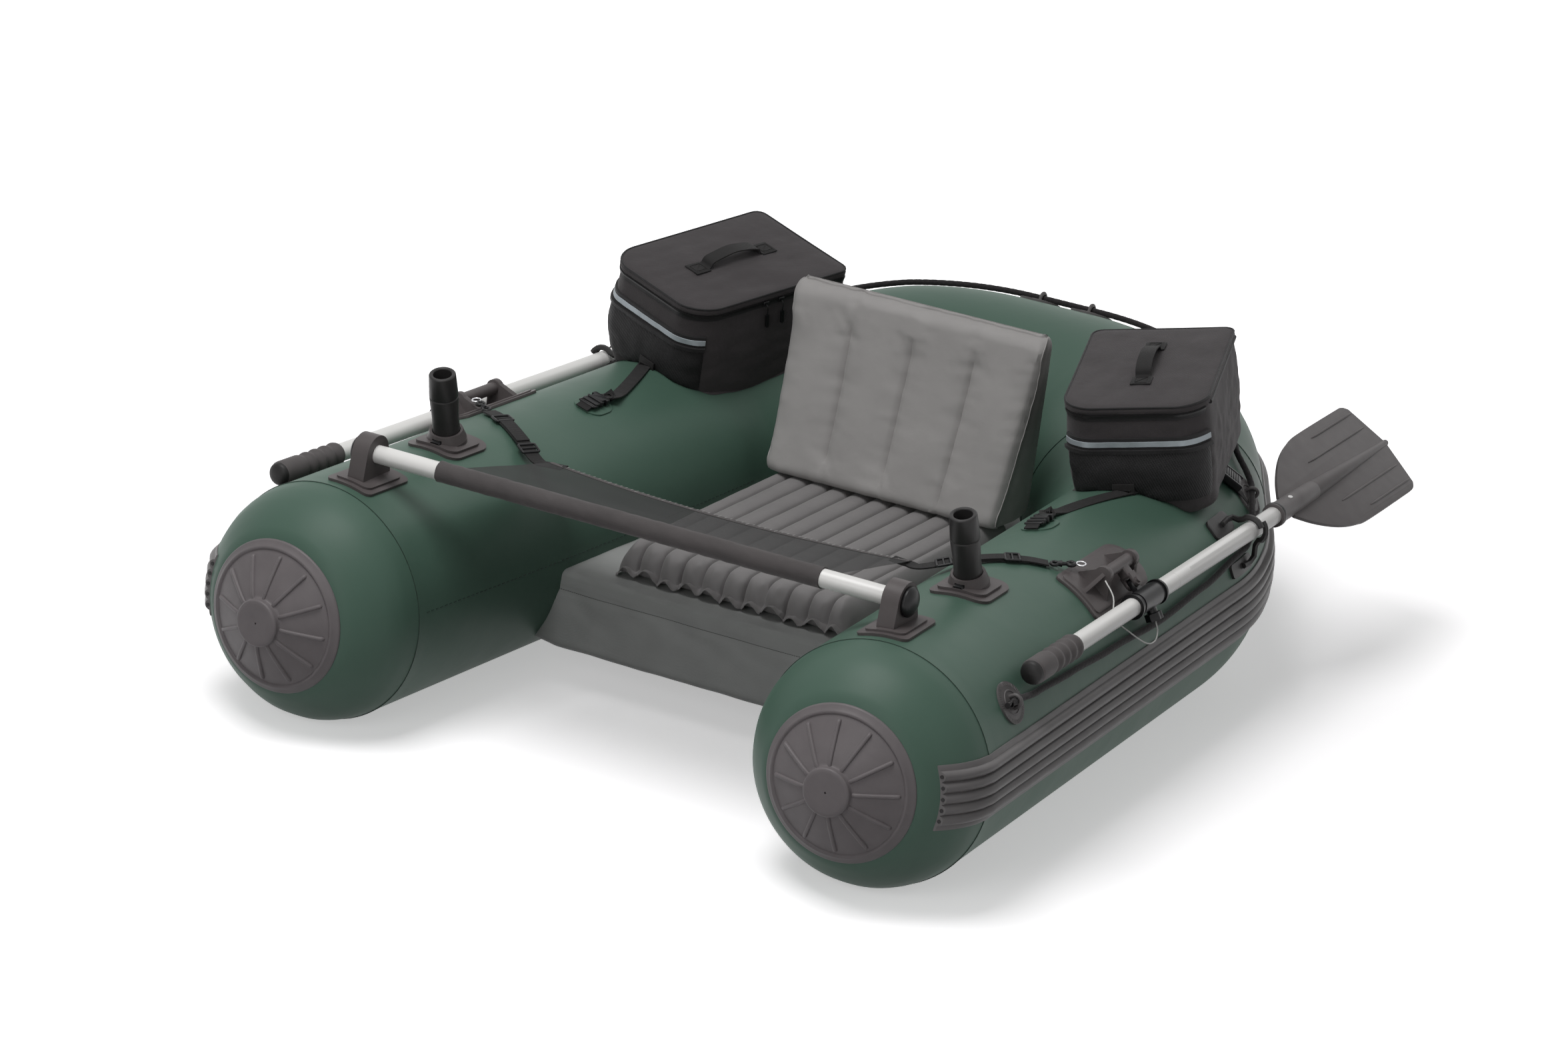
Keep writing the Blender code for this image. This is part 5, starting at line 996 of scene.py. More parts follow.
def pocket_mesh():
    """A black diamond net over darker cloth."""
    look = Finish("bag_mesh", (0.12, 0.115, 0.12), 0.6)
    one = look.wave(0.0046, "DIAGONAL")
    two = look.noise(0.004, 0.0, (1.0, 1.0, 0.5))
    ramp = look.node("ShaderNodeValToRGB")
    ramp.color_ramp.elements[0].position = 0.35
    ramp.color_ramp.elements[0].color = (0.002, 0.002, 0.002, 1)
    ramp.color_ramp.elements[1].position = 0.75
    ramp.color_ramp.elements[1].color = look.colour
    knots = look.math("MAXIMUM", one, look.wave(0.0023, "Z"))
    look.link(knots, ramp.inputs["Fac"])
    look.link(ramp.outputs["Color"], look.shader.inputs["Base Color"])
    look.bump(look.math("ADD", knots, two), 0.0004)
    return look.mat


def reflective():
    look = Finish("reflective_tape", (0.62, 0.65, 0.67), 0.38, 0.25)
    return look.drift(0.02, 0.12).grain(0.0015, 0.00006).mat


def leash_cord():
    return Finish("leash_cord", (0.88, 0.88, 0.87), 0.5).drift(0.004, 0.05).grain(0.001, 0.0001).mat


LOOKS = {
    "hull_green": hull_coat(),
    "seam_line": seam_line(),
    "strake_grey": rubber_strip(),
    "cap_grey": moulded("cap_plastic", (0.43, 0.41, 0.415), 0.42, 0.06, 0.0001),
    "floor_grey": coated_cloth("floor_cloth", (0.60, 0.605, 0.60), 0.5),
    "floor_seam": Finish("floor_seam", (0.20, 0.20, 0.20), 0.7).drift(0.01, 0.2).mat,
    "cushion_grey": coated_cloth("cushion_cloth", (0.50, 0.49, 0.49), 0.48),
    "backrest_grey": coated_cloth("backrest_cloth", (0.605, 0.595, 0.59), 0.5),
    # Dark cloth for the backrest's sideways faces: painted shade
    "gusset_painted_shade": coated_cloth("gusset_cloth", (0.13, 0.135, 0.135), 0.55),
    "bag_fabric": nylon("bag_nylon", (0.225, 0.21, 0.215)),
    "bag_trim": nylon("bag_trim", (0.075, 0.07, 0.075), 0.6),
    "bag_mesh": pocket_mesh(),
    "zip_teeth": Finish("zip_teeth", (0.10, 0.10, 0.10), 0.35).drift(0.004, 0.2).grain(0.001, 0.00005).mat,
    "reflective": reflective(),
    "black_plastic": moulded("black_plastic", (0.085, 0.085, 0.09), 0.36, 0.12),
    "base_plastic": moulded("base_plastic", (0.335, 0.315, 0.315), 0.45),
    "white_alloy": enamel(),
    "holder_dark": moulded("holder_plastic", (0.185, 0.18, 0.18), 0.4, 0.08),
    "blade_plastic": moulded("blade_plastic", (0.375, 0.36, 0.36), 0.5, 0.06, 0.00006),
    "grip_foam": moulded("grip_rubber", (0.33, 0.315, 0.315), 0.6, 0.08, 0.0001),
    "grip_dark": moulded("grip_end", (0.13, 0.125, 0.125), 0.45),
    "rope_black": braided("rope_braid", (0.125, 0.115, 0.12)),
    "webbing_black": webbing("strap_webbing", (0.075, 0.07, 0.07)),
    "apron_cloth": nylon("apron_cloth", (0.30, 0.285, 0.285), 0.7),
    "apron_grey": coated_cloth("apron_panel", (0.38, 0.37, 0.37), 0.6),
    "apron_mesh": net(),
    "tick_white": Finish("tick_print", (0.78, 0.78, 0.77), 0.6).drift(0.01, 0.08).mat,
    "chrome": bright_metal(),
    "leash_white": leash_cord(),
    "patch_grey": moulded("patch_rubber", (0.36, 0.35, 0.35), 0.45),
}


def dress(obj, look, body="hull", edge=0.0, stands_for=None):
    """Give a piece of the scene its material, and let it ride on a body and stand for nodes."""
    if edge:
        obj = round_edges(obj, edge)
    obj.data.materials.clear()
    for name in ([look] if isinstance(look, str) else look):
        obj.data.materials.append(LOOKS[name])
    obj.data.shade_smooth()
    obj.data.set_sharp_from_angle(angle=FORM_SHARP)
    obj.data.transform(SHIFT @ obj.matrix_world)
    obj.matrix_world = Matrix.Identity(4)
    if stands_for:
        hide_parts(*([stands_for] if isinstance(stands_for, str) else stands_for))
    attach(obj, body)
    return obj


def flipped(obj, name, body="hull", stands_for=None, slide=(0, 0, 0)):
    """The left-hand copy of a dressed right-hand piece."""
    mesh = obj.data.copy()
    mesh.transform(Matrix.Translation(slide) @ MIRROR @ obj.matrix_world)
    mesh.flip_normals()
    copy = new_object(name, mesh)
    if stands_for:
        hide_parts(*([stands_for] if isinstance(stands_for, str) else stands_for))
    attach(copy, body)
    return copy


def grid_surface(name, rows, close_around=False, cap=False):
    """A mesh through rows of points; closed round each row and capped at both ends if asked."""
    bm = bmesh.new()
    verts = [[bm.verts.new(p) for p in row] for row in rows]
    for near, far in zip(verts, verts[1:]):
        count = len(near)
        for i in range(count if close_around else count - 1):
            j = (i + 1) % count
            bm.faces.new((near[i], near[j], far[j], far[i]))
    if cap:
        bm.faces.new(verts[0])
        bm.faces.new(verts[-1])
    if close_around:
        face_out(bm)
    mesh = bpy.data.meshes.new(name)
    bm.to_mesh(mesh)
    bm.free()
    return new_object(name, mesh)


def joined(name, *pieces):
    """Several meshes put into one object without a boolean."""
    bm = bmesh.new()
    for piece in pieces:
        piece.data.transform(piece.matrix_world)
        bm.from_mesh(piece.data)
        bpy.data.objects.remove(piece, do_unlink=True)
    mesh = bpy.data.meshes.new(name)
    bm.to_mesh(mesh)
    bm.free()
    return new_object(name, mesh)


def other_side(line):
    """The left-hand counterpart of a line of points, without the last one, in turned order."""
    return [Vector((-p.x, p.y, p.z)) for p in line[-2::-1]]


def other_side_rows(rows):
    """The left-hand counterpart of rows of points, without the last row, in turned order."""
    return [[Vector((-p.x, p.y, p.z)) for p in row] for row in rows[-2::-1]]


def unit(value):
    """A value held between 0 and 1."""
    return min(1.0, max(0.0, value))


def edge_inset(distance, radius):
    """How far a rounded edge lies in from its flank, from 1 at the edge to 0 beyond the radius."""
    return 1 - math.sqrt(max(0.0, 1 - max(0.0, 1 - distance / radius) ** 2))


def ripple(point, size, seed=0.0):
    """Smooth noise between about -1 and 1 at a point."""
    return noise.noise(Vector(point) / size + Vector((seed, seed * 0.7, -seed)))


# Hull tubes with overlapped seams
SEAM_STEP = 0.0009
SEAM_LAP = 0.022
HULL_FINE_SIDES = 112
SEAM_LINE_R = 0.0007
SEAM_RING_STEPS = 96
SEAM_RING_FLOOR = 0.0002
RUN_STEP = 0.012
TAB_PATCH_EDGE = 0.0006
VALVE_BASE_EDGE = 0.0005


def seam_ring(run, lift):
    """A closed line round the tube, just above its skin."""
    return [skin(run, -180.0 + 360.0 * i / SEAM_RING_STEPS, lift) for i in range(SEAM_RING_STEPS)]


def tube_mesh(name, runs, lap_at=()):
    """A smooth tube through rings at given runs, whose cloth laps over the next panel at each seam."""
    rows = []
    for run in runs:
        lift = 0.0
        for seam in lap_at:
            if -1e-6 <= run - seam < SEAM_LAP:
                lift = SEAM_STEP * (1 - (run - seam) / SEAM_LAP)
        row = []
        for i in range(HULL_FINE_SIDES):
            point = skin(run, 360 * i / HULL_FINE_SIDES, lift)
            point.z = max(point.z, 0.0)
            row.append(point)
        rows.append(row)
    return grid_surface(name, rows, close_around=True, cap=True)


def even_runs(low, high, extra=()):
    """Runs in even steps, with closer ones where a lapped seam starts and ends."""
    count = max(2, int((high - low) / RUN_STEP))
    runs = [low + (high - low) * i / count for i in range(count + 1)]
    for seam in extra:
        runs += [seam - 0.0004, seam, seam + 0.004, seam + SEAM_LAP / 2, seam + SEAM_LAP]
    return sorted({round(run, 6) for run in runs if low <= run <= high})


SECOND_SEAM_RUN = RUNS[STATIONS.index(pontoon_stations[-1])]


def build_hull():
    nose_run = RUNS[0]
    pontoon = tube_mesh("right_pontoon_skin", even_runs(nose_run, SECOND_SEAM_RUN, (0.0,)), (0.0,))
    pontoon = dress(pontoon, "hull_green", stands_for="right_pontoon")
    flipped(pontoon, "left_pontoon_skin", stands_for="left_pontoon")
    rows = []
    runs = even_runs(SECOND_SEAM_RUN, RUNS[-1])
    for run in runs:
        lift = SEAM_STEP * max(0.0, 1 - (run - SECOND_SEAM_RUN) / SEAM_LAP)
        rows.append([skin(run, 360 * i / HULL_FINE_SIDES, lift) for i in range(HULL_FINE_SIDES)])
    stern = grid_surface("stern_skin", rows + other_side_rows(rows), close_around=True, cap=True)
    dress(stern, "hull_green", stands_for="stern_tube")
    for label, run in (("nose", 0.0), ("quarter", SECOND_SEAM_RUN)):
        ring = tube("right_" + label + "_seam", seam_ring(run, SEAM_STEP * 0.4), SEAM_LINE_R, 1,
                    closed=True)
        for vert in ring.data.vertices:
            vert.co.z = max(vert.co.z, SEAM_RING_FLOOR)
        ring = dress(ring, "seam_line")
        flipped(ring, "left_" + label + "_seam")
    build_inner_seam()
    oval = rounded(TAB_PATCH_LENGTH, TAB_PATCH_WIDTH, (TAB_PATCH_WIDTH * 0.45,) * 4, 4)
    patch = dress(pad("right_tab_patch", TAB_RUN, TAB_DEG, oval, TAB_PATCH_THICK, -SKIN_BOW), "hull_green",
                  edge=TAB_PATCH_EDGE)
    flipped(patch, "left_tab_patch")
    base = dress(valve_base(), "hull_green", edge=VALVE_BASE_EDGE)
    flipped(base, "left_valve_base")


INNER_SEAM_DEG = 172.0
INNER_SEAM_FROM = 0.02
INNER_SEAM_TO = 0.88
INNER_SEAM_WANDER = 2.0
INNER_SEAM_LIFT = 0.0001
INNER_STITCH = 0.011
INNER_STITCH_SHARE = 0.55


def build_inner_seam():
    """The row of short weld marks along the inner side of each pontoon."""
    marks = []
    run = INNER_SEAM_FROM
    while run < INNER_SEAM_TO:
        degrees = INNER_SEAM_DEG + INNER_SEAM_WANDER * math.sin(run * 3.0)
        near = skin(run, degrees, INNER_SEAM_LIFT)
        far = skin(run + INNER_STITCH * INNER_STITCH_SHARE, degrees, INNER_SEAM_LIFT)
        marks.append(tube("mark", [near, far], SEAM_LINE_R, 0))
        run += INNER_STITCH
    marks = dress(joined("right_inner_seam", *marks), "seam_line")
    flipped(marks, "left_inner_seam")


# End caps: flange, raised bead, ribbed web and hub
CAP_RIB_PROUD = 0.0042
CAP_SIDES = 40
CAP_FILLET = 0.004
CAP_WEB_STEPS = 8
CAP_WEB_CURVE = 1.12
CAP_RIB_STEPS = 14
CAP_RIB_FROM = CAP_HUB_R * 0.96
CAP_RIB_TO = CAP_WEB_R * 0.93
CAP_RIB_TURN = 0.15
CAP_RIB_SINK = 0.001


def build_caps():
    """The cap is turned from a profile that starts in the hub; its ribs lie on the web like spokes."""
    rim_top = CAP_RIM_THICK
    face = CAP_DEPTH
    hub_foot = face - CAP_HUB_STEP - CAP_RIB_DROP
    bead = CAP_RIM_BEAD
    profile = [(0, face - CAP_HUB_DISH * 1.6), (0.0012, face - CAP_HUB_DISH * 1.6),
               (0.0016, face - CAP_HUB_DISH * 0.3),
               (CAP_HUB_R * 0.80, face - CAP_HUB_DISH * 0.1)]
    profile += [(CAP_HUB_R - CAP_FILLET + CAP_FILLET * math.sin(a),
                 face - CAP_FILLET + CAP_FILLET * math.cos(a) - 0.0004)
                for a in [math.radians(t) for t in (20, 40, 60, 80, 90)]]
    profile += [(CAP_HUB_R, hub_foot + 0.003), (CAP_HUB_R + 0.0012, hub_foot + 0.0008),
                (CAP_HUB_R + CAP_FILLET, hub_foot)]
    span = CAP_WEB_R - bead - CAP_HUB_R - CAP_FILLET

    def web_level(share):
        return hub_foot - (hub_foot - (rim_top + bead * 0.2)) * (share ** CAP_WEB_CURVE)

    for i in range(1, CAP_WEB_STEPS + 1):
        share = i / CAP_WEB_STEPS
        profile.append((CAP_HUB_R + CAP_FILLET + span * share, web_level(share)))
    profile += [(CAP_WEB_R + bead * math.sin(a) * 0.8, rim_top + bead * 0.1 + bead * 0.55 * math.cos(a))
                for a in [math.radians(t) for t in (-60, -30, 0, 30, 60)]]
    profile += [(CAP_WEB_R + bead + 0.0015, rim_top - bead * 0.6),
                (CAP_RIM_R - 0.0022, rim_top - bead * 1.15),
                (CAP_RIM_R - 0.0006, rim_top - bead * 1.5), (CAP_RIM_R, rim_top - bead * 2.0),
                (CAP_RIM_R, 0.0), (0, 0.0)]
    cap = turned("right_end_cap", profile, CAP_SIDES)
    ribs = []
    half = CAP_RIB_THICK * 0.55
    shape = ((-1.1, None), (-0.95, 0.55), (-0.62, 0.9), (0, 1.0), (0.62, 0.9), (0.95, 0.55), (1.1, None))
    for i in range(CAP_RIB_COUNT):
        turn = 2 * math.pi * (i + CAP_RIB_TURN) / CAP_RIB_COUNT
        ahead = Vector((math.cos(turn), math.sin(turn), 0))
        side = Vector((-math.sin(turn), math.cos(turn), 0))
        rows = []
        for k in range(CAP_RIB_STEPS + 1):
            share = 1 - (1 - k / CAP_RIB_STEPS) ** 1.8
            reach = CAP_RIB_FROM + (CAP_RIB_TO - CAP_RIB_FROM) * share
            web = web_level(max(0.0, (reach - CAP_HUB_R - CAP_FILLET) / span))
            round_end = math.sqrt(max(0.0, 1 - max(0.0, 1 - (CAP_RIB_TO - reach) / half) ** 2))
            wide = half * (0.25 + 0.75 * round_end)
            high = (CAP_RIB_PROUD * (0.7 + 0.5 * share)) * (0.2 + 0.8 * round_end)
            row = []
            for across, part in shape:
                level = -CAP_RIB_SINK if part is None else high * part
                row.append(ahead * reach + side * wide * across + Vector((0, 0, web + level)))
            rows.append(row)
        ribs.append(grid_surface("cap_rib", rows, close_around=True, cap=True))
    cap = joined("right_end_cap", cap, *ribs)
    toward = (STATIONS[0][0] - STATIONS[1][0]).normalized()
    seat = STATIONS[0][0] + toward * SKIN_GAP
    apply_matrix(cap, along(seat, toward, (1, 0, 0)))
    cap = dress(cap, "cap_grey", stands_for="right_end_cap")
    cap.name = "right_end_cap_form"
    flipped(cap, "left_end_cap_form", stands_for="left_end_cap")


# Rub strake: five ribs between thin flat lips, with a dark plug in the front end of each rib that is painted
# shade for its hollow
STRAKE_WIDTH = math.radians(STRAKE_TOP_DEG - STRAKE_BOTTOM_DEG) * TUBE_R
STRAKE_GROOVE = STRAKE_VALLEY * 0.45
STRAKE_LIP = 0.09
STRAKE_SINK = 0.001
STRAKE_RIB_STEPS = 12
STRAKE_CREST_FULLNESS = 0.7
# Size of the dark plugs at the ribs' front ends, which are painted shade
STRAKE_END_SHADE_R = STRAKE_CREST * 0.30
STRAKE_END_SHADE_DEPTH = 0.004


def strake_ring(run):
    """The strake's cross-section: lips at both sides, ribs between, and a face sunk into the tube."""
    centre, radius, _, outward, upward = hull_section(run)
    middle = math.radians(STRAKE_TOP_DEG + STRAKE_BOTTOM_DEG) / 2
    lip = STRAKE_LIP
    points = []
    for k in range(STRAKE_RIBS):
        for i in range(STRAKE_RIB_STEPS):
            share = i / STRAKE_RIB_STEPS
            crest = math.sin(math.pi * share) ** STRAKE_CREST_FULLNESS
            rise = STRAKE_GROOVE + (STRAKE_CREST - STRAKE_GROOVE) * crest
            points.append((lip + (1 - 2 * lip) * (k + share) / STRAKE_RIBS, rise))
    points = [(0.0, 0.0002), (0.004, 0.0022), (0.03, 0.0030), (lip * 0.9, 0.0028)] + points
    points += [(1 - lip, 0.0028), (0.97, 0.0030), (0.996, 0.0022), (1.0, 0.0002)]
    ring = []
    for share, rise in points:
        turn = middle + (share - 0.5) * STRAKE_WIDTH / radius
        ring.append(centre + (radius + rise) * (math.cos(turn) * outward + math.sin(turn) * upward))
    for share in (0.75, 0.5, 0.25):
        turn = middle + (share - 0.5) * STRAKE_WIDTH / radius
        ring.append(centre + (radius - STRAKE_SINK) * (math.cos(turn) * outward + math.sin(turn) * upward))
    return ring


def build_strake():
    start = RUNS[0] * STRAKE_START_SHARE
    runs = even_runs(start, RUNS[-1])
    right = [strake_ring(run) for run in runs]
    strake = grid_surface("strake_form", right + other_side_rows(right), close_around=True, cap=True)
    dress(strake, "strake_grey", stands_for="rub_strake")
    # Dark plugs in the front ends of the ribs: painted shade that stands for the inside of the hollow ribs
    end_shades = []
    for k in range(STRAKE_RIBS):
        share = STRAKE_LIP + (1 - 2 * STRAKE_LIP) * (k + 0.5) / STRAKE_RIBS
        degrees = (STRAKE_TOP_DEG + STRAKE_BOTTOM_DEG) / 2
        degrees += math.degrees((share - 0.5) * STRAKE_WIDTH / hull_section(start)[1])
        spot = skin(start, degrees, STRAKE_CREST * 0.42)
        ahead = -hull_section(start)[2]
        hollow = rod("hollow", STRAKE_END_SHADE_R, -STRAKE_END_SHADE_DEPTH, 0.0008, 6)
        end_shades.append(apply_matrix(hollow, along(spot, ahead, (0, 0, 1))))
    end_shades = dress(joined("right_strake_ends", *end_shades), "grip_dark")
    flipped(end_shades, "left_strake_ends")

# Grab line: a rope along the upper outside of the hull, through the loops of round patches
ROPE_KNOTS = ((FRONT_RING_RUN, 32.5), (0.17, 30.5), (0.285, 29.1), (0.42, 27.5), (0.60, 25.5),
              (0.765, 27.0),
              (0.925, 30.5), (KEEPER_RING_RUN, 41.0), (1.13, 52.0), (1.21, 59.0), (1.305, 62.0),
              (STERN_RING_RUN, 63.0), (1.70, 63.0), (RUNS[-1], 63.0))
ROPE_LIFT = SKIN_GAP + SKIN_BOW + PATCH_THICK + SKIN_GAP * 3 + ROPE_R


def rope_angle(run):
    for (near, low), (far, high) in zip(ROPE_KNOTS, ROPE_KNOTS[1:]):
        if run <= far:
            share = (run - near) / (far - near)
            ease = share * share * (3 - 2 * share)
            return low + (high - low) * ease
    return ROPE_KNOTS[-1][1]


ROPE_RING_STEP = 0.0024
ROPE_SIDES = 14
BRAID_PITCH = 0.0135
BRAID_STRANDS = 4
ROPE_FULL = 1.18
ROPE_STEPS = 220
KNOT_REACH = 0.004
KNOT_TAIL = 0.010
PATCH_TEETH = 56
PATCH_TOOTH_R = 0.0007
PATCH_BEAD_REACH = PATCH_R * 0.55
PATCH_BEAD_R = 0.0016
PATCH_BEAD_STEPS = 32


def rope_point(run):
    return skin(run, rope_angle(max(run, FRONT_RING_RUN)), ROPE_LIFT)


def resampled(points, step):
    """The same line cut into even steps."""
    line = [Vector(p) for p in points]
    out = [line[0]]
    left = step
    for near, far in zip(line, line[1:]):
        span = (far - near).length
        at = left
        while at < span:
            out.append(near.lerp(far, at / span))
            at += step
        left = at - span
    out.append(line[-1])
    return out


def braid(name, points, radius):
    """A round cord whose surface is raised by strands that cross each other."""
    line = resampled(points, ROPE_RING_STEP)
    rows = []
    reference = Vector((0, 0, 1))
    length = 0.0
    for i, point in enumerate(line):
        ahead = (line[min(i + 1, len(line) - 1)] - line[max(i - 1, 0)]).normalized()
        side = ahead.cross(reference).normalized()
        over = side.cross(ahead)
        if i:
            length += (point - line[i - 1]).length
        row = []
        for k in range(ROPE_SIDES):
            turn = 2 * math.pi * k / ROPE_SIDES
            wind = 2 * math.pi * length / BRAID_PITCH
            one = abs(math.sin((BRAID_STRANDS * turn + wind) / 2))
            two = abs(math.sin((BRAID_STRANDS * turn - wind) / 2))
            reach = radius * (0.84 + 0.16 * max(one, two))
            row.append(point + reach * (math.cos(turn) * side + math.sin(turn) * over))
        rows.append(row)
    return grid_surface(name, rows, close_around=True, cap=True)


def build_grab_line():
    start = FRONT_RING_RUN - PATCH_R / 2
    rings = (FRONT_RING_RUN, KEEPER_RING_RUN, STERN_RING_RUN)
    even = [start + (RUNS[-1] - start) * i / ROPE_STEPS for i in range(1, ROPE_STEPS + 1)]
    runs = [run for run in even if min(abs(run - ring) for ring in rings) > PATCH_R / 2]
    runs = sorted(runs + [ring + way * PATCH_R / 2 for ring in rings for way in (-1, 1)])
    right = [rope_point(run) for run in runs]
    rope = braid("grab_line_braid", right + other_side(right), ROPE_R * ROPE_FULL)
    dress(rope, "rope_black", stands_for="grab_line")
    for way, label in ((1, "right"), (-1, "left")):
        end, nearby = (Vector((p.x * way, p.y, p.z)) for p in right[:2])
        toward = (nearby - end).normalized()
        knot = tube("knot", [end, end + toward * KNOT_REACH, end - toward * KNOT_TAIL], ROPE_R * 1.5, 4,
                    [ROPE_R * 1.2, ROPE_R * 1.6, ROPE_R * 1.1])
        dress(knot, "rope_black").name = label + "_rope_knot"
    outline = arc(0, 0, PATCH_R, 0, 360, 16)[:-1]
    for label, run in (("front", FRONT_RING_RUN), ("quarter", KEEPER_RING_RUN), ("stern", STERN_RING_RUN)):
        degrees = rope_angle(run)
        patch = pad("patch", run, degrees, outline, PATCH_THICK, -SKIN_BOW * 0.7)
        teeth = []
        for i in range(PATCH_TEETH):
            turn = 2 * math.pi * i / PATCH_TEETH
            near, far = PATCH_R * 0.80, PATCH_R * 0.965
            points = [skin(run + reach * math.cos(turn),
                           degrees + math.degrees(reach * math.sin(turn) / TUBE_R),
                           PATCH_THICK + SKIN_BOW * 0.35) for reach in (near, far)]
            teeth.append(tube("tooth", points, PATCH_TOOTH_R, 1))
        circle = []
        for i in range(PATCH_BEAD_STEPS):
            turn = 2 * math.pi * i / PATCH_BEAD_STEPS
            rise = math.degrees(PATCH_BEAD_REACH * math.sin(turn) / TUBE_R)
            circle.append(skin(run + PATCH_BEAD_REACH * math.cos(turn), degrees + rise,
                               PATCH_THICK + SKIN_BOW * 0.3))
        bead = tube("bead", circle, PATCH_BEAD_R, 2, closed=True)
        reach = ROPE_R + LOOP_CLEAR + LOOP_WIRE_R
        foot = SKIN_GAP + SKIN_BOW + PATCH_THICK / 2
        rows = [(reach, foot - ROPE_LIFT)] + arc(0, 0, reach, 0, 180, 4) + [(-reach, foot - ROPE_LIFT)]
        near, far = rope_point(run - PATCH_R / 2), rope_point(run + PATCH_R / 2)
        lie = frame_matrix(near.lerp(far, 0.5), far - near, skin_normal(run, degrees).cross(far - near))
        loop = tube("loop", [lie @ Vector((0, v, w)) for v, w in rows], LOOP_WIRE_R, 4)
        patch = joined("right_" + label + "_ring_form", patch, bead, loop, *teeth)
        patch = dress(patch, "patch_grey",
                      stands_for="right_" + label + "_ring")
        flipped(patch, "left_" + label + "_ring_form", stands_for="left_" + label + "_ring")

# Valves on the inner side of the stern: a welded base with a collar, and a screw cap
VALVE_RUN = RUNS[-1] - VALVE_X
VALVE_RISE = VALVE_BASE_THICK + VALVE_COLLAR_RISE


# How far the collar stays below the cap that turns on it
COLLAR_SHY = 0.0012


def valve_base():
    outline = arc(0, 0, VALVE_BASE_R, 0, 360, 14)[:-1]
    base = welded_pad("valve_base", VALVE_RUN, VALVE_DEG, outline, VALVE_BASE_THICK)
    place = skin_matrix(VALVE_RUN, VALVE_DEG)
    collar = rod("valve_collar", VALVE_COLLAR_R, VALVE_BASE_THICK / 2, VALVE_RISE - COLLAR_SHY, 16)
    return join(base, apply_matrix(collar, place))


def build_valve_caps():
    place = skin_matrix(VALVE_RUN, VALVE_DEG)
    seat = VALVE_RISE + SKIN_GAP
    top = seat + VALVE_CAP_THICK
    cap = turned("right_valve_cap", [(0, top), (VALVE_CAP_R - VALVE_CAP_LIP, top),
                                     (VALVE_CAP_R, top - VALVE_CAP_LIP), (VALVE_CAP_R, seat), (0, seat)],
                                     16)
    grip = block("grip", (VALVE_GRIP_LENGTH, VALVE_GRIP_WIDTH, VALVE_GRIP_RISE * 2))
    apply_matrix(grip, Matrix.Translation((0, 0, top)))
    cap = join(cap, grip)
    apply_matrix(cap, place)
    mirror_copy(finish(cap, "base_plastic"), "left_valve_cap")


# Seat: base panel, channelled cushion and wedge backrest
FLOOR_COLUMNS = 120
CUSHION_COLUMNS = 16
BACKREST_COLUMNS = 22
BACKREST_ROWS = 72
SEAM_PUCKER = 0.0016
WELT_R = 0.0016
TOP_ROUND = 0.004
FLOOR_SEAM_SHARE = 0.2
FLOOR_STEPS = 22
FLANGE = 0.011
FLANGE_THICK = 0.0013
FLOOR_STITCHES = 150
FLOOR_STITCH_LENGTH = 0.0026
FLOOR_STITCH_R = 0.0005
FLOOR_CORNER_STEPS = 6
FLOOR_TOP_STEPS = 30
CUSHION_END = 0.046
CUSHION_END_STEPS = 38
CUSHION_MIDDLE_STEPS = 34
CUSHION_LIP_LIFT = 0.0135
BACKREST_TOP_TURN = 0.022
BACKREST_FOOT_TURN = 0.02
BACKREST_SIDE_TURN = 0.012
BACKREST_SIDE_SET = 0.009
BACKREST_SIDE_STEPS = 12
BACKREST_REAR_STEPS = 24
BACKREST_KNEE = 0.6
BACKREST_CROWDING = 1.5


def floor_face(x, share):
    """A point on the loose front face of the base panel, whose cloth hangs in soft folds."""
    across = x / FLOOR_HALF_WIDTH
    fold = 0.6 * ripple((x * 1.3, 0.0, 0.0), 0.06, 4.0) + 0.4 * ripple((x, 0.3, 0.0), 0.13, 9.0)
    height = FLOOR_TOP_Z - FLOOR_BOTTOM_Z - FLOOR_EDGE * 2
    drop = FLOOR_TOP_Z - FLOOR_EDGE - height * share
    diagonal = ripple((x * 0.8 + drop * 1.2, drop * 1.1, 0.0), 0.05, 7.0)
    crease = fold * 0.008 * share + 0.004 * diagonal * math.sin(math.pi * min(1.0, share + 0.15))
    seam = 0.0016 * math.exp(-((share - FLOOR_SEAM_SHARE) / 0.05) ** 2)
    tuck = 0.012 * share * max(0.0, abs(across) - 0.86) / 0.14
    ahead = FLOOR_FRONT_Y - FLOOR_FRONT_SLOPE * share * 0.92 + 0.004
    return Vector((x, ahead - crease * 0.7 + seam + tuck, drop + 0.004 * fold * share ** 2))


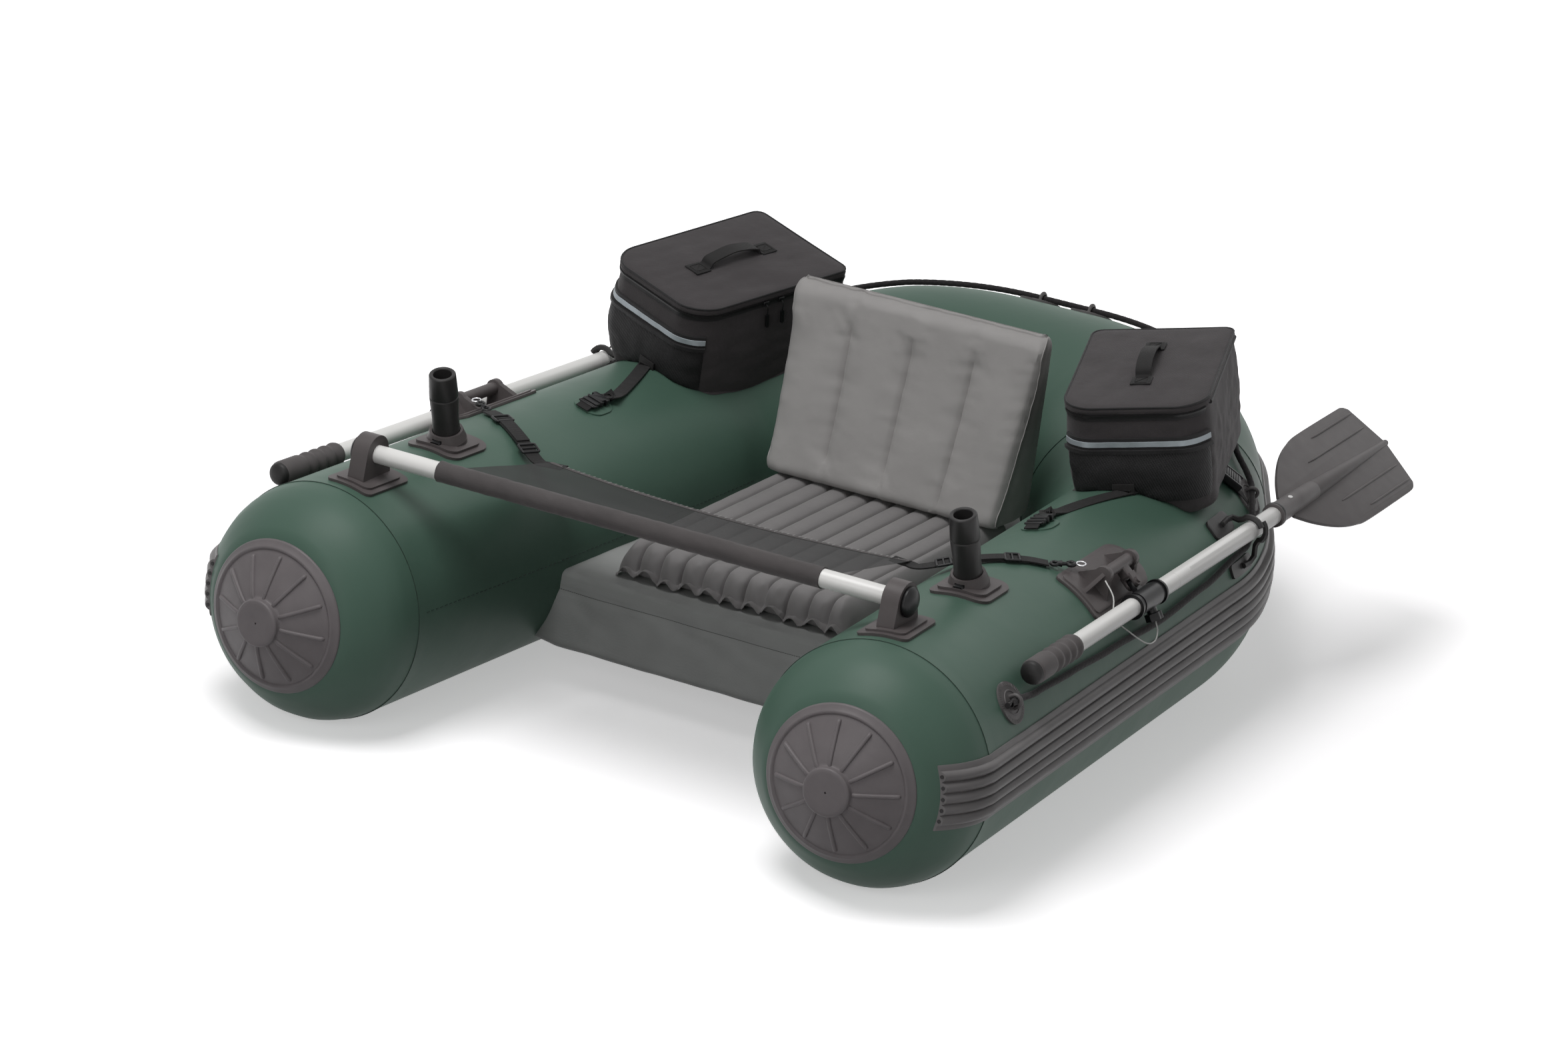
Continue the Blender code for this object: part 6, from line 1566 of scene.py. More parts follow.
def build_floor():
    """The panel between the tubes, with a loose front face."""
    top, bottom = FLOOR_TOP_Z, FLOOR_BOTTOM_Z
    rows = []
    for i in range(FLOOR_COLUMNS + 1):
        across = i / FLOOR_COLUMNS * 2 - 1
        x = across * FLOOR_HALF_WIDTH
        sag = 0.0035 * math.cos(across * math.pi / 2) + 0.0014 * ripple((x, 0.0, 0.4), 0.05, 2.0)
        first, last = floor_face(x, 0.0), floor_face(x, 1.0)
        ring = []
        for k in range(FLOOR_TOP_STEPS + 1):
            y = FLOOR_BACK_Y - (FLOOR_BACK_Y - first.y - FLOOR_EDGE) * k / FLOOR_TOP_STEPS
            ease = 1 - math.sin(math.pi * min(1.0, (y - FLOOR_FRONT_Y) / 0.09) / 2)
            ring.append(Vector((x, y, top - 0.0006 - sag * ease + 0.001 * ripple((x, y, 0.0), 0.045, 5.0)
                                - 0.001)))
        for k in range(1, FLOOR_CORNER_STEPS + 1):
            turn = math.radians(90 / FLOOR_CORNER_STEPS * k)
            lean = 1 - k / FLOOR_CORNER_STEPS
            ring.append(Vector((x, first.y + FLOOR_EDGE * (1 - math.sin(turn)),
                                top - 0.0016 - sag * lean - (FLOOR_EDGE - 0.0016) * (1 - math.cos(turn)))))
        for k in range(1, FLOOR_STEPS + 1):
            ring.append(floor_face(x, k / FLOOR_STEPS))
        for k in range(1, FLOOR_CORNER_STEPS + 1):
            turn = math.radians(90 / FLOOR_CORNER_STEPS * k)
            ring.append(Vector((x, last.y + FLOOR_EDGE * (1 - math.cos(turn)),
                                last.z - FLOOR_EDGE * math.sin(turn))))
        ring += [Vector((x, FLOOR_BACK_Y, bottom + 0.002)), Vector((x, FLOOR_BACK_Y, top - 0.01))]
        rows.append(ring)
    floor = grid_surface("seat_base_form", rows, close_around=True, cap=True)
    dress(floor, "floor_grey", stands_for="seat_base")
    ahead = Vector((0, -0.0003, 0))
    stitch = []
    for i in range(FLOOR_STITCHES):
        x = (i / FLOOR_STITCHES * 2 - 1) * FLOOR_HALF_WIDTH * 0.93
        line = [floor_face(at, FLOOR_SEAM_SHARE) + ahead for at in (x, x + FLOOR_STITCH_LENGTH)]
        stitch.append(tube("stitch", line, FLOOR_STITCH_R, 0))
    dress(joined("seat_base_stitch", *stitch), "floor_seam")


def channel(share, count, fullness=2.6):
    """Height share of a row of inflated channels: one at each crown, zero in each seam."""
    inside = (share * count) % 1.0 * 2 - 1
    return math.sqrt(max(0.0, 1 - abs(inside) ** fullness))


def cushion_steps(length):
    """Distances along the cushion, close together where its ends gather."""
    ends = [CUSHION_END * (k / CUSHION_END_STEPS) for k in range(CUSHION_END_STEPS + 1)]
    middle = [CUSHION_END + (length - CUSHION_END * 2) * k / CUSHION_MIDDLE_STEPS
              for k in range(1, CUSHION_MIDDLE_STEPS)]
    return ends + middle + [length - step for step in reversed(ends)]


def star(x, distance, number, size):
    """Creases that spread from the pinched end of a channel."""
    turn = math.atan2(x, distance + 0.003)
    return math.sin(turn * 5 + number * 1.9) * math.exp(-((x * x + distance * distance) ** 0.5) / size)


def cushion_section(across, from_end, behind):
    """Upper and lower surface of the cushion and the pull of its edge, at a distance from the nearer end."""
    crown = channel(across, CUSHION_CHANNELS)
    at_seam = 1 - crown
    number = int(min(across, 0.9999) * CUSHION_CHANNELS)
    x = (across - 0.5) * 2 * CUSHION_HALF_WIDTH
    width = 2 * CUSHION_HALF_WIDTH / CUSHION_CHANNELS
    inside = x - ((number + 0.5) / CUSHION_CHANNELS - 0.5) * 2 * CUSHION_HALF_WIDTH
    side = min(across, 1 - across) * 2 * CUSHION_HALF_WIDTH
    beside = math.sqrt(min(1.0, side / CUSHION_EDGE))
    bottom = FLOOR_TOP_Z + SKIN_GAP
    lift = CUSHION_LIP_LIFT - 0.003 * behind + 0.003 * math.sin(number * 2.1)
    start = FLANGE + 0.003 * at_seam
    rise = unit((from_end - start) / 0.034)
    full = math.sqrt(1 - (1 - rise) ** 2)
    under = unit((from_end - start * 0.7) / 0.026)
    below = math.sqrt(1 - (1 - under) ** 2)
    gather = max(0.0, 1 - from_end / 0.05)
    scallop = math.cos(inside / width * math.tau)
    droop = gather ** 3 * (0.0055 - 0.0075 * scallop + 0.002 * math.sin(number * 3.3))
    frill = 0.0026 * gather ** 2 * ripple((x, from_end * 0.25, 0.0), 0.0075, 5.0)
    body = CUSHION_HEIGHT - (CUSHION_DIP + 0.004) * at_seam - 0.003 * math.sin(math.pi * across)
    middle = lift * (0.35 + 0.65 * beside)
    folds = 0.0046 * star(inside, from_end - start, number, 0.017) * rise ** 0.5 * (1 - at_seam)
    folds *= min(1.0, gather * 2)
    pucker = SEAM_PUCKER * at_seam * ripple((x * 0.4, from_end, number * 0.2), 0.011, 3.0)
    hem = 0.0024 * (1 - beside) * ripple((x * 0.3, from_end, 0.0), 0.012, 8.0)
    blown = (body - middle - FLANGE_THICK) * full * beside
    high = middle + FLANGE_THICK - droop + frill + blown + folds + pucker + hem
    low = (middle - droop + frill) * (1 - below * min(1.0, side / 0.012)) + hem * (1 - below)
    pull = CUSHION_SCALLOP * (0.25 + 0.75 * at_seam ** 0.8) * max(0.0, 1 - from_end / 0.034)
    pull += 0.002 * gather * math.sin(number * 2.4)
    low = max(0.0, low)
    return bottom + max(high, low + FLANGE_THICK), bottom + low, max(0.0, pull)


def build_cushion():
    """Channels whose welded ends are gathered into a pinched and scalloped lip."""
    length = CUSHION_BACK_Y - CUSHION_FRONT_Y
    count = CUSHION_CHANNELS * CUSHION_COLUMNS
    rows = []
    for step in cushion_steps(length):
        behind = 1.0 if step > length / 2 else 0.0
        from_end = min(step, length - step)
        over, under = [], []
        for i in range(count + 1):
            across = i / count
            x = (across - 0.5) * 2 * CUSHION_HALF_WIDTH
            wander = 0.006 * ripple((0.0, step, x), 0.03, 2.0)
            x *= 1 - 0.012 * (1 - math.sin(math.pi * step / length)) + wander
            high, low, pull = cushion_section(across, from_end, behind)
            y = CUSHION_FRONT_Y + step + (pull if not behind else -pull)
            over.append(Vector((x, y, high)))
            under.append(Vector((x, y, low)))
        rows.append(over + under[::-1])
    cushion = grid_surface("seat_cushion_form", rows, close_around=True, cap=True)
    cushion = dress(cushion, "cushion_grey", stands_for="seat_cushion")


def build_backrest():
    """A wedge with upright channels, puckered seams and a gusset round its sides; the gusset's sideways faces
    get a dark colour that is painted shade.
    """
    foot = CUSHION_TOP_Z + SKIN_GAP
    height = BACKREST_TOP_Z - TOP_ROUND - foot
    count = BACKREST_CHANNELS * BACKREST_COLUMNS
    rows, bands = [], []
    for j in range(BACKREST_ROWS + 1):
        share = j / BACKREST_ROWS
        if share > BACKREST_KNEE:
            share = 1 - (1 - share) ** BACKREST_CROWDING
        else:
            share = share * (1 - 0.4 ** BACKREST_CROWDING) / BACKREST_KNEE
        half = BACKREST_BASE_HALF + (BACKREST_TOP_HALF - BACKREST_BASE_HALF) * share
        depth = BACKREST_BASE_DEPTH + (BACKREST_TOP_DEPTH - BACKREST_BASE_DEPTH) * share
        front = BACKREST_FRONT_Y + BACKREST_LEAN * share
        z = foot + height * share
        from_top = (1 - share) * height
        from_foot = share * height
        round_top = edge_inset(from_top, BACKREST_TOP_TURN)
        round_foot = edge_inset(from_foot, BACKREST_FOOT_TURN)
        inset = BACKREST_EDGE * 1.25 * round_top + BACKREST_EDGE * 1.1 * round_foot
        half -= 0.008 * round_top
        fade_top = unit((from_top - 0.030) / 0.045)
        fade_foot = unit((from_foot - 0.012) / 0.035)
        dip = BACKREST_DIP * (0.7 + 0.3 * math.sin(math.pi * share)) * fade_top ** 2 * (3 - 2 * fade_top)
        dip *= 0.35 + 0.65 * fade_foot
        seam_end = math.exp(-((from_top - 0.05) / 0.026) ** 2) + math.exp(-((from_foot - 0.03) / 0.02) ** 2)
        ends = max(0.0, 1 - from_top / 0.07) + max(0.0, 1 - from_foot / 0.06)
        ring = []
        for i in range(count + 1):
            across = i / count
            crown = channel(across, BACKREST_CHANNELS, 2.0)
            x = (across - 0.5) * 2 * half
            at_seam = 1 - crown
            near_seam = max(0.0, 1 - crown) ** 0.5
            side = min(across, 1 - across) * 2 * half
            corner = edge_inset(side, BACKREST_SIDE_TURN)
            pucker = 0.0022 * near_seam * ripple((x * 0.25, 0.0, z), 0.014, 6.0)
            crease = 0.0052 * ends * near_seam * ripple((x * 1.0, 0.0, z * 0.35), 0.017, 11.0)
            crease += 0.0034 * seam_end * near_seam * ripple((x + z * 0.5, 0.0, z * 0.3), 0.012, 3.0)
            soft = 0.0016 * ripple((x, 0.0, z), 0.06, 1.0)
            y = front + dip * at_seam + inset + pucker + crease + soft + BACKREST_SIDE_SET * corner
            top = 0.0016 * round_top * (0.8 * ripple((x, 0.0, 0.0), 0.02, 4.0) + 0.8)
            ring.append(Vector((x, max(y, front), z - top)))
        back = front + depth - inset * 0.6
        near_y = front + inset + BACKREST_SIDE_SET
        right_side, left_side = [], []
        for k in range(1, BACKREST_SIDE_STEPS):
            part = k / BACKREST_SIDE_STEPS
            bulge = 0.006 * math.sin(math.pi * part) * min(1.0, depth / 0.06)
            wrinkle = 0.0016 * ripple((0.0, part * depth, z), 0.022, 8.0) * math.sin(math.pi * part)
            y = near_y + (back - near_y) * part
            right_side.append(Vector((half - 0.0045 + bulge - wrinkle * 0.8, y, z)))
            left_side.append(Vector((-half + 0.0045 - bulge + wrinkle * 0.8, y, z)))
        rear = []
        for k in range(BACKREST_REAR_STEPS + 1):
            part = k / BACKREST_REAR_STEPS
            bow = 0.004 * math.sin(math.pi * part) * (1 - round_top)
            corner = 0.007 * (1 - round_top) * (max(0.0, 1 - part / 0.05) + max(0.0, 1 - (1 - part) / 0.05))
            rear.append(Vector((half * (1 - 2 * part) * 0.985, back - 0.004 + bow - corner, z)))
        rows.append(ring + right_side + rear + left_side[::-1])
        bands.append((ring[0], ring[-1]))
    ridge = sum(p.y for p in rows[-1]) / len(rows[-1])
    for turn in (math.radians(20 * k) for k in (1, 2, 3, 4, 4.4)):
        rows.append([Vector((p.x * (1 - 0.012 * (1 - math.cos(turn))),
                             ridge + (p.y - ridge) * math.cos(turn),
                             p.z + TOP_ROUND * math.sin(turn))) for p in rows[BACKREST_ROWS]])
    backrest = grid_surface("backrest_form", rows, close_around=True, cap=True)
    # Gusset polygons that face sideways take the dark colour, which is painted shade on the sides turned from
    # the lamps.
    for polygon in backrest.data.polygons:
        middle, facing = polygon.center, polygon.normal
        share = (middle.z - foot) / height
        front = BACKREST_FRONT_Y + BACKREST_LEAN * share
        aside_in_painted_shade = abs(facing.x) > 0.6 and middle.y > front + 0.02 and share < 0.985
        polygon.material_index = 1 if aside_in_painted_shade else 0
    backrest = dress(backrest, ["backrest_grey", "gusset_painted_shade"], "backrest_body",
                     stands_for="backrest")
    for index, label in ((1, "right"), (0, "left")):
        line = [pair[index] for pair in bands]
        dress(tube(label + "_backrest_welt", line[1:-1], WELT_R * 0.7, 2), "backrest_grey",
              "backrest_body")


def build_seat():
    build_floor()
    build_cushion()
    build_backrest()


# Crossbar in two eyelets, with an end plug on each side
BAR_SIDES = 18
PLUG_SIDES = 16
FACING_SIDE = Matrix.Rotation(math.pi / 2, 4, "Y")


def build_crossbar():
    across = Matrix.Translation((0, BAR_Y, BAR_Z)) @ FACING_SIDE
    half = EYELET_X + EYELET_THICK / 2
    bar = apply_matrix(rod("crossbar", BAR_R, -half, half, BAR_SIDES), across)
    finish(bar, "white_alloy")
    run = run_at(BAR_Y)
    lean = math.degrees(math.acos((EYELET_X - PONTOON_X + TOE_IN * BAR_Y) / TUBE_R))
    outline = rounded(EYELET_BASE_LENGTH, EYELET_BASE_WIDTH, (EYELET_CORNER,) * 4, 2)
    base = pad("right_bar_eyelet", run, lean, outline, EYELET_BASE_THICK)
    inset = EYELET_STEP_INSET * 2
    step = rounded(EYELET_BASE_LENGTH - inset, EYELET_BASE_WIDTH - inset, (EYELET_CORNER,) * 4, 2)
    base = join(base, pad("step", run, lean, step, EYELET_BASE_THICK + EYELET_STEP_THICK, SKIN_GAP))
    foot = -BAR_RISE - CUT_OVERRUN
    arch = [(EYELET_FOOT_HALF, foot), (EYELET_FOOT_HALF, -BAR_RISE + EYELET_BASE_THICK * 3)]
    arch += arc(0, 0, EYELET_ARCH_R, 0, 180, 8)
    arch += [(-EYELET_FOOT_HALF, -BAR_RISE + EYELET_BASE_THICK * 3), (-EYELET_FOOT_HALF, foot)]
    stand = slab("arch", arch, EYELET_THICK)
    upright = frame_matrix((EYELET_X, BAR_Y, BAR_Z), (0, 1, 0), (0, 0, 1))
    stand = trim_to_hull(apply_matrix(stand, upright))
    eyelet = join(base, stand)
    bore = rod("bore", bore_radius(BAR_R, BAR_SIDES), -EYELET_THICK, EYELET_THICK, BAR_SIDES)
    bore_place = Matrix.Translation((EYELET_X, BAR_Y, BAR_Z)) @ FACING_SIDE
    eyelet = finish(cut(eyelet, apply_matrix(bore, bore_place)), "base_plastic")
    mirror_copy(eyelet, "left_bar_eyelet")
    profile = [(0, PLUG_RIM + PLUG_DOME), (PLUG_R * 0.45, PLUG_RIM + PLUG_DOME * 0.86),
               (PLUG_R * 0.8, PLUG_RIM + PLUG_DOME * 0.5), (PLUG_R, PLUG_RIM), (PLUG_R, 0), (0, 0)]
    plug = turned("right_bar_plug", profile, PLUG_SIDES)
    apply_matrix(plug, Matrix.Translation((half + SKIN_GAP, BAR_Y, BAR_Z)) @ FACING_SIDE)
    plug = finish(plug, "black_plastic")
    mirror_copy(plug, "left_bar_plug")


# Apron: cloth sleeve, net with cloth ends, ruler hem, straps, slides and hooks
APRON_ROWS = 48
APRON_COLUMNS = 72
SLEEVE_WRINKLE = 0.0007
RULER_WIDTH = 0.014
RULER_TICK = 0.0010
RULER_STEPS = 48
RULER_TICKS = 62
RULER_LIFT = 0.0011
TICK_LIFT = 0.0014
LONG_TICK_EVERY = 5
SLEEVE_STEPS = 80
SLEEVE_SIDES = 40
SLEEVE_STITCH_R = 0.0006
APRON_HEM_SHARE = 0.955
APRON_FRONT_SHARE = 0.035


def apron_point(across, share):
    """A point on the panel: across from -1 to 1, share from the bar to the back edge."""
    front = BAR_Y + BAR_R
    y = front + (APRON_BACK_Y - front) * share
    half = SLEEVE_HALF + (APRON_BACK_HALF - SLEEVE_HALF) * share
    level = BAR_Z + (APRON_BACK_Z - BAR_Z) * share
    sag = APRON_SAG * (1 - across * across) * math.sin(math.pi * (0.12 + 0.6 * share))
    sag *= min(1.0, share / 0.06)
    bow = 0.008 * (1 - across * across) * share
    wave = 0.0012 * ripple((across * half, y, 0.0), 0.08, 3.0) * math.sin(math.pi * share)
    return Vector((across * half, y - bow, level - sag + wave))


def build_sleeve():
    rows = []
    for i in range(SLEEVE_STEPS * 2 + 1):
        x = SLEEVE_HALF * (i / SLEEVE_STEPS - 1)
        ring = []
        for k in range(SLEEVE_SIDES):
            turn = 2 * math.pi * k / SLEEVE_SIDES
            spot = (x * 1.2 + turn * 0.02, math.sin(turn) * 0.02, math.cos(turn) * 0.02)
            fold = SLEEVE_WRINKLE * ripple(spot, 0.016, 2.0)
            end = 0.0006 * max(0.0, 1 - (SLEEVE_HALF - abs(x)) / 0.006)
            reach = SLEEVE_R + fold - 0.0004 + end
            ring.append(Vector((x, BAR_Y + reach * math.sin(turn), BAR_Z + reach * math.cos(turn))))
        rows.append(ring)
    sleeve = grid_surface("apron_sleeve", rows, close_around=True, cap=True)
    dress(sleeve, "apron_cloth", stands_for="apron")
    line = [Vector((SLEEVE_HALF * (k / 40 - 1), BAR_Y + SLEEVE_R * 0.9, BAR_Z + SLEEVE_R * 0.42))
            for k in range(81)]
    hem = tube("apron_sleeve_stitch", line, SLEEVE_STITCH_R, 1)
    dress(hem, "webbing_black")


def apron_zone(across, share):
    """The material's number: net in the middle, grey cloth at the ends, dark cloth between and in the hem."""
    end = 0.80 - 0.13 * share
    if share > APRON_HEM_SHARE:
        return 2
    if abs(across) > end or share < APRON_FRONT_SHARE:
        return 1 if abs(across) > end + 0.055 else 2
    return 0


def build_apron():
    build_sleeve()
    rows = [[apron_point(k / APRON_COLUMNS * 2 - 1, i / APRON_ROWS) for k in range(APRON_COLUMNS + 1)]
            for i in range(APRON_ROWS + 1)]
    panel = grid_surface("apron_panel", rows)
    for index, polygon in enumerate(panel.data.polygons):
        row, column = divmod(index, APRON_COLUMNS)
        polygon.material_index = apron_zone((column + 0.5) / APRON_COLUMNS * 2 - 1,
                                            (row + 0.5) / APRON_ROWS)
    panel = dress(panel, ["apron_mesh", "apron_grey", "apron_cloth"])
    length = sum((apron_point(0, (i + 1) / 24) - apron_point(0, i / 24)).length for i in range(24))
    strip, ticks = [], []
    for i in range(RULER_STEPS * 2 + 1):
        across = i / RULER_STEPS - 1
        edge = apron_point(across, 1.0)
        inner = apron_point(across, 1.0 - RULER_WIDTH / (APRON_BACK_Y - BAR_Y))
        lift = Vector((0, 0, RULER_LIFT))
        strip.append([edge + lift * 0.6, edge.lerp(inner, 0.5) + lift, inner + lift * 0.6,
                      inner - lift * 0.6, edge.lerp(inner, 0.5) - lift, edge - lift * 0.6])
    hem = grid_surface("apron_ruler_edge", strip, close_around=True, cap=True)
    dress(hem, "apron_cloth")
    for i in range(1, RULER_TICKS):
        across = (i / RULER_TICKS * 2 - 1) * 0.97
        reach = 0.9 if i % LONG_TICK_EVERY == 0 else 0.5
        edge = apron_point(across, 1.0)
        inner = apron_point(across, 1.0 - RULER_WIDTH * reach / (APRON_BACK_Y - BAR_Y))
        lift = Vector((0, 0, TICK_LIFT))
        side = Vector((RULER_TICK / 2, 0, 0))
        ticks.append(grid_surface("tick", [[edge + lift - side, inner + lift - side],
                                           [edge + lift + side, inner + lift + side]]))
    dress(joined("apron_ruler_ticks", *ticks), "tick_white")
    build_apron_straps()


def triglide(name, place, width, length, thick):
    """A flat slide with a cross bar, in its own X, Y plane."""
    frame = rounded(length, width, (thick * 1.2,) * 4, 3)
    frame = tube(name, [place @ Vector((x, y, 0)) for x, y in frame], thick, 3, closed=True)
    ends = [place @ Vector((0, way * width / 2, 0)) for way in (-1, 1)]
    return joined(name, frame, tube(name, ends, thick * 0.8, 3))


SLIDE_LENGTH = 0.021
SLIDE_THICK = 0.0021
STRAP_END_DEG = 77
STRAP_END_Y = APRON_BACK_Y + STRAP_WIDTH * 4.0
SWIVEL_R = 0.0055
HOOK_RING_R = 0.0068
HOOK_RING_WIRE_R = 0.0014
HOOK_GATE_R = 0.0013


def build_apron_straps():
    lift = SKIN_GAP + SKIN_BOW + STRAP_THICK / 2
    flare = (SLEEVE_HALF - APRON_BACK_HALF) * STRAP_WIDTH / (APRON_BACK_Y - BAR_Y)
    route = [Vector((APRON_BACK_HALF - STRAP_WIDTH * 1.2, APRON_BACK_Y - STRAP_WIDTH * 0.55,
                     APRON_BACK_Z + 0.0008)),
             Vector((APRON_BACK_HALF + flare + SKIN_GAP, APRON_BACK_Y - STRAP_WIDTH * 0.5,
                     APRON_BACK_Z - APRON_THICK / 2)),
             Vector((APRON_BACK_HALF + STRAP_WIDTH, APRON_BACK_Y - STRAP_WIDTH * 0.5, APRON_BACK_Z)),
             skin(run_at(APRON_BACK_Y + STRAP_WIDTH), 112, lift + STRAP_THICK * 3),
             skin(run_at(APRON_BACK_Y + STRAP_WIDTH * 2.2), 98, lift + STRAP_THICK),
             skin(run_at(APRON_BACK_Y + STRAP_WIDTH * 3.2), 86, lift + STRAP_THICK),
             skin(run_at(STRAP_END_Y), STRAP_END_DEG, lift + STRAP_THICK)]
    path = smooth_path(route, 70)
    strap = ribbon("right_apron_strap_form", path, STRAP_WIDTH, STRAP_THICK)
    fold_back = ribbon("fold", [p + Vector((0, 0, STRAP_THICK * 1.15)) for p in path[34:52]],
                       STRAP_WIDTH * 0.94, STRAP_THICK * 0.8)
    strap = dress(joined("right_apron_strap_form", strap, fold_back), "webbing_black",
                  stands_for="right_apron_strap")
    flipped(strap, "left_apron_strap_form", stands_for="left_apron_strap")
    for label, k in (("outer", 52), ("inner", 30)):
        ahead = (path[k + 1] - path[k - 1]).normalized()
        side = ahead.cross(Vector((0, 0, 1)))
        place = frame_matrix(path[k] + Vector((0, 0, STRAP_THICK * 0.9)), ahead, side)
        slide = triglide("right_" + label + "_slide", place, STRAP_WIDTH * 1.25, SLIDE_LENGTH, SLIDE_THICK)
        slide = dress(slide, "black_plastic")
        flipped(slide, "left_" + label + "_slide")
    tip, near = route[-1], route[-2]
    reach = (tip - near).normalized()
    up = skin_normal(run_at(STRAP_END_Y), STRAP_END_DEG)
    reach = (reach + up * HOOK_TILT_SHARE).normalized()
    lie = frame_matrix(tip + reach * (SKIN_GAP + HOOK_LENGTH / 2 + HOOK_WIRE_R), reach, up.cross(reach))
    long = HOOK_LENGTH / 2 - HOOK_HALF_WIDTH
    swivel = [lie @ Vector((-HOOK_LENGTH / 2 + a, b, 0))
              for a, b in arc(SWIVEL_R, 0, SWIVEL_R, 0, 360, 8)[:-1]]
    body = [(long * 0.2 + x, y) for x, y in arc(0, 0, HOOK_HALF_WIDTH * 0.62, -180, 150, 8)]
    hook_points = [lie @ Vector((-long * 0.9, 0, 0)), lie @ Vector((-long * 0.35, 0, 0))]
    hook_points += [lie @ Vector((x + 0.004, y, 0)) for x, y in body]
    hook = joined("right_snap_hook_form", tube("swivel", swivel, HOOK_WIRE_R * 0.75, 4, closed=True),
                  tube("hook", hook_points, HOOK_WIRE_R * 0.95, 4),
                  tube("neck", [lie @ Vector((-long * 0.95, 0, 0)), lie @ Vector((-long * 0.45, 0, 0))],
                       HOOK_WIRE_R * 1.55, 4, [HOOK_WIRE_R * 1.2, HOOK_WIRE_R * 1.6]))
    hook = dress(hook, "black_plastic", stands_for="right_snap_hook")
    flipped(hook, "left_snap_hook_form", stands_for="left_snap_hook")
    circle = [lie @ Vector((long + 0.007 + x, y, 0.0008))
              for x, y in arc(0, 0, HOOK_RING_R, 0, 360, 10)[:-1]]
    gate = [lie @ Vector((long * 0.1, -0.0045, 0.0006)), lie @ Vector((long * 0.75, -0.0055, 0.0006))]
    snap = joined("right_hook_ring", tube("ring", circle, HOOK_RING_WIRE_R, 3, closed=True),
                  tube("gate", gate, HOOK_GATE_R, 3))
    snap = dress(snap, "chrome")
    flipped(snap, "left_hook_ring")


# Rod holders: a flange, a collar with a socket and a release button, and the holder that turns in it
ROD_SIDES = 16
ROD_HOLDER_SIDES = 14


def build_rod_holders():
    run = run_at(ROD_Y)
    lean = math.degrees(math.acos((ROD_X - PONTOON_X + TOE_IN * ROD_Y) / TUBE_R))
    outline = rounded(ROD_BASE_LENGTH, ROD_BASE_WIDTH, (ROD_CORNER,) * 4, 2)
    flange = pad("right_rod_flange", run, lean, outline, ROD_BASE_THICK)
    inset = ROD_STEP_INSET * 2
    step = rounded(ROD_BASE_LENGTH - inset, ROD_BASE_WIDTH - inset, (ROD_CORNER - ROD_STEP_INSET / 2,) * 4,
                   2)
    flange = join(flange, pad("step", run, lean, step, ROD_BASE_THICK + ROD_STEP_THICK, SKIN_GAP))
    tilt = math.radians(ROD_LEAN_DEG)
    tilt_in = math.radians(ROD_LEAN_IN_DEG)
    axis = Vector((-math.sin(tilt_in), -math.sin(tilt), math.cos(tilt))).normalized()
    place = along(skin(run, lean), axis, (1, 0, 0))
    collar = rod("collar", COLLAR_FOOT_R, -COLLAR_RISE, COLLAR_RISE * 0.45, ROD_SIDES)
    collar = join(collar, rod("collar_top", COLLAR_FOOT_R, COLLAR_RISE * 0.4, COLLAR_RISE, ROD_SIDES,
                              COLLAR_TOP_R))
    collar = trim_to_hull(apply_matrix(collar, place))
    flange = join(flange, collar)
    socket_floor = COLLAR_RISE - COLLAR_SOCKET_DEPTH
    socket = rod("socket", (ROD_TUBE_R + ROD_RUNNING_GAP) / math.cos(math.pi / ROD_SIDES), socket_floor,
                 COLLAR_RISE + CUT_OVERRUN, ROD_SIDES)
    flange = cut(flange, apply_matrix(socket, place))
    button_seat = COLLAR_FOOT_R * 0.95
    button_z = COLLAR_RISE * 0.66
    recess = block("recess", (BUTTON_LENGTH + SKIN_GAP * 2, BUTTON_PROUD * 2 + BUTTON_STROKE * 2,
                              BUTTON_HEIGHT + SKIN_GAP * 2))
    apply_matrix(recess, Matrix.Translation((0, -button_seat, button_z)))
    flange = cut(flange, apply_matrix(recess, place))
    flange = finish(flange, "base_plastic")
    mirror_copy(flange, "left_rod_flange")
    foot = socket_floor + SKIN_GAP
    top = COLLAR_RISE + ROD_TUBE_RISE
    groove = COLLAR_RISE + ROD_TUBE_RISE * ROD_GROOVE_SHARE
    bore = foot + ROD_BORE_FLOOR
    profile = [(0, bore), (ROD_BORE_R, bore), (ROD_BORE_R, top - ROD_GROOVE_DEPTH),
               (ROD_BORE_R + ROD_GROOVE_DEPTH, top),
               (ROD_LIP_R - ROD_GROOVE_DEPTH, top), (ROD_LIP_R, top - ROD_GROOVE_DEPTH),
               (ROD_UPPER_R, groove + ROD_GROOVE_HALF), (ROD_UPPER_R - ROD_GROOVE_DEPTH, groove),
               (ROD_UPPER_R, groove - ROD_GROOVE_HALF), (ROD_NECK_R, COLLAR_RISE + ROD_TUBE_R),
               (ROD_TUBE_R, COLLAR_RISE + ROD_GROOVE_HALF), (ROD_TUBE_R, foot), (0, foot)]
    holder = apply_matrix(turned("right_rod_holder", profile, ROD_HOLDER_SIDES), place)
    mirror_copy(finish(holder, "holder_dark"), "left_rod_holder")
    depth = BUTTON_PROUD * 2 + BUTTON_STROKE - BUTTON_TRAVEL_ROOM
    oval = rounded(BUTTON_LENGTH, BUTTON_HEIGHT, (BUTTON_HEIGHT / 2,) * 4, 4)
    button = slab("right_release_button", oval, depth)
    set_in = Matrix.Translation((0, -button_seat - BUTTON_STROKE / 2 + BUTTON_TRAVEL_ROOM, button_z))
    apply_matrix(button, place @ set_in @ Matrix.Rotation(math.pi / 2, 4, "X"))
    mirror_copy(finish(button, "black_plastic"), "left_release_button")


# The oar's line on the right
OAR_DIR = Vector((OAR_SLOPE_X, 1, OAR_SLOPE_Z)).normalized()


def oar_point(y):
    return Vector((OAR_X + OAR_SLOPE_X * (y - OAR_Y), y, OAR_Z + OAR_SLOPE_Z * (y - OAR_Y)))


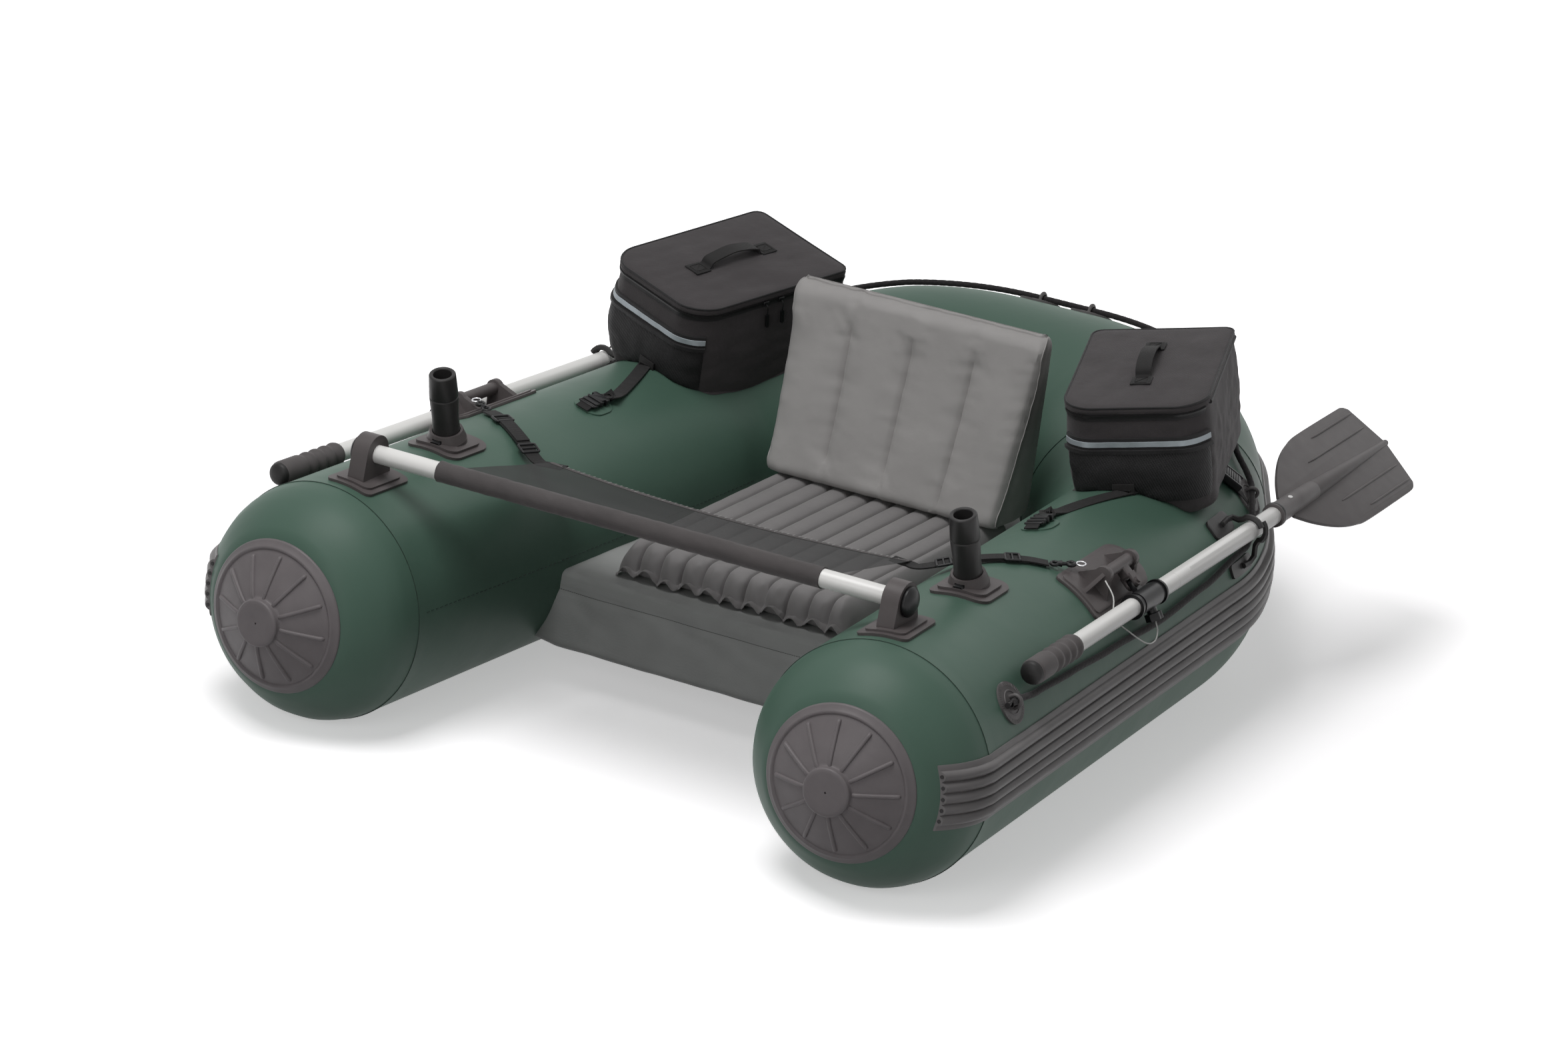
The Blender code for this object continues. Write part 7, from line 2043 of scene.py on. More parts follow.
# Oarlocks: a base with two ears and an axle, a barrel with a fork, a clamp with a tongue, and a knob
AXLE_SIDES = 10
BARREL_SIDES = 14
BOSS_SIDES = 12
KNOB_STEPS_PER_LOBE = 5


def build_oarlocks():
    outline = rounded(LOCK_LENGTH, LOCK_WIDTH,
                      (LOCK_REAR_CORNER, LOCK_FRONT_CORNER, LOCK_FRONT_CORNER, LOCK_REAR_CORNER), 2)
    base = pad("right_oarlock_base", LOCK_RUN, LOCK_DEG, outline, LOCK_BASE_THICK)
    inset = LOCK_RIM * 2
    inner = rounded(LOCK_LENGTH - inset, LOCK_WIDTH - inset,
                    (LOCK_REAR_CORNER - LOCK_RIM, LOCK_FRONT_CORNER, LOCK_FRONT_CORNER,
                     LOCK_REAR_CORNER - LOCK_RIM), 2)
    base = join(base, pad("step", LOCK_RUN, LOCK_DEG, inner, LOCK_BASE_THICK + LOCK_RIM_RISE, SKIN_GAP))
    ground = skin_matrix(BARREL_RUN, LOCK_DEG)
    ear_at = BARREL_HALF + SKIN_GAP + EAR_THICK / 2
    sunk = -CUT_OVERRUN
    ear_outline = ([(EAR_FOOT_HALF, sunk), (EAR_FOOT_HALF, LOCK_BASE_THICK + LOCK_RIM_RISE)]
                   + arc(0, BARREL_RISE, EAR_TOP_R, 0, 180, 6)
                   + [(-EAR_FOOT_HALF, LOCK_BASE_THICK + LOCK_RIM_RISE), (-EAR_FOOT_HALF, sunk)])
    stand = ground @ frame_matrix((0, 0, 0), (0, 1, 0), (0, 0, 1))
    ears = []
    for way in (-1, 1):
        ear = slab("ear", ear_outline, EAR_THICK)
        ears.append(apply_matrix(ear, stand @ Matrix.Translation((0, 0, way * ear_at))))
        gusset = slab("gusset", [(0, sunk), (EAR_GUSSET_LENGTH, sunk),
                                 (EAR_GUSSET_LENGTH, LOCK_BASE_THICK + LOCK_RIM_RISE / 2),
                                 (0, BARREL_RISE + EAR_TOP_R * 0.4)], EAR_GUSSET_THICK)
        upright = frame_matrix((way * (ear_at + EAR_THICK / 4), 0, 0), (way, 0, 0), (0, 0, 1))
        ears.append(apply_matrix(gusset, ground @ upright))
    support = trim_to_hull(join(ears[0], *ears[1:]))
    base = join(base, support)
    axle = rod("axle", AXLE_R, -ear_at, ear_at, AXLE_SIDES)
    barrel_line = ground @ Matrix.Translation((0, 0, BARREL_RISE)) @ FACING_SIDE
    base = finish(join(base, apply_matrix(axle, barrel_line)), "base_plastic")
    mirror_copy(base, "left_oarlock_base")

    centre = barrel_line @ Vector((0, 0, 0))
    _, _, barrel_dir, _, _ = hull_section(BARREL_RUN)
    clamp = oar_point(CLAMP_RUN)
    arm = clamp - centre
    arm = arm - barrel_dir * arm.dot(barrel_dir)
    arm_length = arm.length
    arm_dir = arm.normalized()
    stub_root = centre + barrel_dir * (clamp - centre).dot(barrel_dir)

    barrel = rod("right_oarlock_pivot", BARREL_R, -BARREL_HALF, BARREL_HALF, BARREL_SIDES)
    barrel = apply_matrix(barrel, barrel_line)
    fork_frame = frame_matrix(stub_root, arm_dir, barrel_dir)
    stub_start = BARREL_R * 0.4
    stub_end = FORK_REACH - FORK_R * 1.2
    stub = block("stub", (stub_end - stub_start, STUB_WIDTH, STUB_DEPTH), STUB_DEPTH / 8, 1)
    apply_matrix(stub, fork_frame @ Matrix.Translation(((stub_end + stub_start) / 2, 0, 0)))
    head_half = FORK_GAP / 2 + FORK_TINE
    heel = -FORK_R * 1.75
    head = slab("head", [(heel, -FORK_R)] + arc(0, 0, FORK_R, -90, 90, 5) + [(heel, FORK_R)], head_half * 2)
    apply_matrix(head, fork_frame @ Matrix.Translation((FORK_REACH, 0, 0)))
    pivot_body = join(barrel, stub, head)
    slot = block("slot", ((FORK_R + SKIN_GAP) * 2 + CUT_OVERRUN, FORK_R * 4, FORK_GAP))
    apply_matrix(slot, fork_frame @ Matrix.Translation((FORK_REACH + CUT_OVERRUN / 2, 0, 0)))
    pin_line = fork_frame @ Matrix.Translation((FORK_REACH, 0, 0))
    pivot_body = cut(pivot_body, slot)
    bore = rod("axle_bore", AXLE_R + AXLE_GAP, -ear_at, ear_at, AXLE_SIDES)
    pivot_body = cut(pivot_body, apply_matrix(bore, barrel_line))
    pin = turned("pin", [(0, head_half + PIN_HEAD_RISE), (PIN_HEAD_R, head_half + PIN_HEAD_RISE),
                         (PIN_HEAD_R, head_half - PIN_HEAD_RISE / 2),
                         (PIN_R, head_half - PIN_HEAD_RISE / 2),
                         (PIN_R, -head_half - PIN_HEAD_RISE / 2), (0, -head_half - PIN_HEAD_RISE / 2)],
                 AXLE_SIDES)
    pivot_body = join(pivot_body, apply_matrix(pin, pin_line))
    mirror_copy(finish(pivot_body, "base_plastic"), "left_oarlock_pivot")

    ring_place = along(clamp, OAR_DIR, arm_dir)
    low, high = -CLAMP_HALF, CLAMP_HALF
    band = CLAMP_R + CLAMP_BAND_RISE
    grasp_r = bore_radius(SHAFT_R, CLAMP_SIDES)
    profile = [(grasp_r, low), (grasp_r, high), (CLAMP_FLANGE_R, high),
               (CLAMP_FLANGE_R, high - CLAMP_FLANGE), (CLAMP_R, high - CLAMP_FLANGE),
               (CLAMP_R, high - CLAMP_FLANGE - CLAMP_BAND), (band, high - CLAMP_FLANGE - CLAMP_BAND),
               (band, low + CLAMP_FLANGE + CLAMP_BAND), (CLAMP_R, low + CLAMP_FLANGE + CLAMP_BAND),
               (CLAMP_R, low + CLAMP_FLANGE), (CLAMP_FLANGE_R, low + CLAMP_FLANGE), (CLAMP_FLANGE_R, low),
               (grasp_r, low)]
    ring = apply_matrix(turned("right_oar_clamp", profile, CLAMP_SIDES), ring_place)
    to_ring = arm_length - FORK_REACH
    tongue_reach = to_ring - (SHAFT_R + CLAMP_R) / 2
    tongue = slab("tongue", [(tongue_reach, -FORK_R)] + [(tongue_reach, FORK_R)]
                  + arc(0, 0, FORK_R - SKIN_GAP * 2, 90, 270, 5), CLAMP_TONGUE)
    ring = join(ring, apply_matrix(tongue, pin_line))
    knob_turn = math.radians(KNOB_DEG)
    knob_dir = Vector((math.cos(knob_turn), 0, math.sin(knob_turn)))
    knob_dir = (knob_dir - OAR_DIR * knob_dir.dot(OAR_DIR)).normalized()
    knob_place = along(clamp + OAR_DIR * KNOB_BACK, knob_dir, OAR_DIR)
    boss = rod("boss", KNOB_BOSS_R, (SHAFT_R + CLAMP_R) / 2, KNOB_BOSS_RISE, BOSS_SIDES)
    ring = join(ring, apply_matrix(boss, knob_place))
    bore = rod("pin_bore", bore_radius(PIN_R, AXLE_SIDES), -head_half * 2, head_half * 2, AXLE_SIDES)
    ring = cut(ring, apply_matrix(bore, pin_line))
    mirror_copy(finish(ring, "black_plastic"), "left_oar_clamp")
    seat = KNOB_BOSS_RISE + SKIN_GAP
    turns = KNOB_LOBES * KNOB_STEPS_PER_LOBE
    lobes = []
    for i in range(turns):
        reach = KNOB_R - KNOB_LOBE_DEPTH * (0.5 - 0.5 * math.cos(2 * math.pi * i * KNOB_LOBES / turns))
        lobes.append((reach * math.cos(2 * math.pi * i / turns), reach * math.sin(2 * math.pi * i / turns)))
    knob = slab("right_clamp_knob", lobes, KNOB_THICK)
    apply_matrix(knob, knob_place @ Matrix.Translation((0, 0, seat + KNOB_THICK / 2)))
    mirror_copy(finish(knob, "black_plastic"), "left_clamp_knob")
    build_leash(ground, ear_at, knob_place, seat + KNOB_THICK)
    build_oars()


# Leash: a thin cord from the bracket to the middle of the knob
LEASH_POINTS = 30
SHAFT_SIDES = 20
SNAP_SIDES = 8
SNAP_TURN_DEG = -50
SPINE_SIDES = 12
BARREL_COLLAR = SOCKET_R + 0.0018
SOCKET_RING_STEP = 0.0035
SOCKET_BUTTON_LONG = 0.0052
SOCKET_BUTTON_SHORT = 0.0036


def build_leash(ground, ear_at, knob_place, knob_top):
    start = ground @ Vector((-ear_at - EAR_THICK / 2 - LEASH_R - SKIN_GAP, -EAR_TOP_R * 0.6,
                             BARREL_RISE * 0.95))
    shaft = oar_point(CLAMP_RUN - CLAMP_HALF * 1.7)
    hull_side = hull_section(run_at(shaft.y))[0]
    away = (Vector((shaft.x, 0, shaft.z)) - Vector((hull_side.x, 0, hull_side.z))).normalized()
    behind = shaft - away * (SHAFT_R + LEASH_R * 3)
    under = shaft + Vector((SHAFT_R * 0.6, SHAFT_R, -SHAFT_R * 2.3))
    end = knob_place @ Vector((0, 0, knob_top + SKIN_GAP + LEASH_R))
    low = end + Vector((SHAFT_R * 0.95, -SHAFT_R * 1.6, -SHAFT_R * 1.5))
    turn = end + Vector((SHAFT_R * 0.4, -SHAFT_R * 0.1, -SHAFT_R * 0.9))
    route = [start, start.lerp(behind, 0.5) + away * SHAFT_R * 0.5, behind, under,
             under.lerp(low, 0.6) + Vector((SHAFT_R * 0.2, 0, -SHAFT_R * 0.6)), low, turn, end]
    path = [SHIFT @ point for point in smooth_path(route, LEASH_POINTS)]
    for label, side in (("right", 1), ("left", -1)):
        points = [Vector((p.x * side, p.y, p.z)) for p in path]
        leash = tube(label + "_leash", points, LEASH_R, 3)
        leash.data.materials.clear()
        leash.data.materials.append(LOOKS["leash_white"])
        leash.data.shade_smooth()
        node = label + "_knob_leash"
        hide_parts(node)
        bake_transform(leash)


def build_oars():
    slide = Vector((-OAR_DIR.x, OAR_DIR.y, OAR_DIR.z)) * -OAR_SLIDE

    def station(y):
        return (oar_point(y) - oar_point(GRIP_END_Y)).length

    grip_end = station(GRIP_SHAFT_Y)
    socket = station(SOCKET_Y)
    joint = station(JOINT_Y)
    tip = station(BLADE_TIP_Y)
    place = along(oar_point(GRIP_END_Y), OAR_DIR, (1, 0, 0))
    shaft_end = socket + SOCKET_GRASP
    neck = SHAFT_R - JOINT_GROOVE
    shaft = turned("right_oar_shaft", [(0, shaft_end), (SHAFT_R, shaft_end),
                                       (SHAFT_R, joint + JOINT_GROOVE),
                                       (neck, joint + JOINT_GROOVE), (neck, joint), (SHAFT_R, joint),
                                       (SHAFT_R, grip_end * 0.5), (0, grip_end * 0.5)], SHAFT_SIDES)
    snap = apply_matrix(rod("snap", SNAP_R, 0, SHAFT_R + SNAP_RISE, SNAP_SIDES),
                        along((0, 0, station(SNAP_Y)), (0.8, 0, 0.6), (0, 0, 1)))
    apply_matrix(snap, Matrix.Rotation(math.radians(SNAP_TURN_DEG), 4, "Z"))
    shaft = join(shaft, snap)
    shaft = finish(apply_matrix(shaft, place), "white_alloy", edge=0)
    mirror_copy(shaft, "left_oar_shaft", slide=slide)

    grasp_r = bore_radius(SHAFT_R, GRIP_SIDES)
    profile = [(grasp_r, grip_end * 0.5 - SKIN_GAP), (grasp_r, grip_end), (GRIP_R * 0.90, grip_end),
               (GRIP_R * 0.94, grip_end - 0.0012)]
    steps = GRIP_WAVES * 14
    wave_span = grip_end * 0.62
    for i in range(steps + 1):
        at = grip_end - grip_end * 0.04 - wave_span * i / steps
        dip = GRIP_WAVE_DEPTH * 1.25 * (0.5 - 0.5 * math.cos(2 * math.pi * GRIP_WAVES * i / steps))
        profile.append((GRIP_R - dip, at))
    grip_seat = grip_end * 0.5 - SKIN_GAP
    profile += [(GRIP_R, grip_end * 0.2), (GRIP_R, grip_end * 0.07), (GRIP_R * 0.985, grip_end * 0.05),
                (GRIP_R * 0.93, grip_end * 0.03)]
    profile += [(GRIP_END_R * math.cos(math.radians(a)),
                 grip_end * 0.018 - GRIP_DOME * 1.3 * math.sin(math.radians(a)))
                for a in range(0, 90, 12)]
    profile += [(0, -GRIP_DOME * 0.9), (0, grip_seat), (grasp_r, grip_seat)]
    grip = turned("right_oar_grip", profile, 18)
    dark = [all(grip.data.vertices[v].co.z < grip_end * 0.03 for v in p.vertices)
            for p in grip.data.polygons]
    grip = finish(apply_matrix(grip, place), "grip_foam", edge=0)
    grip.data.materials.append(LOOKS["grip_dark"])
    for polygon, is_dark in zip(grip.data.polygons, dark):
        polygon.material_index = 1 if is_dark else 0
    mirror_copy(grip, "left_oar_grip", slide=slide)

    roll = math.radians(BLADE_ROLL_DEG)
    across = Vector((math.cos(roll), 0, -math.sin(roll)))
    blade_frame = frame_matrix(oar_point(BLADE_TIP_Y), -OAR_DIR, across)
    upper = smooth_outline([(BLADE_ROOT * s, BLADE_HALF * w) for s, w in BLADE_SHARES])
    outline = upper + [(x, -y) for x, y in reversed(upper)]
    blade = slab("right_oar_blade", outline, BLADE_THICK)
    ribs = []
    for side in (-1, 1):
        for offset, start, end in BLADE_RIB_SHARES:
            y = side * BLADE_HALF * offset
            for over in (-1, 1):
                z = over * BLADE_THICK / 2
                low, high = BLADE_ROOT * start, BLADE_ROOT * end
                line = [Vector((low + (high - low) * k / 10, y, z)) for k in range(11)]
                ribs.append(tube("rib", line, BLADE_RIB_WIDTH / 2, 3,
                                 [BLADE_RIB_WIDTH * (0.25 if k in (0, 10) else 0.5) for k in range(11)]))
    spine_length = tip - socket - SOCKET_LENGTH
    spine = rod("spine", SPINE_FOOT_R, 0, spine_length + SPINE_NUB, SPINE_SIDES, SPINE_TIP_R)
    spine = apply_matrix(spine, Matrix.Translation((spine_length, 0, 0))
                         @ Matrix.Rotation(-math.pi / 2, 4, "Y"))
    barrel = turned("barrel", [(SHAFT_R, -0.0004), (SOCKET_R + 0.0016, 0), (BARREL_COLLAR, 0.0015),
                               (BARREL_COLLAR, 0.0105), (SOCKET_R + 0.0010, 0.012), (SOCKET_R, 0.0122),
                               (SOCKET_R, SOCKET_LENGTH * 0.55), (SPINE_FOOT_R, SOCKET_LENGTH * 1.04),
                               (0, SOCKET_LENGTH * 1.04), (0, 0.002), (SHAFT_R, -0.0004)], 16)
    barrel = apply_matrix(barrel, Matrix.Translation((spine_length + SOCKET_LENGTH, 0, 0))
                          @ Matrix.Rotation(-math.pi / 2, 4, "Y"))
    blade = joined("right_oar_blade", blade, spine, barrel, *ribs)
    blade = finish(apply_matrix(blade, blade_frame), "blade_plastic", edge=0.0009)
    mirror_copy(blade, "left_oar_blade", slide=slide)
    ring_seat = blade_frame @ Vector((spine_length + SOCKET_LENGTH - 0.0075, 0, 0))
    collar = tube("right_socket_ring", [ring_seat + OAR_DIR * (SOCKET_RING_STEP * k) for k in (-1, 0, 1)],
                  SOCKET_R + 0.0022, 10)
    collar = dress(collar, "black_plastic", BODY["right_oar_blade"], edge=0.0006)
    flipped(collar, "left_socket_ring", BODY["left_oar_blade"], slide=slide)
    button_turn = Matrix.Rotation(math.radians(-18), 4, "Y")
    facing = (button_turn.to_3x3() @ Vector((0.45, -0.5, 0.75))).normalized()
    facing = (facing - OAR_DIR * facing.dot(OAR_DIR)).normalized()
    seat = blade_frame @ Vector((spine_length + SOCKET_LENGTH * 0.62, 0, 0)) + facing * (SOCKET_R - 0.001)
    outline = [(SOCKET_BUTTON_LONG * math.cos(t), SOCKET_BUTTON_SHORT * math.sin(t))
               for t in [2 * math.pi * k / 24 for k in range(24)]]
    oval = slab("right_socket_button", outline, SOCKET_BUTTON_SHORT)
    oval = dress(apply_matrix(oval, frame_matrix(seat, OAR_DIR, facing.cross(OAR_DIR))), "white_alloy",
                 BODY["right_oar_blade"], edge=0.0008)
    flipped(oval, "left_socket_button", BODY["left_oar_blade"], slide=slide)


OUTLINE_STEPS = 5


def smooth_outline(points):
    """The same outline with a curve through its points."""
    line = smooth_path([Vector((x, y, 0)) for x, y in points], (len(points) - 1) * OUTLINE_STEPS + 1)
    return [(p.x, p.y) for p in line]


# Oar keepers: two rubber arms on pads that hook round the shaft
def build_keepers():
    hook_y = hull_section(KEEPER_RUN)[0].y + KEEPER_ROOT_SPREAD
    shaft = oar_point(hook_y)
    reach = SHAFT_R + KEEPER_ARM_CLEAR + KEEPER_ARM_R
    hull_centre = hull_section(KEEPER_RUN + KEEPER_ROOT_SPREAD)[0]
    away = math.degrees(math.atan2(shaft.z - hull_centre.z, shaft.x - hull_centre.x))
    for label, degrees, width, way in (("upper", KEEPER_UPPER_DEG, KEEPER_UPPER_WIDTH, 1),
                                       ("lower", KEEPER_LOWER_DEG, KEEPER_LOWER_WIDTH, -1)):
        outline = rounded(KEEPER_PAD_LENGTH, width, (width * 0.3,) * 4, 2)
        base = pad("right_" + label + "_keeper", KEEPER_RUN, degrees, outline, KEEPER_PAD_THICK,
                   -SKIN_BOW / 2)
        root = skin(KEEPER_RUN, degrees, KEEPER_PAD_THICK + KEEPER_ARM_R * 0.6)
        mid = skin(KEEPER_RUN + KEEPER_ROOT_SPREAD * 0.5, degrees, KEEPER_PAD_THICK + KEEPER_ARM_R * 1.6)
        hook = []
        for turn in (105, 75, 45, 15, -10):
            a = math.radians(away + way * turn)
            hook.append(shaft + Vector((reach * math.cos(a), -way * KEEPER_ARM_R * 1.3,
                                        reach * math.sin(a))))
        arm = tube("arm", smooth_path([root, mid] + hook, 11), KEEPER_ARM_R, 1)
        keeper = finish(join(base, arm), "holder_dark")
        mirror_copy(keeper, "left_" + label + "_keeper")


def bag_outline():
    """The bag's plan outline: rounded front corners and a bowed front edge."""
    points = rounded(BAG_LENGTH, BAG_WIDTH,
                     (BAG_CORNER * 0.35, BAG_CORNER, BAG_CORNER, BAG_CORNER * 0.35), 3)
    shaped = []
    for u, v in points:
        push = BAG_BOW * (1 - (v / (BAG_WIDTH / 2)) ** 2) if u < 0 else 0.0
        shaped.append((v, u - push))
    return shaped[::-1]


# Side bags: sagging bodies, padded lids, zips, pockets, handles, tabs and straps
BAG_LOOP_POINTS = 168
BAG_ROWS = 40
STRIP_DROP = 0.047
STRIP_WIDTH = 0.0085
POCKET_PROUD = 0.007
ZIP_WIDTH = 0.011
PIPING_R = 0.0019
BAND_SINK = 0.0008
POCKET_SINK = 0.001
POCKET_STEPS = 12
BAG_SEAM_STEPS = 24
LID_TOP_RINGS = 14
LID_CROWN = 0.0042


def even_loop(points, count):
    """A closed outline cut into even steps."""
    loop = [Vector((x, y)) for x, y in points]
    spans = [(loop[(i + 1) % len(loop)] - loop[i]).length for i in range(len(loop))]
    total = sum(spans)
    out, k, done = [], 0, 0.0
    for i in range(count):
        target = total * i / count
        while done + spans[k] < target:
            done += spans[k]
            k += 1
        share = (target - done) / spans[k] if spans[k] else 0.0
        out.append(loop[k].lerp(loop[(k + 1) % len(loop)], share))
    return out


def off_hull(point, gap=0.0006):
    """Push a point that lies inside the hull out to its skin."""
    run = run_at(point.y)
    low, high = run - 0.12, run + 0.20
    best = None
    for k in range(33):
        at = low + (high - low) * k / 32
        centre, radius, direction, _, _ = hull_section(min(max(at, RUNS[0]), RUNS[-1]))
        away = point - centre
        flat = away - direction * away.dot(direction)
        reach = abs(away.dot(direction))
        if best is None or reach < best[0]:
            best = (reach, flat, radius)
    _, flat, radius = best
    if flat.length < radius + gap:
        return point + flat.normalized() * (radius + gap - flat.length)
    return point


def bag_place():
    yaw, pitch, lean = (math.radians(a) for a in (BAG_YAW_DEG, BAG_PITCH_DEG, -BAG_LEAN_DEG))
    turn = Matrix.Rotation(yaw, 4, "Z") @ Matrix.Rotation(pitch, 4, "X") @ Matrix.Rotation(lean, 4, "Y")
    return Matrix.Translation((BAG_X, BAG_Y, BAG_TOP_Z)) @ turn


def bag_normal(spot):
    """The direction out of the bag at a point of its outline, as on an ellipse."""
    return Vector((spot.x / (BAG_WIDTH / 2) ** 2, spot.y / (BAG_LENGTH / 2) ** 2)).normalized()


def moved_out(point, normal, reach):
    """A point moved along the outline's normal, level with the lid."""
    return point + Vector((normal.x, normal.y, 0)) * reach


BAG_TOP = -BAG_LID_THICK - SKIN_GAP
BAG_BOTTOM = BAG_TOP - BAG_HEIGHT


def bag_wall(spot, z):
    """A point on the bag's side wall, swollen in the middle and creased towards the foot."""
    share = (z - BAG_BOTTOM) / BAG_HEIGHT
    foot = max(0.0, 1 - share / 0.09)
    tuck = BAG_TAPER * 1.1 * (1 - math.sqrt(max(0.0, 1 - foot * foot))) + BAG_TAPER * 0.5 * (1 - share)
    swell = 0.0055 * math.sin(math.pi * min(1.0, share * 1.05)) - BAG_WALL / 3 * share
    crease = 0.0034 * ripple((spot.x * 1.1, spot.y * 1.1, z * 2.2), 0.055, 5.0) * (1.1 - share)
    crease += 0.0016 * ripple((spot.x, spot.y, z * 1.3), 0.022, 12.0) * math.sin(math.pi * share)
    normal = bag_normal(spot)
    push = swell - tuck + crease
    return Vector((spot.x + normal.x * push, spot.y + normal.y * push, z)), normal


BAG_RIM = 0.0035
BAG_ROOM_ROWS = 10
BAG_ROOM_FLOOR = BAG_BOTTOM + BAG_FLOOR + TUBE_R * 0.12
HINGE_ROLL_R = 0.0036


def inner_wall(spot, z, inset):
    """A point on the inner side of the bag's wall, loosely creased."""
    normal = bag_normal(spot)
    push = -BAG_WALL / 3 - BAG_TAPER * 0.5 * (1 - (z - BAG_BOTTOM) / BAG_HEIGHT) - inset
    push += 0.0012 * ripple((spot.x, spot.y, z), 0.04, 4.0) * min(1.0, max(0.0, BAG_TOP - z) / 0.02)
    return Vector((spot.x + normal.x * push, spot.y + normal.y * push, z))


def build_hinge_roll(place):
    """The rolled cloth on the lid's hinge line, which joins body and lid at every angle."""
    near, far = -BAG_LENGTH / 2 + BAG_CORNER * 0.85, BAG_LENGTH / 2 - BAG_CORNER * 0.30
    line = [place @ Vector((BAG_WIDTH / 2 - 0.0012, near + (far - near) * i / 12, -BAG_LID_THICK))
            for i in range(13)]
    roll = dress(tube("right_bag_hinge_roll", line, HINGE_ROLL_R, 4), "bag_trim")
    flipped(roll, "left_bag_hinge_roll")


def build_bag_body(place):
    loop = even_loop(bag_outline(), BAG_LOOP_POINTS)
    rows = []
    for j in range(BAG_ROWS + 1):
        z = BAG_BOTTOM + BAG_HEIGHT * j / BAG_ROWS
        rows.append([off_hull(place @ bag_wall(spot, z)[0]) for spot in loop])
    for inset, z in ((0.25, BAG_TOP + BAG_RIM * 0.4), (0.75, BAG_TOP + BAG_RIM * 0.4),
                     (1.0, BAG_TOP - BAG_RIM)):
        rows.append([place @ inner_wall(spot, z, inset * BAG_RIM) for spot in loop])
    for j in range(1, BAG_ROOM_ROWS + 1):
        z = BAG_TOP - BAG_RIM + (BAG_ROOM_FLOOR - BAG_TOP + BAG_RIM) * j / BAG_ROOM_ROWS
        inset = BAG_RIM + (BAG_TAPER + BAG_WALL - BAG_RIM) * min(1.0, j / 3)
        rows.append([place @ inner_wall(spot, z, inset) for spot in loop])
    body = grid_surface("right_bag_body_form", rows, close_around=True, cap=True)
    body = dress(body, "bag_fabric", stands_for="right_bag_body")
    flipped(body, "left_bag_body_form", stands_for="left_bag_body")
    return loop


def wall_band(name, loop, z, width, keep, thickness, place, lift=0.0):
    """A flat band sewn round part of the wall."""
    spots = [spot for spot in loop if keep(spot)]
    rows = []
    for spot in spots:
        ring = []
        for dz, out in ((-0.5, 0), (-0.46, 1), (0.46, 1), (0.5, 0)):
            point, normal = bag_wall(spot, z + dz * width)
            ring.append(place @ moved_out(point, normal, lift + thickness * out))
        point, normal = bag_wall(spot, z)
        ring.append(place @ moved_out(point, normal, -BAND_SINK))
        rows.append(ring)
    return grid_surface(name, rows, close_around=True, cap=True)


def ordered_from(loop, keep):
    """Turn the outline so that the part that is kept is one unbroken stretch."""
    for i in range(len(loop)):
        if keep(loop[i]) and not keep(loop[i - 1]):
            return loop[i:] + loop[:i]
    return loop


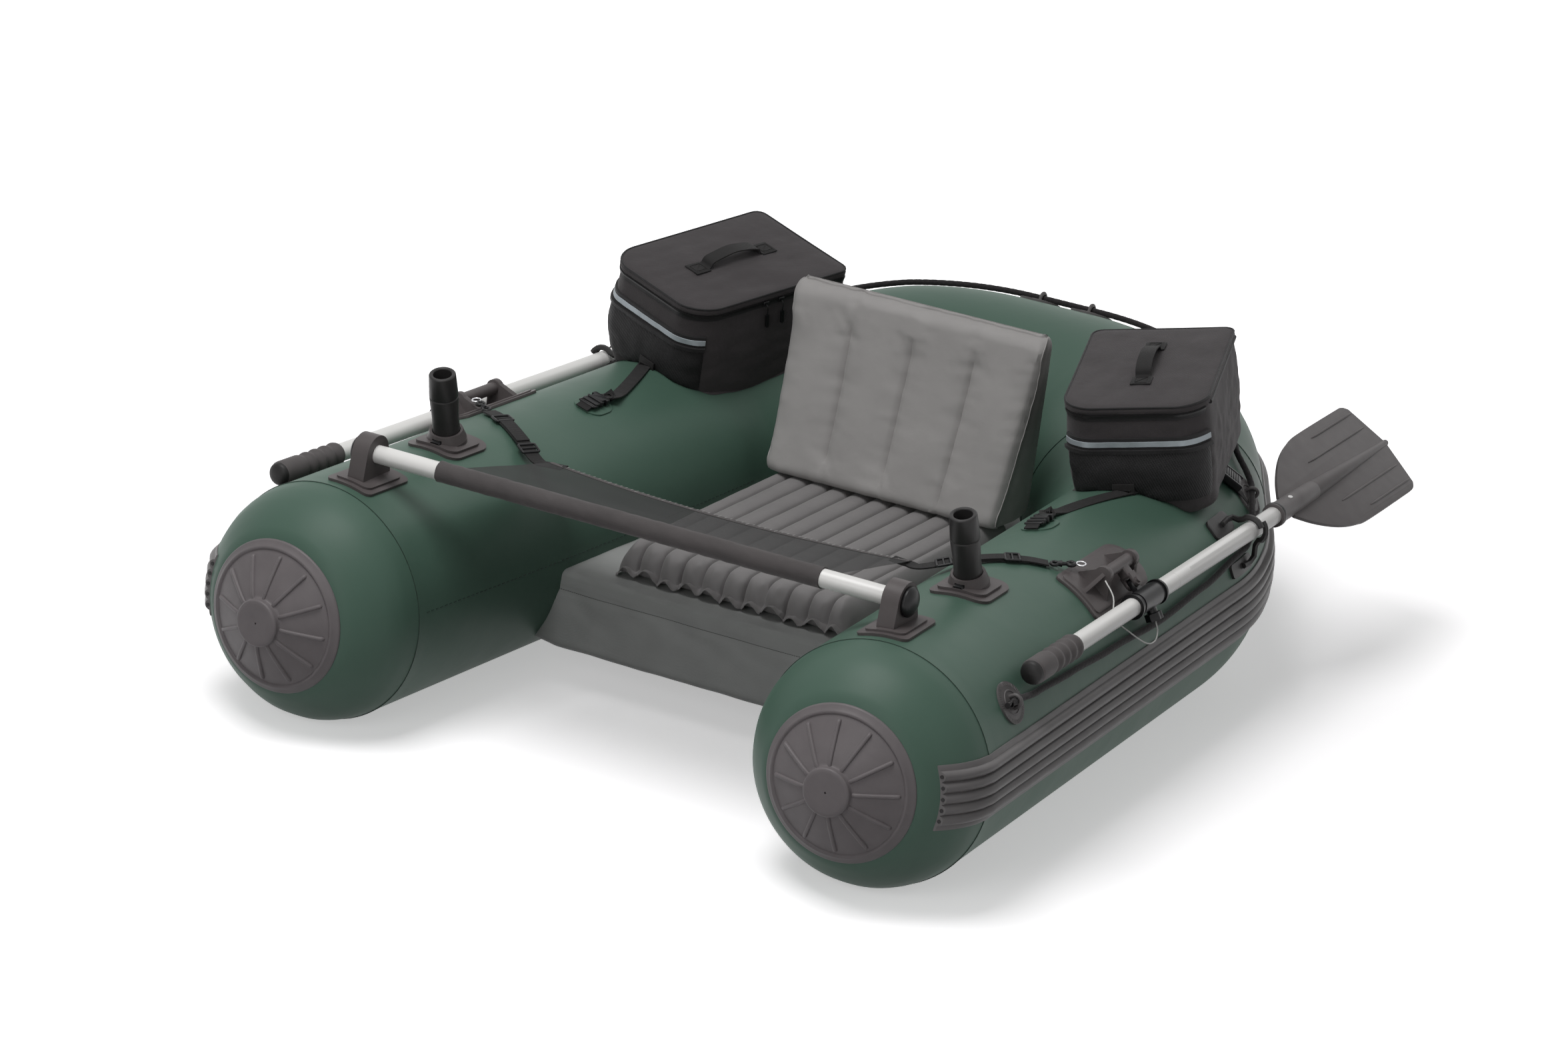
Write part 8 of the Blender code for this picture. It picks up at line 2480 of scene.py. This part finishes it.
def build_bag_trim(loop, place):
    front_edge = -BAG_LENGTH / 2 + BAG_CORNER * 0.55

    def in_front(spot):
        return spot.y < front_edge

    front = ordered_from(loop, in_front)
    strip_z = BAG_TOP - STRIP_DROP
    pieces = []
    strip = wall_band("right_bag_strip", front, strip_z, STRIP_WIDTH, in_front, 0.0009, place,
                      POCKET_PROUD * 0.55)
    pieces.append((strip, "reflective", "strip"))
    edge = wall_band("right_bag_strip_edge", front, strip_z, STRIP_WIDTH * 2.3, in_front,
                     POCKET_PROUD * 0.55, place)
    pieces.append((edge, "bag_trim", "strip_edge"))
    spots = [spot for spot in front if in_front(spot)]
    rows = []
    low, high = BAG_BOTTOM + 0.030, strip_z - STRIP_WIDTH * 1.1
    for i, spot in enumerate(spots):
        part = i / (len(spots) - 1)
        ring = []
        for k in range(POCKET_STEPS + 1):
            share = k / POCKET_STEPS
            z = low + (high - low) * share
            point, normal = bag_wall(spot, z)
            belly = POCKET_PROUD * (0.5 + 0.9 * math.sin(math.pi * min(1.0, (1 - share) * 0.9 + 0.1)))
            side = min(1.0, 6 * part, 6 * (1 - part)) ** 0.5
            droop = 0.0024 * ripple((part * 0.16, share * 0.10, 1.0), 0.04, 3.0)
            ring.append(place @ moved_out(point, normal, (belly + droop) * side))
        for share, z in ((1.0, high), (0.5, (low + high) / 2), (0.0, low)):
            point, normal = bag_wall(spot, z)
            ring.append(place @ moved_out(point, normal, -POCKET_SINK))
        rows.append(ring)
    pocket = grid_surface("right_bag_pocket", [[off_hull(p) for p in ring] for ring in rows],
                          close_around=True, cap=True)
    pieces.append((pocket, "bag_mesh", "pocket"))
    pocket_rim = wall_band("right_bag_pocket_rim", front, high - 0.002, 0.0065, in_front,
                           POCKET_PROUD * 1.15, place)
    pieces.append((pocket_rim, "bag_trim", "pocket_rim"))

    hinge_x = BAG_WIDTH / 2 - 0.004

    def has_zip(spot):
        return spot.x < hinge_x

    around = ordered_from(loop, has_zip)
    tape = wall_band("right_bag_zip_tape", around, BAG_TOP - ZIP_WIDTH * 0.5, ZIP_WIDTH, has_zip, 0.0010,
                     place)
    pieces.append((tape, "bag_trim", "zip_tape"))
    teeth = wall_band("right_bag_zip", around, BAG_TOP - ZIP_WIDTH * 0.32, 0.0034, has_zip, 0.0022, place,
                      0.0004)
    pieces.append((teeth, "zip_teeth", "zip"))
    for way, label in ((-1, "inner"), (1, "outer")):
        line = []
        spot = Vector((way * (BAG_WIDTH / 2 - BAG_CORNER * 0.30), -BAG_LENGTH / 2 + BAG_CORNER * 0.30))
        for k in range(BAG_SEAM_STEPS + 1):
            z = BAG_BOTTOM + 0.016 + (BAG_HEIGHT - 0.022) * k / BAG_SEAM_STEPS
            point, normal = bag_wall(spot, z)
            line.append(off_hull(place @ moved_out(point, normal, 0.0004)))
        pieces.append((tube("right_bag_" + label + "_seam", line, PIPING_R * 0.8, 2), "bag_trim",
                       label + "_seam"))
    for piece, look, label in pieces:
        piece = dress(piece, look)
        piece.name = "right_bag_" + label
        flipped(piece, "left_bag_" + label)
    build_zip_pulls(place)


def build_zip_pulls(place):
    for index, y in enumerate((-0.02, 0.012)):
        point, _ = bag_wall(Vector((-BAG_WIDTH / 2, y)), BAG_TOP - ZIP_WIDTH * 0.4)
        out = Vector((-1, 0, 0))
        slider = block("slider", (0.0045, 0.011, 0.0075), 0.0012, 2)
        apply_matrix(slider, Matrix.Translation(point + out * 0.0025))
        cord = [point + out * 0.004 + Vector((0, 0, -0.001)),
                point + out * 0.0075 + Vector((0, 0.001, -0.006)),
                point + out * 0.007 + Vector((0, 0.002, -0.014)),
                point + out * 0.006 + Vector((0, 0.003, -0.022))]
        loop_cord = tube("pull_cord", smooth_path(cord, 12), 0.0009, 2)
        tag = slab("tag", rounded(0.024, 0.006, (0.0028,) * 4, 3), 0.0028)
        apply_matrix(tag, frame_matrix(point + out * 0.006 + Vector((0, 0.004, -0.031)), (0, 0.12, -1),
                                       (0, 1, 0)))
        pull = joined("right_zip_pull_" + str(index + 1), slider, loop_cord, tag)
        pull = dress(apply_matrix(pull, place), "black_plastic")
        flipped(pull, "left_zip_pull_" + str(index + 1))


def build_bag_lid(place):
    rows = []
    loop = even_loop(bag_outline(), BAG_LOOP_POINTS)
    levels = [(-BAG_LID_THICK, 0.0012), (-BAG_LID_THICK * 0.94, 0.0), (-BAG_LID_THICK * 0.6, -0.0006),
              (-BAG_LID_THICK * 0.34, 0.0), (-BAG_LID_THICK * 0.18, 0.0014),
              (-BAG_LID_THICK * 0.06, 0.0046)]
    for z, shrink in levels:
        ring = []
        for spot in loop:
            normal = bag_normal(spot)
            ring.append(place @ Vector((spot.x - normal.x * shrink, spot.y - normal.y * shrink, z)))
        rows.append(ring)
    for k in range(1, LID_TOP_RINGS + 1):
        shrink = 0.965 - 0.965 * (k / 14.6)
        ring = []
        for spot in loop:
            x, y = spot.x * shrink, spot.y * shrink
            crown = LID_CROWN * (1 - shrink ** 2.2)
            wave = 0.0019 * ripple((x, y, 0.0), 0.06, 3.0) * min(1.0, (1 - shrink) * 5)
            wave += 0.0012 * ripple((x * 1.6, y * 0.7, 1.0), 0.028, 9.0) * min(1.0, (1 - shrink) * 5)
            ring.append(place @ Vector((x, y, -0.0006 + crown + wave)))
        rows.append(ring)
    lid = grid_surface("right_bag_lid_form", rows, close_around=True, cap=True)
    lid = dress(lid, "bag_fabric", BODY["right_bag_lid"], stands_for="right_bag_lid")
    flipped(lid, "left_bag_lid_form", BODY["left_bag_lid"], stands_for="left_bag_lid")
    piping = []
    for spot in loop:
        normal = bag_normal(spot)
        piping.append(place @ Vector((spot.x - normal.x * 0.0012, spot.y - normal.y * 0.0012,
                                      -BAG_LID_THICK * 0.16)))
    bead = dress(tube("right_bag_piping", piping, PIPING_R, 2, closed=True), "bag_trim",
                 BODY["right_bag_lid"])
    flipped(bead, "left_bag_piping", BODY["left_bag_lid"])
    half = HANDLE_LENGTH / 2
    lift = HANDLE_THICK * 0.3 + 0.0040
    route = [(-half, lift), (-half + HANDLE_FOOT, lift),
             (-half + HANDLE_FOOT * 1.4, lift + HANDLE_RISE * 0.6),
             (0, lift + HANDLE_RISE), (half - HANDLE_FOOT * 1.4, lift + HANDLE_RISE * 0.6),
             (half - HANDLE_FOOT, lift), (half, lift)]
    path = [Vector((0.0012 * ripple((0, p.y, 0), 0.03, 2.0), p.y, max(p.z, lift))) for p in
            smooth_path([(0, y, z) for y, z in route], 64)]
    handle = ribbon("right_bag_handle", path, HANDLE_WIDTH, HANDLE_THICK * 0.8, (1, 0, 0))
    pads = []
    for way in (-1, 1):
        patch = block("pad", (HANDLE_WIDTH * 1.35, HANDLE_FOOT * 1.05, HANDLE_THICK * 0.9), 0.0009, 2)
        centre = way * (half - HANDLE_FOOT * 0.48)
        pads.append(apply_matrix(patch, Matrix.Translation((0, centre, lift - HANDLE_THICK * 0.15))))
        box = [(-1, -1), (1, -1), (1, 1), (-1, 1), (-1, -1), (1, 1)]
        line = [Vector((a * HANDLE_WIDTH * 0.38, centre + b * HANDLE_FOOT * 0.36,
                        lift + HANDLE_THICK * 0.48)) for a, b in box]
        pads.append(tube("cross_stitch", line, 0.0005, 1))
    handle = dress(apply_matrix(joined("right_bag_handle", handle, *pads), place), "webbing_black",
                   BODY["right_bag_lid"])
    flipped(handle, "left_bag_handle", BODY["left_bag_lid"])


def side_release(name, place, length, width, thick):
    """A two-part side-release buckle, in its own X, Y plane, with X along the strap."""
    shell = slab(name, rounded(length * 0.52, width, (width * 0.12,) * 4, 3), thick)
    apply_matrix(shell, Matrix.Translation((length * 0.20, 0, 0)))
    window = [block("window", (length * 0.20, width * 0.22, thick * 2)) for _ in range(2)]
    for way, tool in zip((-1, 1), window):
        apply_matrix(tool, Matrix.Translation((length * 0.16, way * width * 0.47, 0)))
    shell = cut(shell, *window)
    pieces = [shell]
    head = slab("head", rounded(length * 0.22, width * 0.96, (width * 0.12,) * 4, 3), thick * 0.8)
    pieces.append(apply_matrix(head, Matrix.Translation((-length * 0.22, 0, 0))))
    for way in (-1, 1):
        prong = slab("prong", rounded(length * 0.34, width * 0.15, (width * 0.06,) * 4, 3), thick * 0.55)
        pieces.append(apply_matrix(prong, Matrix.Translation((length * 0.02, way * width * 0.36, 0))))
    tongue = slab("tongue", rounded(length * 0.3, width * 0.2, (width * 0.05,) * 4, 3), thick * 0.5)
    pieces.append(apply_matrix(tongue, Matrix.Translation((-length * 0.02, 0, 0))))
    for x in (-length * 0.46, -length * 0.36, length * 0.47):
        pieces.append(tube("bar", [Vector((x, -width * 0.46, 0)), Vector((x, width * 0.46, 0))],
                           thick * 0.2, 4))
    for way in (-1, 1):
        side = [Vector((-length * 0.46, way * width * 0.46, 0)),
                Vector((-length * 0.28, way * width * 0.46, 0))]
        pieces.append(tube("rail", side, thick * 0.22, 4))
    return apply_matrix(joined(name, *pieces), place)


def build_bag_fastenings(place):
    lift = SKIN_BOW + TAB_PATCH_THICK + SKIN_GAP
    seat = skin_matrix(TAB_RUN, TAB_DEG, lift + TAB_BUCKLE_THICK / 2)
    buckle = side_release("right_bag_buckle_form", seat, TAB_BUCKLE_LENGTH, TAB_BUCKLE_WIDTH,
                          TAB_BUCKLE_THICK * 0.72)
    buckle = dress(buckle, "black_plastic", stands_for="right_bag_buckle", edge=0.0007)
    flipped(buckle, "left_bag_buckle_form", stands_for="left_bag_buckle")
    start = seat @ Vector((TAB_BUCKLE_LENGTH * 0.40, 0, 0.0012))
    spot = Vector((-BAG_WIDTH * 0.10, -BAG_LENGTH / 2 - BAG_BOW * 0.9))
    wall = [place @ (bag_wall(spot, z)[0] + Vector((0, -out, 0))) for z, out in
            ((BAG_TOP - 0.118, 0.0095), (BAG_TOP - 0.136, 0.0105), (BAG_TOP - 0.152, 0.010))]
    middle = skin(TAB_RUN + 0.052, TAB_DEG + 1, lift + 0.004)
    route = [start, start.lerp(middle, 0.55) + Vector((0, 0, 0.0005)), middle] + wall[::-1]
    path = [off_hull(p, 0.0026) for p in smooth_path(route, 40)]
    tab = ribbon("right_bag_tab", path, TAB_WEB_WIDTH, TAB_WEB_THICK * 0.8, side_of(path[0], path[1]))
    sewn = block("sewn", (0.034, 0.0022, 0.026), 0.0008, 2)
    apply_matrix(sewn, place @ Matrix.Translation(bag_wall(spot, BAG_TOP - 0.122)[0]
                                                  + Vector((0, -0.0090, 0))))
    tab = dress(joined("right_bag_tab", tab, sewn), "webbing_black")
    flipped(tab, "left_bag_tab")
    front_web = [seat @ Vector((-TAB_BUCKLE_LENGTH * a, 0, b))
                 for a, b in ((0.40, 0.0008), (0.58, -0.0028), (0.72, -0.0046))]
    web = ribbon("right_patch_tab", smooth_path(front_web, 14), TAB_WEB_WIDTH, TAB_WEB_THICK * 0.8,
                 seat.to_3x3() @ Vector((0, 1, 0)))
    web = dress(web, "webbing_black")
    flipped(web, "left_patch_tab")
    build_rear_strap()


def side_of(near, far):
    ahead = (far - near).normalized()
    return ahead.cross(Vector((0, 0, 1))).normalized()


REAR_STRAP_DEGREES = (86, 78, 70, 62, 54, 47, 41)
REAR_STRAP_LIFT = 0.0022
CAM_DEG = 56
CAM_LIFT = 0.0042
CAM_RIDGES = 6
CAM_RIDGE_R = 0.0011


def build_rear_strap():
    """The strap that leaves the bag's outer foot and is held to the tube by a cam buckle."""
    points = [skin(REAR_STRAP_RUN, degrees, REAR_STRAP_LIFT) for degrees in REAR_STRAP_DEGREES]
    strap = ribbon("right_rear_strap", smooth_path(points, 40), TAB_WEB_WIDTH * 1.2, TAB_WEB_THICK,
                   hull_section(REAR_STRAP_RUN)[2])
    strap = dress(strap, "webbing_black")
    flipped(strap, "left_rear_strap")
    seat = skin_matrix(REAR_STRAP_RUN, CAM_DEG, CAM_LIFT + CAM_BUCKLE_THICK / 2)
    seat = seat @ Matrix.Rotation(math.pi / 2, 4, "Z")
    shell = block("right_cam_buckle", (CAM_BUCKLE_LENGTH, CAM_BUCKLE_WIDTH, CAM_BUCKLE_THICK), 0.0028, 3)
    ridges = []
    for k in range(CAM_RIDGES):
        x = CAM_BUCKLE_LENGTH * (-0.34 + 0.115 * k)
        line = [Vector((x, -CAM_BUCKLE_WIDTH * 0.36, CAM_BUCKLE_THICK * 0.5)),
                Vector((x, CAM_BUCKLE_WIDTH * 0.36, CAM_BUCKLE_THICK * 0.5))]
        ridges.append(tube("ridge", line, CAM_RIDGE_R, 3))
    for way in (-1, 1):
        cheek = slab("cheek", rounded(CAM_BUCKLE_LENGTH * 1.12, CAM_BUCKLE_THICK * 1.15, (0.003,) * 4, 3),
                     0.0032)
        upright = frame_matrix((0, way * CAM_BUCKLE_WIDTH * 0.53, 0), (1, 0, 0), (0, 0, 1))
        ridges.append(apply_matrix(cheek, upright))
    buckle = dress(apply_matrix(joined("right_cam_buckle", shell, *ridges), seat), "black_plastic",
                   edge=0.0005)
    flipped(buckle, "left_cam_buckle")


def build_bags():
    place = bag_place()
    loop = build_bag_body(place)
    build_bag_trim(loop, place)
    build_hinge_roll(place)
    build_bag_lid(place)
    build_bag_fastenings(place)


# Floor, world and lamps
FLOOR_REACH = 14
FLOOR_GLOW_NEAR = 0.42
FLOOR_GLOW_FROM = 0.75
FLOOR_GLOW_TO = 1.9
FLOOR_SHADE = (0.30, 0.295, 0.30, 1)
FLOOR_TINT = (1.0, 0.985, 1.0, 1)
WHITE = (1, 1, 1, 1)
WORLD_LEVEL = 0.10
LAMPS = (("key", (-0.5, -1.5, 4.4), (0.0, 0.0, 0.2), 2.4, 122.0),
         ("front_fill", (0.4, -4.6, 2.0), (0.0, 0.0, 0.25), 2.0, 30.0),
         ("side_fill", (4.4, -1.6, 2.6), (0.0, 0.0, 0.3), 2.4, 10.0),
         ("back", (0.4, 4.2, 3.4), (0.0, 0.0, 0.4), 2.4, 14.0))


def seen_rays(tree):
    """One for the rays in which the background shows: camera, mirror and clear ones."""
    path = tree.nodes.new("ShaderNodeLightPath")
    value = path.outputs["Is Camera Ray"]
    for name in ("Is Glossy Ray", "Is Transmission Ray"):
        either = tree.nodes.new("ShaderNodeMath")
        either.operation = "MAXIMUM"
        tree.links.new(value, either.inputs[0])
        tree.links.new(path.outputs[name], either.inputs[1])
        value = either.outputs[0]
    return value


def mixed(tree, share, first, second):
    """Two shaders mixed by a share."""
    mix = tree.nodes.new("ShaderNodeMixShader")
    tree.links.new(share, mix.inputs[0])
    tree.links.new(first, mix.inputs[1])
    tree.links.new(second, mix.inputs[2])
    return mix.outputs[0]


def build_floor_look():
    """A floor that shows white, keeps the shadow and throws little light back."""
    floor = bpy.data.materials.new("studio_floor")
    floor.use_nodes = True
    tree = floor.node_tree
    shade = tree.nodes["Principled BSDF"]
    shade.inputs["Base Color"].default_value = FLOOR_SHADE
    shade.inputs["Roughness"].default_value = 0.9
    shade.inputs["Specular IOR Level"].default_value = 0.0
    pale = tree.nodes.new("ShaderNodeBsdfDiffuse")
    pale.inputs["Color"].default_value = FLOOR_TINT
    glow = tree.nodes.new("ShaderNodeEmission")
    glow.inputs["Color"].default_value = WHITE
    glow.inputs["Strength"].default_value = 1.0
    place = tree.nodes.new("ShaderNodeTexCoord").outputs["Object"]
    away = tree.nodes.new("ShaderNodeVectorMath")
    away.operation = "LENGTH"
    tree.links.new(place, away.inputs[0])
    spread = tree.nodes.new("ShaderNodeMapRange")
    spread.interpolation_type = "SMOOTHSTEP"
    spread.inputs["From Min"].default_value = FLOOR_GLOW_FROM
    spread.inputs["From Max"].default_value = FLOOR_GLOW_TO
    spread.inputs["To Min"].default_value = FLOOR_GLOW_NEAR
    spread.inputs["To Max"].default_value = 1.0
    tree.links.new(away.outputs["Value"], spread.inputs["Value"])
    tree.links.new(spread.outputs["Result"], glow.inputs["Strength"])
    sum_up = tree.nodes.new("ShaderNodeAddShader")
    tree.links.new(pale.outputs[0], sum_up.inputs[0])
    tree.links.new(glow.outputs[0], sum_up.inputs[1])
    out = mixed(tree, seen_rays(tree), shade.outputs[0], sum_up.outputs[0])
    tree.links.new(out, tree.nodes["Material Output"].inputs["Surface"])
    return floor


def build_stage():
    mesh = bpy.data.meshes.new("studio_floor")
    corners = [(x * FLOOR_REACH, y * FLOOR_REACH, 0) for x, y in ((-1, -1), (1, -1), (1, 1), (-1, 1))]
    mesh.from_pydata(corners, [], [(0, 1, 2, 3)])
    mesh.materials.append(build_floor_look())
    ground = new_object("studio_floor", mesh)
    world = bpy.data.worlds.new("studio")
    bpy.context.scene.world = world
    world.use_nodes = True
    tree = world.node_tree
    plain = tree.nodes["Background"]
    plain.inputs["Color"].default_value = WHITE
    plain.inputs["Strength"].default_value = WORLD_LEVEL
    bright = tree.nodes.new("ShaderNodeBackground")
    bright.inputs["Color"].default_value = WHITE
    bright.inputs["Strength"].default_value = 1.0
    out = mixed(tree, seen_rays(tree), plain.outputs[0], bright.outputs[0])
    tree.links.new(out, tree.nodes["World Output"].inputs["Surface"])


def build_lamps():
    for name, place, target, size, power in LAMPS:
        data = bpy.data.lights.new(name, "AREA")
        data.shape = "SQUARE"
        data.size = size
        data.energy = power
        lamp = new_object(name, data)
        toward = (Vector(target) - Vector(place)).normalized()
        lamp.matrix_world = Matrix.Translation(place) @ toward.to_track_quat("-Z", "Y").to_matrix().to_4x4()


build_camera()
build_oarlocks()
build_hull()
build_caps()
build_strake()
build_grab_line()
build_valve_caps()
build_seat()
build_crossbar()
build_apron()
build_rod_holders()
build_keepers()
build_bags()
bpy.data.objects.remove(HULL_CUTTER, do_unlink=True)
build_stage()
build_lamps()
bpy.context.scene.view_settings.view_transform = "Standard"
